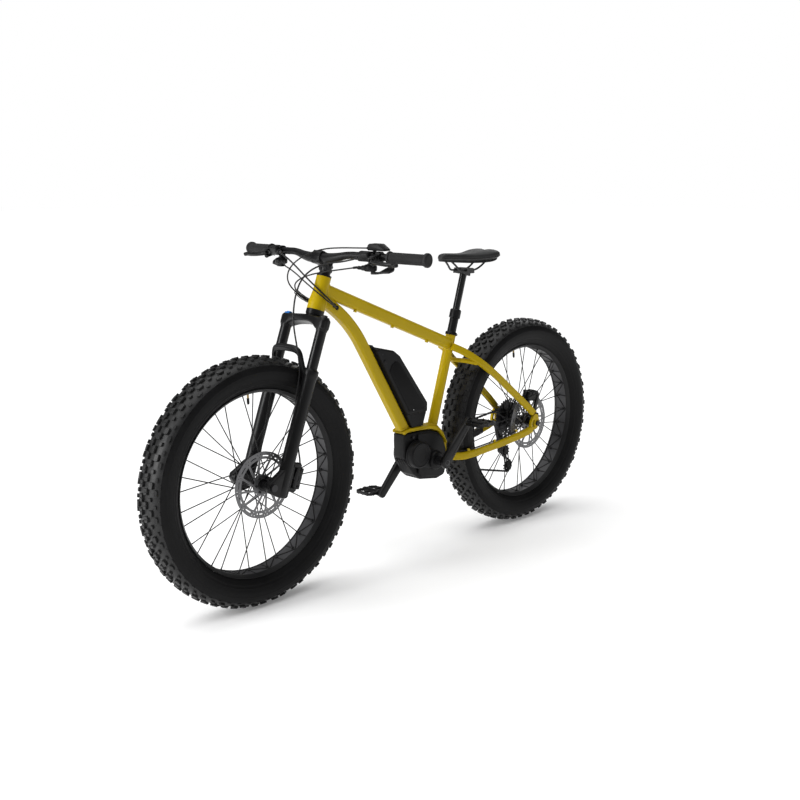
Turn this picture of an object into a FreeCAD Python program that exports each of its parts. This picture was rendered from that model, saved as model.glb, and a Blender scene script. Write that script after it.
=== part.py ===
import FreeCAD, Part
import Sketcher
import math
import os

# Electric fat-tyre hardtail bicycle.  Millimetres, +X forward, +Y to the rider's
# left, +Z up, origin on the ground midway between the two axles.

V = FreeCAD.Vector
doc = FreeCAD.newDocument("fat_tyre_bike")
sheet = doc.addObject("Spreadsheet::Sheet", "dims")
sheet_row = [0]


class Dim(object):
    """A driving dimension: its number and the expression that names its cell."""

    def __init__(self, v, e):
        self.v = float(v)
        self.e = e

    def _op(self, o, sign, swap=False):
        a, b = (o, self) if swap else (self, o)
        av, bv = num(a), num(b)
        r = {"+": av + bv, "-": av - bv, "*": av * bv}.get(sign)
        if sign == "/":
            r = av / bv
        return Dim(r, "(%s %s %s)" % (ex(a), sign, ex(b)))

    def __add__(self, o):
        return self._op(o, "+")

    def __radd__(self, o):
        return self._op(o, "+", True)

    def __sub__(self, o):
        return self._op(o, "-")

    def __rsub__(self, o):
        return self._op(o, "-", True)

    def __mul__(self, o):
        return self._op(o, "*")

    def __rmul__(self, o):
        return self._op(o, "*", True)

    def __truediv__(self, o):
        return self._op(o, "/")

    def __neg__(self):
        return self._op(-1.0, "*")


def num(x):
    return x.v if isinstance(x, Dim) else float(x)


def ex(x):
    return x.e if isinstance(x, Dim) else "%.6f" % float(x)


def dim(alias, value):
    sheet_row[0] += 1
    r = sheet_row[0]
    sheet.set("A%d" % r, alias)
    sheet.set("B%d" % r, "%g" % value)
    sheet.setAlias("B%d" % r, alias)
    return Dim(value, "dims." + alias)


# ------------------------------------------------------------ driving dimensions
wheel_rad = dim("wheel_radius", 383.0)          # 26 x 4.8 tyre at the knob tops
tyre_half = dim("tyre_half_width", 57.5)
tread_half = dim("tread_flat_half", 27.0)
half_base = dim("half_wheelbase", 624.0)
rim_flange = dim("rim_flange_radius", 287.5)
bead_seat = dim("bead_seat_radius", 279.5)      # 559 mm bead seat
rim_inner = dim("rim_inner_radius", 271.0)
rim_half = dim("rim_half_width", 37.5)
spoke_rad = dim("spoke_radius", 1.0)
rotor_rad = dim("rotor_radius", 101.5)
rotor_track = dim("rotor_track_inner", 80.0)
rotor_thick = dim("rotor_thickness", 2.0)
rotor_front_y = dim("rotor_front_offset", 45.0)
rotor_rear_y = dim("rotor_rear_offset", 55.0)
head_angle = dim("head_angle", 70.0)
fork_offset = dim("fork_offset", 72.0)
fork_length = dim("axle_to_crown", 554.0)
head_len = dim("head_tube_length", 105.0)
head_low = dim("head_tube_lower_radius", 28.0)
head_top = dim("head_tube_upper_radius", 23.0)
steer_low = dim("steerer_lower_radius", 19.05)
steer_top = dim("steerer_upper_radius", 14.3)
fit_gap = dim("running_clearance", 0.05)
leg_y = dim("fork_leg_spacing_half", 83.0)
leg_n = dim("fork_leg_offset", 29.0)
stan_rad = dim("stanchion_radius", 15.0)
leg_rad = dim("lower_leg_radius", 21.0)
crown_low = dim("crown_lower_edge", 75.0)
legs_top = dim("lower_leg_top", 187.0)
legs_end = dim("lower_leg_bottom", 575.0)
front_axle_rad = dim("front_axle_radius", 7.5)  # 15 mm through axle
front_half = dim("front_hub_half_width", 75.0)  # 150 mm hub
rear_axle_rad = dim("rear_axle_radius", 6.0)    # 12 mm through axle
rear_half = dim("rear_hub_half_width", 88.5)    # 177 mm hub
drop_thick = dim("dropout_thickness", 10.0)
tt_width = dim("top_tube_width", 34.0)
tt_depth = dim("top_tube_depth", 41.0)
tt_corner = dim("top_tube_corner", 12.0)
dt_width = dim("down_tube_width", 34.0)
dt_depth = dim("down_tube_depth", 37.0)
dt_corner = dim("down_tube_corner", 8.0)
tube_wall = dim("tube_wall", 2.2)
seat_angle = dim("seat_angle", 73.3)
seat_rad = dim("seat_tube_radius", 17.45)       # 34.9 mm seat tube
post_rad = dim("seatpost_radius", 15.45)        # 30.9 mm seat post
inner_rad = dim("dropper_inner_radius", 12.5)
seat_top_x = dim("seat_tube_top_x", -252.0)
seat_top_z = dim("seat_tube_top_z", 743.0)
bracket_half = dim("bracket_lateral_half", 40.0)
motor_half = dim("motor_half_width", 38.0)
bb_x = dim("crank_axis_x", -125.0)
bb_z = dim("crank_axis_z", 324.0)
axle_rad = dim("crank_axle_radius", 11.0)
crank_len = dim("crank_length", 172.5)
crank_in = dim("crank_inner_face", 89.0)
crank_thick = dim("crank_thickness", 14.0)
crank_angle = dim("crank_angle", 133.0)         # left arm, from +X towards +Z
pedal_len = dim("pedal_length", 94.0)
pedal_wide = dim("pedal_lateral", 78.0)
pedal_high = dim("pedal_height", 18.0)
pedal_axle = dim("pedal_axle_radius", 5.0)
chain_y = dim("chain_line", 63.7)
chain_wide = dim("chain_lateral", 5.0)
chain_half = dim("chain_half_height", 4.0)
pitch = dim("chain_pitch", 12.7)
ring_teeth = dim("chainring_teeth", 20)
cog_teeth = dim("engaged_cog_teeth", 17)
jockey_teeth = dim("jockey_teeth", 11)
guide_x = dim("guide_pulley_x", -639.0)
guide_z = dim("guide_pulley_z", 247.0)
tension_x = dim("tension_pulley_x", -653.0)
tension_z = dim("tension_pulley_z", 185.0)
battery_half = dim("battery_half_width", 35.0)
bar_rad = dim("bar_radius", 11.1)               # 22.2 mm at the grips
bar_clamp = dim("bar_clamp_radius", 15.9)       # 31.8 mm at the stem
bar_half = dim("bar_half_width", 405.0)
grip_rad = dim("grip_radius", 16.5)
grip_len = dim("grip_length", 138.0)
saddle_nose = dim("saddle_nose_x", -192.0)
saddle_tail = dim("saddle_tail_x", -442.0)
hose_rad = dim("hose_radius", 2.6)
stay_tall = dim("stay_depth", 25.0)
stay_wide = dim("stay_lateral", 18.0)
doc.recompute()

KEEP = []


def place(obj, base, rot=None):
    obj.Placement = FreeCAD.Placement(base, rot if rot is not None else FreeCAD.Rotation())
    return obj


def bind(obj, prop, x):
    setattr(obj, prop, num(x))
    if isinstance(x, Dim):
        obj.setExpression(prop, x.e)


def toward(d, up=V(0, 0, 1)):
    """Rotation that carries `up` onto direction d."""
    return FreeCAD.Rotation(up, d)


def cyl(name, r, h, base, axis, frame=None):
    o = doc.addObject("Part::Cylinder", name)
    bind(o, "Radius", r)
    bind(o, "Height", h)
    p = FreeCAD.Placement(base, toward(axis))
    o.Placement = frame.multiply(p) if frame is not None else p
    return o


def cone(name, r1, r2, h, base, axis, frame=None):
    o = doc.addObject("Part::Cone", name)
    bind(o, "Radius1", r1)
    bind(o, "Radius2", r2)
    bind(o, "Height", h)
    p = FreeCAD.Placement(base, toward(axis))
    o.Placement = frame.multiply(p) if frame is not None else p
    return o


def block(name, lx, ly, lz, corner, frame=None, rot=None):
    o = doc.addObject("Part::Box", name)
    bind(o, "Length", lx)
    bind(o, "Width", ly)
    bind(o, "Height", lz)
    p = FreeCAD.Placement(corner, rot if rot is not None else FreeCAD.Rotation())
    o.Placement = frame.multiply(p) if frame is not None else p
    return o


def span(name, lo, hi, frame=None):
    """Box between two corners."""
    return block(name, hi[0] - lo[0], hi[1] - lo[1], hi[2] - lo[2], V(*lo), frame)


def fuse(name, objs):
    o = doc.addObject("Part::MultiFuse", name)
    o.Shapes = objs
    o.Refine = True
    return o


def cut(name, base, tools):
    tool = tools[0] if len(tools) == 1 else fuse(name + "_tools", tools)
    o = doc.addObject("Part::Cut", name)
    o.Base = base
    o.Tool = tool
    o.Refine = True
    return o


def group(name, objs):
    o = doc.addObject("Part::Compound", name)
    o.Links = objs
    return o


def plane(body, role):
    return [f for f in body.Origin.OriginFeatures if f.Role == role][0]


def poly_sketch(body, name, pts):
    """Closed polygon, every corner dimensioned from the origin."""
    sk = body.newObject("Sketcher::SketchObject", name)
    sk.AttachmentSupport = (plane(body, "XY_Plane"), [""])
    sk.MapMode = "FlatFace"
    p = [V(num(x), num(y), 0) for x, y in pts]
    n = len(p)
    sk.addGeometry([Part.LineSegment(p[i], p[(i + 1) % n]) for i in range(n)], False)
    for i in range(n):
        sk.addConstraint(Sketcher.Constraint("Coincident", i, 2, (i + 1) % n, 1))
    for i, (x, y) in enumerate(pts):
        for kind, val, axis in (("DistanceX", x, -2), ("DistanceY", y, -1)):
            if abs(num(val)) < 1e-9:
                sk.addConstraint(Sketcher.Constraint("PointOnObject", i, 1, axis))
            else:
                k = sk.addConstraint(Sketcher.Constraint(kind, -1, 1, i, 1, num(val)))
                if isinstance(val, Dim):
                    sk.setExpression("Constraints[%d]" % k, val.e)
    return sk


def rev(name, pts, pl=None):
    """Solid of revolution; pts are (radius, height along the axis), axis local Y."""
    body = doc.addObject("PartDesign::Body", name)
    sk = poly_sketch(body, name + "_profile", pts)
    f = body.newObject("PartDesign::Revolution", name + "_turn")
    f.Profile = (sk, [""])
    f.ReferenceAxis = (sk, ["V_Axis"])
    f.Angle = 360
    body.Tip = f
    body.Placement = pl if pl is not None else FreeCAD.Placement()
    return body


def rev_on(name, pts, base, axis):
    return rev(name, pts, FreeCAD.Placement(base, toward(axis, V(0, 1, 0))))


def pad(name, pts, length, pl):
    """Prism on local XY, raised along local +Z."""
    body = doc.addObject("PartDesign::Body", name)
    sk = poly_sketch(body, name + "_profile", pts)
    f = body.newObject("PartDesign::Pad", name + "_pad")
    f.Profile = (sk, [""])
    bind(f, "Length", length)
    body.Tip = f
    body.Placement = pl
    return body


def side_pad(name, pts, y_hi, length, frame=None):
    """Prism whose outline is drawn in the side view (x, z), from y_hi towards -Y."""
    p = FreeCAD.Placement(V(0, num(y_hi), 0), FreeCAD.Rotation(V(1, 0, 0), 90))
    return pad(name, pts, length, frame.multiply(p) if frame is not None else p)


def round_long_edges(name, obj, axis, r):
    """Fillet of the edges that run along `axis`."""
    doc.recompute()
    edges = []
    for i, e in enumerate(obj.Shape.Edges):
        if len(e.Vertexes) == 2 and isinstance(e.Curve, Part.Line):
            d = (e.Vertexes[1].Point - e.Vertexes[0].Point).normalize()
            if abs(abs(d.dot(axis)) - 1) < 1e-6:
                edges.append((i + 1, num(r), num(r)))
    o = doc.addObject("Part::Fillet", name)
    o.Base = obj
    o.Edges = edges
    return o


def solid_feature(name, shape):
    o = doc.addObject("Part::Feature", name)
    o.Shape = shape
    return o


def keep(node, obj):
    obj.Label = node
    KEEP.append((node, obj))
    return obj


# -------------------------------------------------- paths of runs and tangent arcs
RADII = {}


def arc_path(pts, radii=None, factor=0.45, label=None):
    """Wire of straight runs joined by tangent arcs."""
    pts = [V(*p) for p in pts]
    edges = []
    start = pts[0]
    shown = []
    for i in range(1, len(pts) - 1):
        a, b, c = pts[i - 1], pts[i], pts[i + 1]
        d1, d2 = (b - a).normalize(), (c - b).normalize()
        turn = d1.getAngle(d2)
        if radii is not None and radii[i - 1]:
            r = radii[i - 1]
            t = r * math.tan(turn / 2)
        else:
            t = factor * min((b - a).Length, (c - b).Length)
            r = t / math.tan(turn / 2)
        shown.append(r)
        p1, p2 = b - d1 * t, b + d2 * t
        bis = (d2 - d1).normalize()
        centre = b + bis * (r / math.cos(turn / 2))
        mid = centre + (b - centre).normalize() * r
        edges.append(Part.LineSegment(start, p1).toShape())
        edges.append(Part.Arc(p1, mid, p2).toShape())
        start = p2
    edges.append(Part.LineSegment(start, pts[-1]).toShape())
    if label:
        RADII[label] = shown
    return Part.Wire(edges)


def round_rect(origin, u, v, w, d, r):
    """Rounded rectangle wire, w along u and d along v."""
    def at(x, y):
        return origin + u * x + v * y
    hw, hd = w / 2.0, d / 2.0
    k = r * (1 - math.sqrt(0.5))
    e = [Part.LineSegment(at(-hw + r, -hd), at(hw - r, -hd)).toShape(),
         Part.Arc(at(hw - r, -hd), at(hw - k, -hd + k), at(hw, -hd + r)).toShape(),
         Part.LineSegment(at(hw, -hd + r), at(hw, hd - r)).toShape(),
         Part.Arc(at(hw, hd - r), at(hw - k, hd - k), at(hw - r, hd)).toShape(),
         Part.LineSegment(at(hw - r, hd), at(-hw + r, hd)).toShape(),
         Part.Arc(at(-hw + r, hd), at(-hw + k, hd - k), at(-hw, hd - r)).toShape(),
         Part.LineSegment(at(-hw, hd - r), at(-hw, -hd + r)).toShape(),
         Part.Arc(at(-hw, -hd + r), at(-hw + k, -hd + k), at(-hw + r, -hd)).toShape()]
    return Part.Wire(e)


def sweep_box(path, first, second, w, d, r):
    """Rounded-rectangle tube along a path; w lies across, d in the side plane."""
    t = (second - first).normalize()
    u = V(0, 1, 0)
    v = t.cross(u).normalize()
    u = v.cross(t).normalize()
    sec = round_rect(first, u, v, w, d, r)
    m = Part.BRepOffsetAPI.MakePipeShell(path)
    m.setBiNormalMode(V(0, 1, 0))
    m.add(sec, False, False)
    m.build()
    m.makeSolid()
    return m.shape()


def sweep_round(path, first, second, r):
    t = (second - first).normalize()
    sec = Part.Wire([Part.Circle(first, t, r).toShape()])
    m = Part.BRepOffsetAPI.MakePipeShell(path)
    m.setFrenetMode(False)
    m.add(sec, False, False)
    m.build()
    m.makeSolid()
    return m.shape()


def mirror_y(shape):
    return shape.mirror(V(0, 0, 0), V(0, 1, 0))


def hose(points, r, label, radii=None):
    w = arc_path(points, radii=radii, label=label)
    s = sweep_round(w, V(*points[0]), V(*points[1]), r)
    want = math.pi * r * r * w.Length
    if abs(s.Volume - want) > 0.02 * want:
        raise RuntimeError("%s volume %.0f, expected %.0f" % (label, s.Volume, want))
    print("%-22s length %.0f  radii %s" % (label, w.Length, ["%.0f" % x for x in RADII[label]]))
    return s


# ------------------------------------------------------------------ key geometry
AXZ = num(wheel_rad)
FX = num(half_base)
ha = math.radians(num(head_angle))
AX = V(-math.cos(ha), 0, math.sin(ha))          # up the steering axis
NX = V(math.sin(ha), 0, math.cos(ha))           # forward, square to it
H0 = V(FX, 0, AXZ) - NX * num(fork_offset) + AX * num(fork_length)
HEAD = FreeCAD.Placement(H0, FreeCAD.Rotation(V(0, 1, 0), num(head_angle) - 90.0))
sa = math.radians(num(seat_angle))
SX = V(-math.cos(sa), 0, math.sin(sa))          # up the seat tube
SN = V(math.sin(sa), 0, math.cos(sa))
S0 = V(num(seat_top_x), 0, num(seat_top_z))     # top of the seat tube
BB = V(num(bb_x), 0, num(bb_z))
YP = V(0, 1, 0)


def hp(n, y, a):
    """Point given in the steering frame."""
    return H0 + NX * n + V(0, y, 0) + AX * a


def sp(s, n=0, y=0):
    """Point given along the seat tube, from its top."""
    return S0 + SX * s + SN * n + V(0, y, 0)


def on_head(name, pts):
    return rev_on(name, pts, H0, AX)


# ===================================================================== FRAME TUBES
keep("head_tube", on_head("head_tube", [
    (24.0, 0.0), (head_low, 0.0), (head_low, 22.0), (head_top, 60.0), (head_top, head_len),
    (19.0, head_len), (19.0, head_len - 14.0), (21.0, head_len - 14.0), (21.0, 14.0), (24.0, 14.0)]))
keep("headset_cups", group("headset_cups", [
    on_head("cup_lower", [(steer_low + fit_gap, -15.0), (head_low, -15.0), (head_low, 0.0),
                          (24.0, 0.0), (24.0, 14.0), (steer_low + fit_gap, 14.0)]),
    on_head("cup_upper", [(steer_top + fit_gap, head_len - 14.0), (19.0, head_len - 14.0),
                          (19.0, head_len), (head_top, head_len), (head_top, head_len + 6.0),
                          (steer_top + fit_gap, head_len + 6.0)])]))

head_upper = cone("head_outer_taper", head_low, head_top, 38.0, V(0, 0, 22), V(0, 0, 1), HEAD)
head_lower_solid = cyl("head_outer_low", head_low, 42.0, V(0, 0, -20), V(0, 0, 1), HEAD)
head_top_solid = cyl("head_outer_top", head_top, 70.0, V(0, 0, 60), V(0, 0, 1), HEAD)
head_shape = fuse("head_envelope", [head_lower_solid, head_upper, head_top_solid])
seat_shape = cyl("seat_envelope", seat_rad, 420.0, sp(-400.0), SX)

# Top tube: rounded box section, hollow, coped to the head tube and the seat tube.
tt_a, tt_b = V(-241.8, 0, 709.1), V(343.0, 0, 942.1)


def box_tube(name, a, b, w, d, corner, wall):
    length = (b - a).Length
    z = (b - a).normalize()
    x = V(0, 1, 0)
    y = z.cross(x)
    rot = FreeCAD.Rotation(x, y, z, "ZXY")
    pl = FreeCAD.Placement(a, rot)
    body = doc.addObject("PartDesign::Body", name)
    outer = poly_sketch(body, name + "_outer", [(-w / 2, -d / 2), (w / 2, -d / 2), (w / 2, d / 2), (-w / 2, d / 2)])
    p = body.newObject("PartDesign::Pad", name + "_pad")
    p.Profile = (outer, [""])
    p.Length = length
    doc.recompute()
    long_edges = []
    for i, e in enumerate(p.Shape.Edges):
        q = [v.Point for v in e.Vertexes]
        if abs(q[0].z - q[1].z) > 1.0:
            long_edges.append("Edge%d" % (i + 1))
    f = body.newObject("PartDesign::Fillet", name + "_round")
    f.Base = (p, long_edges)
    bind(f, "Radius", corner)
    doc.recompute()
    inner = poly_sketch(body, name + "_inner", [
        (-w / 2 + wall, -d / 2 + wall), (w / 2 - wall, -d / 2 + wall),
        (w / 2 - wall, d / 2 - wall), (-w / 2 + wall, d / 2 - wall)])
    before = f.Shape.Volume
    c = body.newObject("PartDesign::Pocket", name + "_hollow")
    c.Profile = (inner, [""])
    c.Length = length
    c.Reversed = True
    doc.recompute()
    if c.Shape.Volume > 0.8 * before:
        raise RuntimeError(name + " is not hollow")
    body.Tip = c
    body.Placement = pl
    return body


tt_wall = dim("top_tube_wall", 4.6)
tt_raw = box_tube("top_tube_raw", tt_a, tt_b, tt_width, tt_depth, tt_corner, tt_wall)
tt_dir = (tt_b - tt_a).normalize()
tt_nor = V(tt_dir.z, 0, -tt_dir.x)              # downwards, square to the tube
guides = []
for k, f in enumerate((0.757, 0.475, 0.195)):
    c = tt_a + (tt_b - tt_a) * f + tt_nor * (num(tt_depth) / 2 - 2.0)
    guides.append(cyl("guide_boss_%d" % k, 5.5, 9.0, c + V(0, 9, 0), tt_nor))
keep("top_tube", cut("top_tube", fuse("top_tube_bossed", [tt_raw] + guides), [head_shape, seat_shape]))

# Down tube: straight from the motor bracket, then bending up to the head tube.
dt_pts = [V(-21.9, 0, 430.0), V(223.8, 0, 828.0), V(350.0, 0, 916.4)]
dt_path = arc_path([tuple(p) for p in dt_pts], radii=[430.0])
dt_outer = sweep_box(dt_path, dt_pts[0], dt_pts[1], num(dt_width), num(dt_depth), num(dt_corner))
w2 = num(tube_wall)
dt_inner = sweep_box(dt_path, dt_pts[0], dt_pts[1], num(dt_width) - 2 * w2, num(dt_depth) - 2 * w2, num(dt_corner) - w2)
dt_raw = solid_feature("down_tube_raw", dt_outer.cut(dt_inner))
dt_dir = (dt_pts[1] - dt_pts[0]).normalize()
dt_nor = V(-dt_dir.z, 0, dt_dir.x)              # towards the seat tube
# Motor bracket: a cast saddle over the top and back of the motor.
bracket_pts = [(18.0, 430.0), (17.0, 441.0), (-20.0, 448.0), (-110.0, 448.0), (-160.0, 438.0), (-192.0, 410.0),
               (-208.0, 370.0), (-210.0, 300.0), (-196.0, 297.0), (-195.5, 355.0), (-181.0, 392.0),
               (-154.0, 420.0), (-110.0, 435.0), (-60.0, 438.5), (-10.0, 436.0)]
bracket = side_pad("bracket_blank", bracket_pts, bracket_half, 2 * bracket_half)
nose_pts = [(40.0, 470.0), (-24.0, 470.0), (-44.0, 455.0), (-44.0, 425.0), (-24.0, 240.0), (40.0, 240.0)]
keep("motor_bracket", cut("motor_bracket", bracket, [side_pad("bracket_nose_left", nose_pts, 60.0, 32.0),
                                                      side_pad("bracket_nose_right", nose_pts, -28.0, 32.0)]))
bracket_env = side_pad("bracket_envelope", [
    (60.0, 380.0), (17.0, 441.0), (-20.0, 448.0), (-110.0, 448.0), (-160.0, 438.0), (-192.0, 410.0),
    (-208.0, 370.0), (-210.0, 300.0), (-150.0, 300.0), (20.0, 340.0)], bracket_half + 20.0, 2 * bracket_half + 40.0)
port_l = fuse("cable_port_left", [cyl("cable_port_left_%d" % i, 8.0, 30.0, V(x, 8, z), YP) for i, (x, z) in enumerate(((293.0, 881.0), (304.0, 889.0)))])
port_r = fuse("cable_port_right", [cyl("cable_port_right_%d" % i, 8.0, 30.0, V(x, -38, z), YP) for i, (x, z) in enumerate(((293.0, 881.0), (304.0, 889.0)))])


def box_prism(a, b, w, d, r):
    z = (b - a).normalize()
    u = V(0, 1, 0)
    v = z.cross(u)
    face = Part.Face(round_rect(a, u, v, w, d, r))
    return face.extrude(b - a)


tt_env_solid = solid_feature("top_tube_space", box_prism(tt_a, tt_b, num(tt_width), num(tt_depth), num(tt_corner)))
keep("down_tube", cut("down_tube", dt_raw, [head_shape, bracket_env, tt_env_solid, port_l, port_r]))

# Seat tube and its clamp.
seat_raw = rev_on("seat_tube_raw", [(post_rad + fit_gap, -325.0), (seat_rad, -325.0), (seat_rad, 0.0), (post_rad + fit_gap, 0.0)], S0, SX)
keep("seat_tube", cut("seat_tube", seat_raw, [bracket_env]))
clamp_ring = rev_on("clamp_ring", [(seat_rad, -9.0), (22.5, -9.0), (22.5, 8.0), (post_rad + fit_gap, 8.0),
                                   (post_rad + fit_gap, 0.0), (seat_rad, 0.0)], S0, SX)
seat_frame = FreeCAD.Placement(S0, FreeCAD.Rotation(V(0, 1, 0), num(seat_angle) - 90.0))
clamp_ears = span("clamp_ears", (-33.0, -9.0, -7.0), (-19.0, 9.0, 6.0), seat_frame)
clamp_slot = span("clamp_slot", (-36.0, -1.0, -12.0), (-16.0, 1.0, 12.0), seat_frame)
clamp_hole = cyl("clamp_hole", 2.6, 40.0, V(-27.0, -20.0, -0.5), YP, seat_frame)
clamp_body = cut("clamp_body", fuse("clamp_blank", [clamp_ring, clamp_ears]), [clamp_slot, clamp_hole])
clamp_bolt = fuse("clamp_bolt", [cyl("clamp_bolt_shank", 2.6, 20.0, V(-27.0, -10.0, -0.5), YP, seat_frame),
                                 cyl("clamp_bolt_head", 4.2, 4.0, V(-27.0, 9.0, -0.5), YP, seat_frame)])
keep("seat_clamp", group("seat_clamp", [clamp_body, clamp_bolt]))

# Seat stays: flat-sided tubes that flare round the tyre, with a bridge below.
ss_pts = [(-231, 27.5, 704), (-277, 45, 682), (-330, 68, 644), (-404, 77, 591), (-487, 80.5, 525), (-568, 87, 459), (-622, 92.3, 410)]
cs_pts = [(-200.5, 33, 321), (-252, 66, 317), (-318, 75, 323), (-450, 80, 335), (-560, 89, 352), (-616, 93.2, 368)]


def stay(points, tall, wide, radius):
    p = [V(*q) for q in points]
    return sweep_box(arc_path(points), p[0], p[1], wide, tall, radius)


ss_l = stay(ss_pts, num(stay_tall), num(stay_wide), 6.0)
cs_l = stay(cs_pts, num(stay_tall) + 1.0, num(stay_wide), 6.0)
drop_pts = [(-588.0, 380.0), (-592.0, 412.0), (-612.0, 428.0), (-636.0, 420.0), (-648.0, 396.0), (-646.0, 366.0), (-630.0, 352.0), (-600.0, 352.0)]
drop_env = side_pad("dropout_space", drop_pts, 130.0, 260.0)
hanger_pts = [(-588.0, 380.0), (-592.0, 412.0), (-612.0, 428.0), (-636.0, 420.0), (-648.0, 396.0), (-652.0, 340.0), (-646.0, 328.0),
              (-630.0, 330.0), (-622.0, 352.0), (-600.0, 352.0)]
drop_l = cut("dropout_left_part", side_pad("dropout_left_blank", drop_pts, rear_half + drop_thick, drop_thick),
             [cyl("dropout_left_bore", rear_axle_rad, 60.0, V(-FX, 70, AXZ), YP)])
drop_r = cut("dropout_right_part", side_pad("dropout_right_blank", hanger_pts, -rear_half, drop_thick),
             [cyl("dropout_right_bore", rear_axle_rad, 60.0, V(-FX, -130, AXZ), YP),
              cyl("hanger_bore", 5.0, 60.0, V(-640.0, -130, 341.0), YP)])
keep("dropouts", group("dropouts", [drop_l, drop_r]))
ss_left = cut("seat_stay_left", solid_feature("seat_stay_left_raw", ss_l), [seat_shape, drop_env])
ss_right = cut("seat_stay_right", solid_feature("seat_stay_right_raw", mirror_y(ss_l)), [seat_shape, drop_env])
br_pts = [(-320.0, 66.0, 640.0), (-288.0, 38.0, 650.0), (-262.0, 0.0, 652.0), (-288.0, -38.0, 650.0), (-320.0, -66.0, 640.0)]
br_raw = sweep_round(arc_path(br_pts, factor=0.45), V(*br_pts[0]), V(*br_pts[1]), 8.0)
bridge = cut("stay_bridge", solid_feature("stay_bridge_raw", br_raw),
             [seat_shape, solid_feature("seat_stay_space_l", ss_l), solid_feature("seat_stay_space_r", mirror_y(ss_l))])
keep("seat_stays", group("seat_stays", [ss_left, ss_right, bridge]))
bracket_space = side_pad("bracket_space", bracket_pts, bracket_half, 2 * bracket_half)
cs_left = cut("chain_stay_left", solid_feature("chain_stay_left_raw", cs_l), [bracket_space, drop_env])
cs_right = cut("chain_stay_right", solid_feature("chain_stay_right_raw", mirror_y(cs_l)),
               [side_pad("bracket_space_b", bracket_pts, bracket_half, 2 * bracket_half),
                side_pad("dropout_space_b", drop_pts, 130.0, 260.0)])
keep("chain_stays", group("chain_stays", [cs_left, cs_right]))

# ============================================================ SEAT POST AND SADDLE
keep("dropper_outer", rev_on("dropper_outer", [
    (inner_rad + fit_gap, -250.0), (post_rad, -250.0), (post_rad, 56.0), (19.5, 58.0), (19.5, 84.0),
    (17.0, 88.0), (inner_rad + fit_gap, 88.0)], S0, SX))
head_s = 212.0
post_inner = rev_on("post_tube", [(10.0, -60.0), (inner_rad, -60.0), (inner_rad, head_s), (10.0, head_s)], S0, SX)
post_head = span("post_head", (-20.0, -15.0, head_s), (20.0, 15.0, head_s + 9.0), seat_frame)
HEADC = sp(head_s + 9.0)
clamp_low = span("saddle_clamp_lower", (HEADC.x - 21, -31.0, HEADC.z - 3.0), (HEADC.x + 21, 31.0, HEADC.z + 6.0))
RAIL_Z = HEADC.z + 8.0
rail_room = [cyl("rail_room_l", 3.5, 200.0, V(HEADC.x - 100, 22, RAIL_Z), V(1, 0, 0)),
             cyl("rail_room_r", 3.5, 200.0, V(HEADC.x - 100, -22, RAIL_Z), V(1, 0, 0))]
clamp_up = span("saddle_clamp_upper", (HEADC.x - 17, -31.0, RAIL_Z - 2.0), (HEADC.x + 17, 31.0, RAIL_Z + 7.0))
keep("dropper_inner", cut("dropper_inner", fuse("dropper_inner_blank", [post_inner, post_head, clamp_low, clamp_up]), rail_room))


def saddle_section(x, half, top, bottom, crown):
    pts = [V(x, -half, (top + bottom) / 2), V(x, -half * 0.82, bottom + 4), V(x, -half * 0.5, bottom), V(x, half * 0.5, bottom),
           V(x, half * 0.82, bottom + 4), V(x, half, (top + bottom) / 2), V(x, half * 0.86, top - crown), V(x, half * 0.4, top),
           V(x, -half * 0.4, top), V(x, -half * 0.86, top - crown)]
    return Part.makePolygon(pts + [pts[0]])


sn, st = num(saddle_nose), num(saddle_tail)
saddle_pad = Part.makeLoft([
    saddle_section(sn, 14.0, 1021.0, 1001.0, 5.0), saddle_section(sn - 28, 20.0, 1024.0, 996.0, 6.0),
    saddle_section(sn - 90, 26.0, 1022.0, 991.0, 7.0), saddle_section(sn - 150, 46.0, 1023.0, 988.0, 8.0),
    saddle_section(sn - 202, 67.0, 1029.0, 989.0, 9.0), saddle_section(sn - 232, 70.0, 1031.0, 993.0, 9.0),
    saddle_section(st, 56.0, 1029.0, 1002.0, 8.0)], True, True)
rail_pts = [(sn - 42.0, 14.0, 996.0), (sn - 62.0, 18.0, 982.0), (HEADC.x + 46.0, 22.0, RAIL_Z), (HEADC.x - 40.0, 22.0, RAIL_Z),
            (HEADC.x - 72.0, 24.0, 978.0), (HEADC.x - 92.0, 26.0, 994.0)]
rail_l = sweep_round(arc_path(rail_pts, factor=0.4), V(*rail_pts[0]), V(*rail_pts[1]), 3.5)
rail_r = mirror_y(rail_l)
saddle_solid = solid_feature("saddle_pad", saddle_pad)
rails = [solid_feature("rail_left", rail_l.cut(saddle_pad)), solid_feature("rail_right", rail_r.cut(saddle_pad))]
keep("saddle", group("saddle", [saddle_solid] + rails))

# ============================================================== MOTOR AND BATTERY
motor_pts = [(13.0, 427.0), (14.0, 400.0), (11.0, 348.0), (-6.0, 322.0), (-36.0, 284.0), (-62.0, 265.0), (-150.0, 260.0), (-180.0, 272.0),
             (-192.0, 300.0), (-191.0, 352.0), (-177.0, 389.0), (-151.0, 416.0), (-109.0, 430.5), (-60.0, 434.0), (-10.0, 431.5)]
motor_blank = side_pad("motor_blank", motor_pts, motor_half, 2 * motor_half)
motor_bore = cyl("motor_bore", axle_rad + fit_gap, 200.0, BB + V(0, -100, 0), YP)
chin_l = side_pad("motor_nose_left", [(40.0, 470.0), (-24.0, 470.0), (-24.0, 240.0), (40.0, 240.0)], 60.0, 32.0)
chin_r = side_pad("motor_nose_right", [(40.0, 470.0), (-24.0, 470.0), (-24.0, 240.0), (40.0, 240.0)], -28.0, 32.0)
boss_l = cyl("motor_boss_left", 33.0, 24.0, BB + V(0, 38, 0), YP)
boss_r = cyl("motor_boss_right", 31.0, 14.0, BB + V(0, -52, 0), YP)
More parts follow.
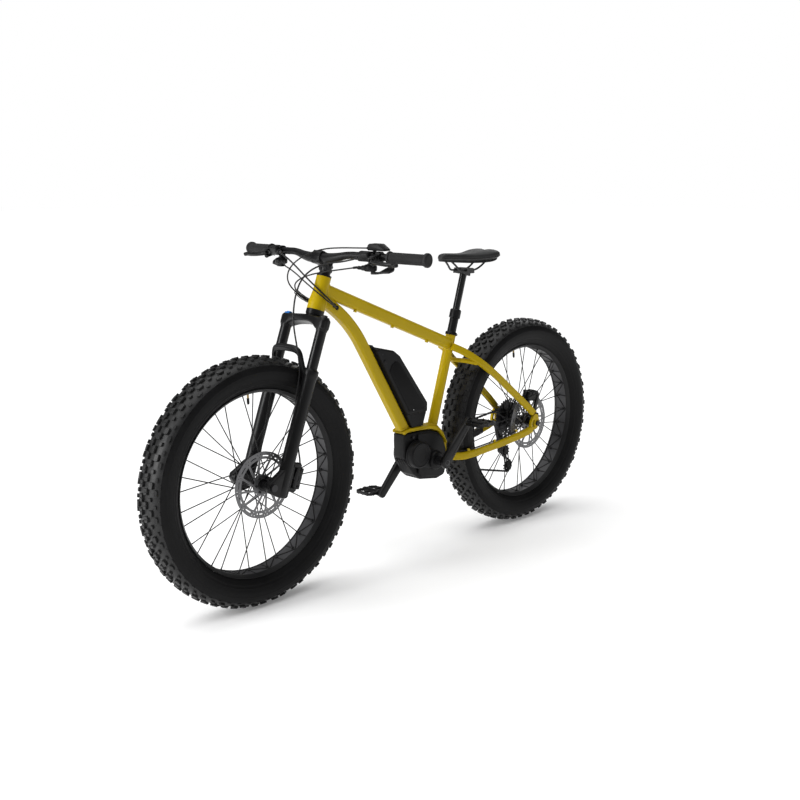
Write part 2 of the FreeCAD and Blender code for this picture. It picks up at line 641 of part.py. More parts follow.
keep("motor_housing", cut("motor_housing", fuse("motor_shell", [motor_blank, boss_l, boss_r]), [motor_bore, chin_l, chin_r]))
cover_l = fuse("cover_left", [cyl("cover_left_rim", 46.0, 22.0, V(-42.0, 38, 357.0), YP),
                              cone("cover_left_edge", 46.0, 42.5, 3.5, V(-42.0, 60, 357.0), YP)])
cover_l2 = cut("motor_cover_left", cover_l, [cyl("cover_left_gap", 33.3, 80.0, BB + V(0, 20, 0), YP)])
cover_r = cut("motor_cover_right", cyl("cover_right_blank", 58.0, 7.0, V(-70.0, -45, 352.0), YP),
              [cyl("cover_right_gap", 31.3, 80.0, BB + V(0, -90, 0), YP), side_pad("cover_right_trim", [(60, 470), (-200, 470), (-200, 418), (60, 418)], -20.0, 60.0)])
keep("motor_covers", group("motor_covers", [cover_l2, cover_r]))


def dtp(t, off):
    """Point beside the down tube: t along it from its foot, off towards the seat."""
    q = V(-18.8, 0, 435.0) + dt_dir * t + dt_nor * off
    return (q.x, q.z)


bat_pts = [dtp(65.0, 22.0), dtp(335.0, 22.0), (124.0, 738.0), (58.0, 722.0), (30.0, 702.0), (-103.0, 527.0), (-102.0, 494.5), (-14.0, 494.5)]
bat_raw = side_pad("battery_blank", bat_pts, battery_half, 2 * battery_half)
keep("battery_case", round_long_edges("battery_case", bat_raw, V(0, 1, 0), 5.0))
cradle_low = side_pad("cradle_foot", [(-100.0, 493.9), dtp(62.0, 21.0), dtp(10.0, 18.8), (-34.0, 449.0), (-84.0, 449.0)], 27.0, 54.0)
cradle_rail = side_pad("cradle_rail", [dtp(30.0, 18.8), dtp(352.0, 18.8), dtp(352.0, 21.6), dtp(30.0, 21.6)], 15.0, 30.0)
cradle_top = side_pad("cradle_lock", [dtp(337.0, 18.8), dtp(352.0, 18.8), dtp(349.0, 29.0), dtp(337.0, 32.0)], 14.0, 28.0)
keep("battery_cradle", cut("battery_cradle", fuse("cradle_blank", [cradle_low, cradle_rail, cradle_top]),
                           [side_pad("battery_room", bat_pts, battery_half, 2 * battery_half)]))

# ======================================================================= WHEELS
w = tyre_half
tyre_prof = [
    (bead_seat + 0.1, 34.5), (288.0, 34.5), (296.0, 43.0), (312.0, w - 5.0), (332.0, w), (346.0, w), (360.0, w - 3.5), (372.0, w - 10.5),
    (wheel_rad - 3.0, 38.5), (wheel_rad, tread_half), (wheel_rad, -tread_half), (wheel_rad - 3.0, -38.5), (372.0, 10.5 - w), (360.0, 3.5 - w),
    (346.0, -w), (332.0, -w), (312.0, 5.0 - w), (296.0, -43.0), (288.0, -34.5), (bead_seat + 0.1, -34.5),
    (bead_seat + 0.1, -28.5), (290.0, -28.5), (297.0, -37.0), (308.0, -45.0), (325.0, -51.0), (340.0, -52.5), (354.0, -47.0), (364.0, -38.0),
    (370.0, -26.0), (370.0, 26.0), (364.0, 38.0), (354.0, 47.0), (340.0, 52.5), (325.0, 51.0), (308.0, 45.0), (297.0, 37.0), (290.0, 28.5),
    (bead_seat + 0.1, 28.5)]
rim_prof = [
    (rim_flange, rim_half), (rim_flange, 34.6), (bead_seat, 34.6), (bead_seat, 24.0), (275.0, 20.0), (275.0, -20.0), (bead_seat, -24.0),
    (bead_seat, -34.6), (rim_flange, -34.6), (rim_flange, -rim_half), (277.0, -rim_half), (rim_inner, -31.0), (rim_inner, 31.0), (277.0, rim_half)]


def spoke_set(tag, centre, flanges, hole_r):
    """Three-cross lacing, 32 spokes, with the valve stem between two of them."""
    out = []
    for side, (fy, phase) in enumerate(flanges):
        sgn = 1.0 if side == 0 else -1.0
        for k in range(8):
            for lead in (0, 1):
                a0 = math.radians(45.0 * k + 22.5 * lead + phase)
                a1 = a0 + math.radians(67.5 if lead == 0 else -67.5)
                off = 2.55 if lead == 0 else -2.55
                p = centre + V(hole_r * math.cos(a0), fy + off, hole_r * math.sin(a0))
                r1 = num(rim_inner) - 1.0
                q = centre + V(r1 * math.cos(a1), sgn * 9.0, r1 * math.sin(a1))
                s = cyl("%s_spoke_%d%d%d" % (tag, side, k, lead), spoke_rad, (q - p).Length, p, q - p)
                out.append(s)
    va = math.radians(90.0 + 5.625 if centre.x > 0 else 90.0 - 5.625)
    d = V(math.cos(va), 0, math.sin(va))
    out.append(cyl(tag + "_valve", 3.0, 40.0, centre + d * (num(rim_inner) - 40.5), d))
    return out


def rotor_parts(tag, centre, y0):
    ring = cut(tag + "_track", cyl(tag + "_track_o", rotor_rad, rotor_thick, centre + V(0, y0, 0), YP),
               [cyl(tag + "_track_i", rotor_track, 20.0, centre + V(0, y0 - 8, 0), YP)])
    hubr = cut(tag + "_centre", cyl(tag + "_centre_o", 30.0, rotor_thick, centre + V(0, y0, 0), YP),
               [cyl(tag + "_centre_i", 17.5, 20.0, centre + V(0, y0 - 8, 0), YP)])
    arms = []
    for k in range(12):
        ang = math.radians(30.0 * k)
        root = V(28.0 * math.cos(ang), 0, 28.0 * math.sin(ang))
        tip = V(82.0 * math.cos(ang + 0.42), 0, 82.0 * math.sin(ang + 0.42))
        d = (tip - root)
        rot = FreeCAD.Rotation(d, YP, d.cross(YP), "XYZ")
        b = doc.addObject("Part::Box", "%s_arm_%d" % (tag, k))
        b.Length = d.Length
        bind(b, "Width", rotor_thick)
        b.Height = 5.0
        side = d.cross(YP).normalize()
        b.Placement = FreeCAD.Placement(centre + V(0, y0, 0) + root - side * 2.5, rot)
        arms.append(b)
    disc = fuse(tag + "_disc", [ring, hubr] + arms)
    bolts = [cyl("%s_bolt_%d" % (tag, k), 4.2, 2.6,
                 centre + V(23.5 * math.cos(math.radians(60 * k)), y0 + num(rotor_thick), 23.5 * math.sin(math.radians(60 * k))), YP)
             for k in range(6)]
    return group(tag + "_rotor", [disc] + bolts)


FC, RC = V(FX, 0, AXZ), V(-FX, 0, AXZ)
keep("front_tyre", rev("front_tyre", tyre_prof, FreeCAD.Placement(FC, FreeCAD.Rotation())))
keep("front_rim", rev("front_rim", rim_prof, FreeCAD.Placement(FC, FreeCAD.Rotation())))
keep("front_spokes", group("front_spokes", spoke_set("front", FC, [(39.5, 0.0), (-39.5, 11.25)], 27.0)))
ry = num(rotor_front_y)
keep("front_hub", rev("front_hub", [
    (front_axle_rad + fit_gap, 0.3 - front_half), (12.0, 0.3 - front_half), (12.0, -57.0), (19.0, -55.0), (19.0, -44.0), (31.0, -41.0),
    (31.0, -38.0), (18.0, -35.0), (15.0, -26.0), (15.0, 26.0), (18.0, 35.0), (31.0, 38.0), (31.0, 41.0), (28.0, 41.5), (28.0, rotor_front_y),
    (17.4, rotor_front_y), (17.4, 48.5), (12.0, 50.0), (12.0, front_half - 0.3), (front_axle_rad + fit_gap, front_half - 0.3)],
    FreeCAD.Placement(FC, FreeCAD.Rotation())))
keep("front_rotor", rotor_parts("front", FC, ry))

keep("rear_tyre", rev("rear_tyre", tyre_prof, FreeCAD.Placement(RC, FreeCAD.Rotation())))
keep("rear_rim", rev("rear_rim", rim_prof, FreeCAD.Placement(RC, FreeCAD.Rotation())))
keep("rear_spokes", group("rear_spokes", spoke_set("rear", RC, [(44.0, 0.0), (-25.0, 11.25)], 27.0)))
keep("rear_hub", rev("rear_hub", [
    (rear_axle_rad + fit_gap, 0.3 - rear_half), (9.0, 0.3 - rear_half), (9.0, -33.0), (24.0, -32.5), (26.0, -29.0), (31.0, -26.5), (31.0, -23.5),
    (20.0, -20.0), (15.5, -12.0), (15.5, 31.0), (19.0, 40.0), (31.0, 42.5), (31.0, 45.5), (28.0, 46.0), (28.0, rotor_rear_y),
    (17.4, rotor_rear_y), (17.4, 58.5), (12.0, 60.0), (12.0, rear_half - 0.3), (rear_axle_rad + fit_gap, rear_half - 0.3)],
    FreeCAD.Placement(RC, FreeCAD.Rotation())))
keep("rear_rotor", rotor_parts("rear", RC, num(rotor_rear_y)))
keep("front_axle", fuse("front_axle", [
    cyl("front_axle_shaft", front_axle_rad, 198.0, FC + V(0, -99, 0), YP),
    cyl("front_axle_head", 11.0, 6.0, FC + V(0, 99, 0), YP),
    cyl("front_axle_tip", 9.5, 4.0, FC + V(0, -103, 0), YP)]))
keep("rear_axle", fuse("rear_axle", [
    cyl("rear_axle_shaft", rear_axle_rad, 2 * (rear_half + drop_thick), RC + V(0, -num(rear_half + drop_thick), 0), YP),
    cyl("rear_axle_head", 9.5, 7.0, RC + V(0, num(rear_half + drop_thick), 0), YP),
    cyl("rear_axle_tip", 9.5, 3.0, RC + V(0, -num(rear_half + drop_thick) - 3.0, 0), YP)]))

# ========================================================================= FORK
crown_half = [(-26.0, 0.0), (-24.0, 24.0), (6.0, 62.0), (9.0, 92.0), (19.0, 102.5), (39.0, 102.5), (49.0, 92.0), (50.0, 68.0), (46.0, 40.0), (42.0, 0.0)]
crown_pts = crown_half + [(x, -y) for x, y in reversed(crown_half[1:-1])]
crown_plate = pad("crown_plate", crown_pts, 30.0, HEAD.multiply(FreeCAD.Placement(V(0, 0, -58.0), FreeCAD.Rotation())))
crown_bosses = [cyl("crown_boss_l", stan_rad + 5.0, crown_low - 30.0, V(num(leg_n), num(leg_y), -num(crown_low)), V(0, 0, 1), HEAD),
                cyl("crown_boss_r", stan_rad + 5.0, crown_low - 30.0, V(num(leg_n), -num(leg_y), -num(crown_low)), V(0, 0, 1), HEAD)]
steerer = on_head("steerer", [
    (11.5, -58.0), (26.5, -58.0), (26.5, -15.5), (steer_low, -15.5), (steer_low, 18.0), (steer_top, 62.0), (steer_top, 150.0), (11.5, 150.0)])
stan_room = [cyl("stanchion_room_l", stan_rad, 200.0, V(num(leg_n), num(leg_y), -150.0), V(0, 0, 1), HEAD),
             cyl("stanchion_room_r", stan_rad, 200.0, V(num(leg_n), -num(leg_y), -150.0), V(0, 0, 1), HEAD)]
keep("fork_crown", cut("fork_crown", fuse("crown_blank", [crown_plate, steerer] + crown_bosses), stan_room))


def stanchion(tag, y):
    return rev_on("stanchion_" + tag, [(12.5, -440.0), (stan_rad, -440.0), (stan_rad, -30.0), (12.5, -30.0)],
                  hp(num(leg_n), y, 0), AX)


air_cap = fuse("air_cap", [cyl("air_cap_plug", 12.5, 12.0, V(num(leg_n), num(leg_y), -40.0), V(0, 0, 1), HEAD),
                           cyl("air_cap_rim", 16.0, 5.0, V(num(leg_n), num(leg_y), -28.0), V(0, 0, 1), HEAD),
                           cyl("air_cap_nut", 8.0, 5.0, V(num(leg_n), num(leg_y), -23.0), V(0, 0, 1), HEAD)])
keep("stanchions", group("stanchions", [stanchion("left", num(leg_y)), stanchion("right", -num(leg_y)), air_cap]))
keep("lockout_knob", fuse("lockout_knob", [
    cyl("lockout_dial", 16.0, 7.0, V(num(leg_n), -num(leg_y), -27.6), V(0, 0, 1), HEAD),
    cyl("lockout_cap", 11.0, 5.0, V(num(leg_n), -num(leg_y), -20.6), V(0, 0, 1), HEAD),
    span("lockout_tab", (num(leg_n) + 12.0, -num(leg_y) - 3.5, -26.6), (num(leg_n) + 23.0, -num(leg_y) + 3.5, -21.6), HEAD)]))


def leg(tag, y):
    s = 1.0 if y > 0 else -1.0
    tube = cyl("leg_" + tag, leg_rad, legs_end - legs_top, V(num(leg_n), y, -num(legs_end)), V(0, 0, 1), HEAD)
    collar = cyl("leg_collar_" + tag, leg_rad + 2.5, 16.0, V(num(leg_n), y, -num(legs_top) - 16.0), V(0, 0, 1), HEAD)
    lug = side_pad("lug_" + tag, [(8.0, -578.0), (38.0, -580.0), (78.0, -573.0), (90.0, -560.0), (90.0, -546.0), (80.0, -535.0), (51.0, -500.0), (8.0, -500.0)],
                   (num(front_half) + 24.0) if s > 0 else -num(front_half), 24.0, HEAD)
    return [tube, collar, lug]


ah = [(94.0, -26.0), (96.0, 14.0), (88.0, 46.0), (68.0, 76.0), (38.0, 90.0)]
ai = [(66.0, -26.0), (64.0, 30.0), (53.0, 56.0), (32.0, 69.0)]
arch_pts = ah + [(-x, z) for x, z in reversed(ah)] + [(-x, z) for x, z in ai] + [(x, z) for x, z in reversed(ai)]
lean = math.atan2(37.0, 80.0)
arch_o = HEAD.multiply(FreeCAD.Placement(V(46.0, 0, -215.0), FreeCAD.Rotation(V(0, math.cos(0), 0), V(math.sin(lean), 0, math.cos(lean)), V(math.cos(lean), 0, -math.sin(lean)), "ZXY")))
arch = pad("fork_arch", arch_pts, 15.0, arch_o)
posts = [span("caliper_post_%d" % k, (-28.0, 60.4, a), (22.0, 80.0, a + 15.0), HEAD) for k, a in enumerate((-481.0, -557.0))]
bores = [cyl("leg_bore_l", stan_rad + fit_gap, 380.0, V(num(leg_n), num(leg_y), -num(legs_top) - 375.0), V(0, 0, 1), HEAD),
         cyl("leg_bore_r", stan_rad + fit_gap, 380.0, V(num(leg_n), -num(leg_y), -num(legs_top) - 375.0), V(0, 0, 1), HEAD),
         cyl("front_axle_bore", front_axle_rad, 240.0, FC + V(0, -120, 0), YP)]
keep("fork_lowers", cut("fork_lowers", fuse("lowers_blank", leg("left", num(leg_y)) + leg("right", -num(leg_y)) + [arch] + posts), bores))

cal_body = span("front_caliper_body", (-64.0, 35.5, -548.0), (-15.0, 60.0, -478.0), HEAD)
cal_ears = span("front_caliper_ears", (-42.0, 52.0, -558.0), (-28.3, 66.0, -465.0), HEAD)
cal_slot = span("front_caliper_slot", (-42.0, 42.5, -570.0), (0.0, 49.5, -450.0), HEAD)
cal_bolts = [cyl("front_caliper_bolt_%d" % k, 4.2, 6.0, V(-42.0, 59.0, a), V(-1, 0, 0), HEAD) for k, a in enumerate((-473.5, -549.5))]
keep("front_caliper", cut("front_caliper", fuse("front_caliper_blank", [cal_body, cal_ears] + cal_bolts), [cal_slot]))

# Rear caliper on its adapter above the left stay end.
rcf = FreeCAD.Placement(RC, FreeCAD.Rotation(V(0, 1, 0), -8.0))
rc_body = span("rear_caliper_body", (-36.0, 42.0, 84.0), (36.0, 71.0, 122.0), rcf)
rc_slot = span("rear_caliper_slot", (-60.0, 52.3, 60.0), (60.0, 59.7, 108.0), rcf)
rc_foot = side_pad("rear_adapter", [(-648.0, 397.0), (-628.0, 397.0), (-618.0, 432.0), (-592.0, 464.0), (-596.0, 482.0), (-664.0, 492.0),
                                   (-668.0, 472.0), (-652.0, 430.0)], 76.0, 13.0)
rc_base = span("rear_adapter_base", (-646.0, 63.0, 397.0), (-630.0, 88.5, 418.0))
keep("rear_caliper", cut("rear_caliper", fuse("rear_caliper_blank", [rc_body, rc_foot, rc_base]), [rc_slot]))

# ================================================================= STEM AND BAR
BAR0 = V(347.0, 0, 1038.0)
bn = (BAR0 - H0).dot(NX)
ba = (BAR0 - H0).dot(AX)
keep("headset_spacers", group("headset_spacers", [
    on_head("spacer_ring", [(steer_top, head_len + 6.4), (17.5, head_len + 6.4), (17.5, head_len + 14.0), (steer_top, head_len + 14.0)]),
    on_head("top_cap", [(0.0, 152.5), (18.0, 152.5), (18.0, 155.5), (12.0, 157.0), (0.0, 157.0)])]))
stem_blank = fuse("stem_blank", [
    cyl("stem_collar", 20.0, 152.0 - 119.5, V(0, 0, 119.5), V(0, 0, 1), HEAD),
    side_pad("stem_neck", [(-6.0, 124.0), (14.0, 121.0), (bn - 18.0, ba - 22.0), (bn - 0.6, ba - 22.0), (bn - 0.6, ba + 22.0), (bn - 16.0, ba + 22.0), (6.0, 150.0)], 21.0, 42.0, HEAD)])
bar_room = cyl("bar_room", bar_clamp, 90.0, BAR0 + V(0, -45, 0), YP)
steer_room = cyl("steerer_room", steer_top, 80.0, V(0, 0, 90.0), V(0, 0, 1), HEAD)
cap_room = cyl("cap_room", 21.5, 40.0, V(0, 0, 152.2), V(0, 0, 1), HEAD)
keep("stem", cut("stem", stem_blank, [bar_room, steer_room, cap_room]))
face_blank = side_pad("faceplate_blank", [(bn + 0.6, ba - 22.0), (bn + 12.0, ba - 22.0), (bn + 21.0, ba - 10.0), (bn + 21.0, ba + 10.0), (bn + 12.0, ba + 22.0), (bn + 0.6, ba + 22.0)], 21.0, 42.0, HEAD)
plate = cut("faceplate_body", face_blank, [cyl("bar_room_b", bar_clamp, 90.0, BAR0 + V(0, -45, 0), YP)])
face_bolts = [cyl("faceplate_bolt_%d%d" % (i, j), 3.6, 4.5, V(bn + 12.0, y, ba + a), V(1, 0, 0), HEAD)
              for i, y in enumerate((-15.0, 15.0)) for j, a in enumerate((-18.2, 18.2))]
bolts_clear = cut("faceplate", plate, [cyl("bolt_room_%d%d" % (i, j), 3.6, 30.0, V(bn + 12.0, y, ba + a), V(1, 0, 0), HEAD)
                                       for i, y in enumerate((-15.0, 15.0)) for j, a in enumerate((-18.2, 18.2))])
keep("stem_faceplate", group("stem_faceplate", [bolts_clear] + face_bolts))

bend = (336.0, 130.0, 1051.0)
bend_in = (347.0, 46.0, 1038.0)
bar_end = (294.0, num(bar_half), 1047.0)
grip_dir = (V(*bar_end) - V(*bend)).normalize()


def mir(p):
    return (p[0], -p[1], p[2])


bar_pts = [mir(bar_end), mir(bend), mir(bend_in), bend_in, bend, bar_end]
bar_path = arc_path(bar_pts, radii=[110.0, 110.0, 110.0, 110.0])
bar_o = sweep_round(bar_path, V(*bar_pts[0]), V(*bar_pts[1]), num(bar_rad))
bar_i = sweep_round(bar_path, V(*bar_pts[0]), V(*bar_pts[1]), num(bar_rad) - 2.0)
bar_mid = Part.makeCylinder(num(bar_clamp), 64.0, V(BAR0.x, -32, BAR0.z), YP)
bar_tl = Part.makeCone(num(bar_clamp), num(bar_rad), 28.0, V(BAR0.x, 32, BAR0.z), YP)
bar_tr = Part.makeCone(num(bar_clamp), num(bar_rad), 28.0, V(BAR0.x, -32, BAR0.z), V(0, -1, 0))
keep("handlebar", solid_feature("handlebar", bar_o.fuse([bar_mid, bar_tl, bar_tr]).cut(bar_i).removeSplitter()))


def along_bar(s, side, fwd=0.0, up=0.0):
    """Point by the outer bar: s is its distance from the centre plane."""
    t = (s - bend[1]) / grip_dir.y
    p = V(*bend) + grip_dir * t + V(fwd, 0, up)
    return V(p.x, p.y * side, p.z)


def bar_axis(side):
    return V(grip_dir.x, grip_dir.y * side, grip_dir.z)


def bar_frame(s, side):
    """Local frame at the bar: X forward, Y outwards along the bar, Z up."""
    y = bar_axis(side)
    x = V(1, 0, 0)
    z = x.cross(y) if side > 0 else y.cross(x)
    z.normalize()
    x2 = y.cross(z) if side > 0 else z.cross(y)
    if side > 0:
        rot = FreeCAD.Rotation(x2, y, z, "ZYX")
    else:
        rot = FreeCAD.Rotation(x2, y * -1, z, "ZYX")
    return FreeCAD.Placement(along_bar(s, side), rot)


def bspan(name, lo, hi, frame, side):
    """Box in a bar frame; for the right side the outward axis is mirrored."""
    if side < 0:
        lo, hi = (lo[0], -hi[1], lo[2]), (hi[0], -lo[1], hi[2])
    return span(name, lo, hi, frame)


def bcyl(name, r, h, base, axis, frame, side):
    return cyl(name, r, h, V(base[0], base[1] * side, base[2]), V(axis[0], axis[1] * side, axis[2]), frame)


grips = []
for tag, side in (("left", 1), ("right", -1)):
    y = bar_axis(side)
    s0 = num(bar_half) - num(grip_len) * grip_dir.y
    base = along_bar(s0, side)
    grips.append(rev_on("grip_" + tag, [
        (bar_rad, 0.0), (19.0, 0.0), (19.0, 4.0), (grip_rad, 6.0), (grip_rad, grip_len - 8.0), (20.5, grip_len - 6.0), (21.0, grip_len + 2.0),
        (18.0, grip_len + 5.0), (0.0, grip_len + 5.0), (0.0, grip_len + 0.2), (bar_rad, grip_len + 0.2)], base, y))
keep("grips", group("grips", grips))

LEVER_DROP = 17.0                                # levers reach forward and down
masters = []
lever_axis = {}
for tag, side in (("left", 1), ("right", -1)):
    f = bar_frame(236.0, side).multiply(FreeCAD.Placement(V(0, 0, 0), FreeCAD.Rotation(V(0, 1, 0), LEVER_DROP)))
    ring = bcyl("master_ring_" + tag, 16.5, 16.0, (0, -8.0, 0), (0, 1, 0), f, side)
    neck = bspan("master_neck_" + tag, (8.0, -17.0, -6.0), (31.0, 7.0, 14.0), f, side)
    body = bcyl("master_bore_" + tag, 9.5, 46.0, (27.0, -58.0, 4.0), (0, 1, 0), f, side)
    tank = bspan("master_tank_" + tag, (16.0, -54.0, 5.0), (38.0, -14.0, 25.0), f, side)
    fork = bspan("master_fork_" + tag, (26.0, -5.0, -9.0), (48.0, 12.0, 17.0), f, side)
    gap = bspan("master_gap_" + tag, (33.0, -11.0, -3.4), (60.0, 30.0, 11.4), f, side)
    room = bcyl("master_bar_" + tag, bar_rad, 60.0, (0, -30.0, 0), (0, 1, 0), f, side)
    pin = bcyl("lever_pin_" + tag, 2.5, 26.0, (42.0, 5.0, -9.0), (0, 0, 1), f, side)
    masters.append(fuse("master_" + tag, [cut("master_blank_" + tag, fuse("master_mass_" + tag, [ring, neck, body, tank, fork]), [gap, room]), pin]))
    hub = bcyl("lever_hub_" + tag, 7.0, 13.0, (42.0, 5.0, -2.5), (0, 0, 1), f, side)
    pts = [(36.0, 3.0), (47.0, 0.0), (55.0, 12.0), (63.0, 36.0), (67.0, 66.0), (66.0, 90.0), (70.0, 100.0), (67.0, 109.0), (59.0, 110.0),
           (54.0, 102.0), (55.0, 86.0), (54.0, 64.0), (50.0, 40.0), (41.0, 16.0)]
    lp = [(x, yy * side) for x, yy in pts]
    blade = pad("lever_blade_" + tag, lp if side > 0 else list(reversed(lp)), 11.0, f.multiply(FreeCAD.Placement(V(0, 0, -1.5), FreeCAD.Rotation())))
    hole = bcyl("lever_hole_" + tag, 2.5 + num(fit_gap), 60.0, (42.0, 5.0, -30.0), (0, 0, 1), f, side)
    lever = cut("brake_lever_" + tag, fuse("lever_blank_" + tag, [hub, blade]), [hole])
    keep("brake_lever_" + tag, lever)
    o = f.multVec(V(42.0, 5.0 * side, 4.0))
    z = f.Rotation.multVec(V(0, 0, 1))
    lever_axis[tag] = (o, z)
keep("brake_masters", group("brake_masters", masters))

# Shifter pod under the right bar, dropper remote under the left bar.
pods = []
for tag, side in (("left", 1), ("right", -1)):
    f = bar_frame(206.0, side)
    ring = bcyl("pod_ring_" + tag, 15.5, 11.0, (0, -5.5, 0), (0, 1, 0), f, side)
    neck = bspan("pod_neck_" + tag, (-4.0, -5.5, -24.0), (14.0, 5.5, -8.0), f, side)
    body = bspan("pod_body_" + tag, (-14.0, -22.0, -43.0), (32.0, 20.0, -21.0), f, side)
    barrel = bcyl("pod_barrel_" + tag, 5.0, 20.0, (22.0, -20.0, -33.0), (0, -1, 0), f, side)
    room = bcyl("pod_bar_" + tag, bar_rad, 60.0, (0, -30.0, 0), (0, 1, 0), f, side)
    pin = bcyl("paddle_pin_" + tag, 2.5, 9.5, (0.0, 8.0, -52.5), (0, 0, 1), f, side)
    pods.append(fuse("pod_" + tag, [cut("pod_blank_" + tag, fuse("pod_mass_" + tag, [ring, neck, body, barrel]), [room]), pin]))
    pts = [(-9.0, 2.0), (4.0, 0.0), (10.0, 14.0), (4.0, 44.0), (-4.0, 66.0), (-14.0, 70.0), (-20.0, 62.0), (-16.0, 46.0), (-10.0, 20.0)]
    lp = [(x, yy * side) for x, yy in pts]
    blade = pad("paddle_blade_" + tag, lp if side > 0 else list(reversed(lp)), 7.0, f.multiply(FreeCAD.Placement(V(0, 0, -51.0), FreeCAD.Rotation())))
    hole = bcyl("paddle_hole_" + tag, 2.5 + num(fit_gap), 40.0, (0.0, 8.0, -75.0), (0, 0, 1), f, side)
    node = "dropper_lever" if side > 0 else "shift_lever"
    keep(node, cut(node, blade, [hole]))
    lever_axis[node] = (f.multVec(V(0.0, 8.0 * side, -55.0)), f.Rotation.multVec(V(0, 0, 1)))
keep("control_pods", group("control_pods", pods))

# Assist control unit on the left bar, above the remote.
f = bar_frame(215.2, 1)
unit_ring = bcyl("unit_ring", 14.5, 6.2, (0, -3.1, 0), (0, 1, 0), f, 1)
unit_neck = bspan("unit_neck", (-9.0, -3.1, 9.0), (7.0, 3.1, 20.0), f, 1)
unit_case = pad("unit_case", [(-20.0, 18.0), (42.0, 18.0), (42.0, 22.0), (20.0, 38.0), (-14.0, 38.0), (-20.0, 32.0)], 34.0,
                f.multiply(FreeCAD.Placement(V(-25.0, 0, 0), FreeCAD.Rotation(V(0, 1, 0), V(0, 0, 1), V(1, 0, 0), "XYZ"))))
unit_room = bcyl("unit_bar", bar_rad, 60.0, (0, -30.0, 0), (0, 1, 0), f, 1)
keep("assist_unit", cut("assist_unit", fuse("assist_blank", [unit_ring, unit_neck, unit_case]), [unit_room]))

# ==================================================================== TRANSMISSION


def pitch_r(teeth):
    return num(pitch) / (2.0 * math.sin(math.pi / teeth))


CY = -num(chain_y)
R_RING, R_COG, R_JOCK = pitch_r(num(ring_teeth)), pitch_r(num(cog_teeth)), pitch_r(num(jockey_teeth))
cogs = (11, 13, 15, 17, 19, 21, 24, 28, 32, 36)
cog_list = []
for i, tcount in enumerate(cogs):
    yc = CY + 3.95 * (3 - i) * -1.0
    rr = pitch_r(tcount) + 1.5 if tcount != int(num(cog_teeth)) else R_COG - num(chain_half) - 0.5
    cog_list.append(cyl("cog_%d" % tcount, rr, 1.8, V(-FX, yc - 0.9, AXZ), YP))
free_body = cyl("freehub_body", 17.0, 47.0, V(-FX, -81.0, AXZ), YP)
lock_ring = cyl("lock_ring", 19.0, 3.0, V(-FX, -82.0, AXZ), YP)
cas_bore = cyl("cassette_bore", 9.0 + num(fit_gap), 120.0, V(-FX, -140.0, AXZ), YP)
keep("cassette", cut("cassette", fuse("cassette_blank", cog_list + [free_body, lock_ring]), [cas_bore]))

ring_disc = cyl("ring_disc", R_RING - num(chain_half) - 0.5, 2.4, BB + V(0, CY - 1.2, 0), YP)
ring_hub = cyl("ring_hub", 19.0, 14.0, BB + V(0, CY - 8.0, 0), YP)
ring_bore = cyl("ring_bore", axle_rad, 60.0, BB + V(0, -90, 0), YP)
keep("chainring", cut("chainring", fuse("ring_blank", [ring_disc, ring_hub]), [ring_bore]))

ca = math.radians(num(crank_angle))
arms = []
pedal_c = {}
for tag, side in (("left", 1.0), ("right", -1.0)):
    d = V(math.cos(ca), 0, math.sin(ca)) * side
    tip = BB + d * num(crank_len)
    x = d
    z = V(0, side, 0)
    y = z.cross(x)
    pl = FreeCAD.Placement(BB + V(0, side * num(crank_in), 0), FreeCAD.Rotation(x, y, z, "XZY"))
    L = crank_len
    arm = pad("arm_blank_" + tag, [(-17.0, -9.0), (-9.0, -17.0), (8.0, -17.0), (L - 30.0, -13.0), (L + 4.0, -13.0), (L + 12.0, -6.0), (L + 12.0, 6.0),
                                   (L + 4.0, 13.0), (L - 30.0, 13.0), (8.0, 17.0), (-9.0, 17.0), (-17.0, 9.0)], crank_thick, pl)
    h1 = cyl("arm_bore_" + tag, axle_rad, 60.0, BB + V(0, side * 80.0, 0), z)
    h2 = cyl("arm_eye_" + tag, 7.0, 60.0, tip + V(0, side * 80.0, 0), z)
    arms.append(cut("crank_arm_" + tag, arm, [h1, h2]))
    pedal_c[tag] = (tip, z)
keep("crank_arms", group("crank_arms", arms))
axles = [cyl("crank_axle_shaft", axle_rad, 2 * (crank_in + crank_thick) - 2.0, BB + V(0, 1.0 - num(crank_in + crank_thick), 0), YP)]
for tag, side in (("left", 1.0), ("right", -1.0)):
    tip, z = pedal_c[tag]
    stud = cyl("pedal_stud_" + tag, 7.0, crank_thick, tip + z * num(crank_in), z)
    shaft = cyl("pedal_shaft_" + tag, pedal_axle, 84.0, tip + z * num(crank_in + crank_thick), z)
    wrench = cyl("pedal_flat_" + tag, 8.0, 5.0, tip + z * num(crank_in + crank_thick), z)
    axles.append(fuse("pedal_axle_" + tag, [stud, shaft, wrench]))
keep("crank_axles", group("crank_axles", axles))
for tag, side in (("left", 1.0), ("right", -1.0)):
    tip, z = pedal_c[tag]
    y0 = num(crank_in + crank_thick) + 6.0
    lo = y0 if side > 0 else -y0 - num(pedal_wide)
    px, pz = tip.x, tip.z
    hl, hh = num(pedal_len) / 2, num(pedal_high) / 2
    outer = block("pedal_block_" + tag, pedal_len, pedal_wide, pedal_high, V(px - hl, lo, pz - hh))
    wins = []
    for k, (x0, x1) in enumerate(((-hl + 9.0, -14.0), (14.0, hl - 9.0))):
        wins.append(block("pedal_window_%s%d" % (tag, k), x1 - x0, num(pedal_wide) - 18.0, 60.0, V(px + x0, lo + 9.0, pz - 30.0)))
    spindle = cyl("pedal_bore_" + tag, pedal_axle + fit_gap, 120.0, tip + z * 100.0, z)
    bodyp = cut("pedal_" + tag, outer, wins + [spindle])
    keep("pedal_" + tag, bodyp)


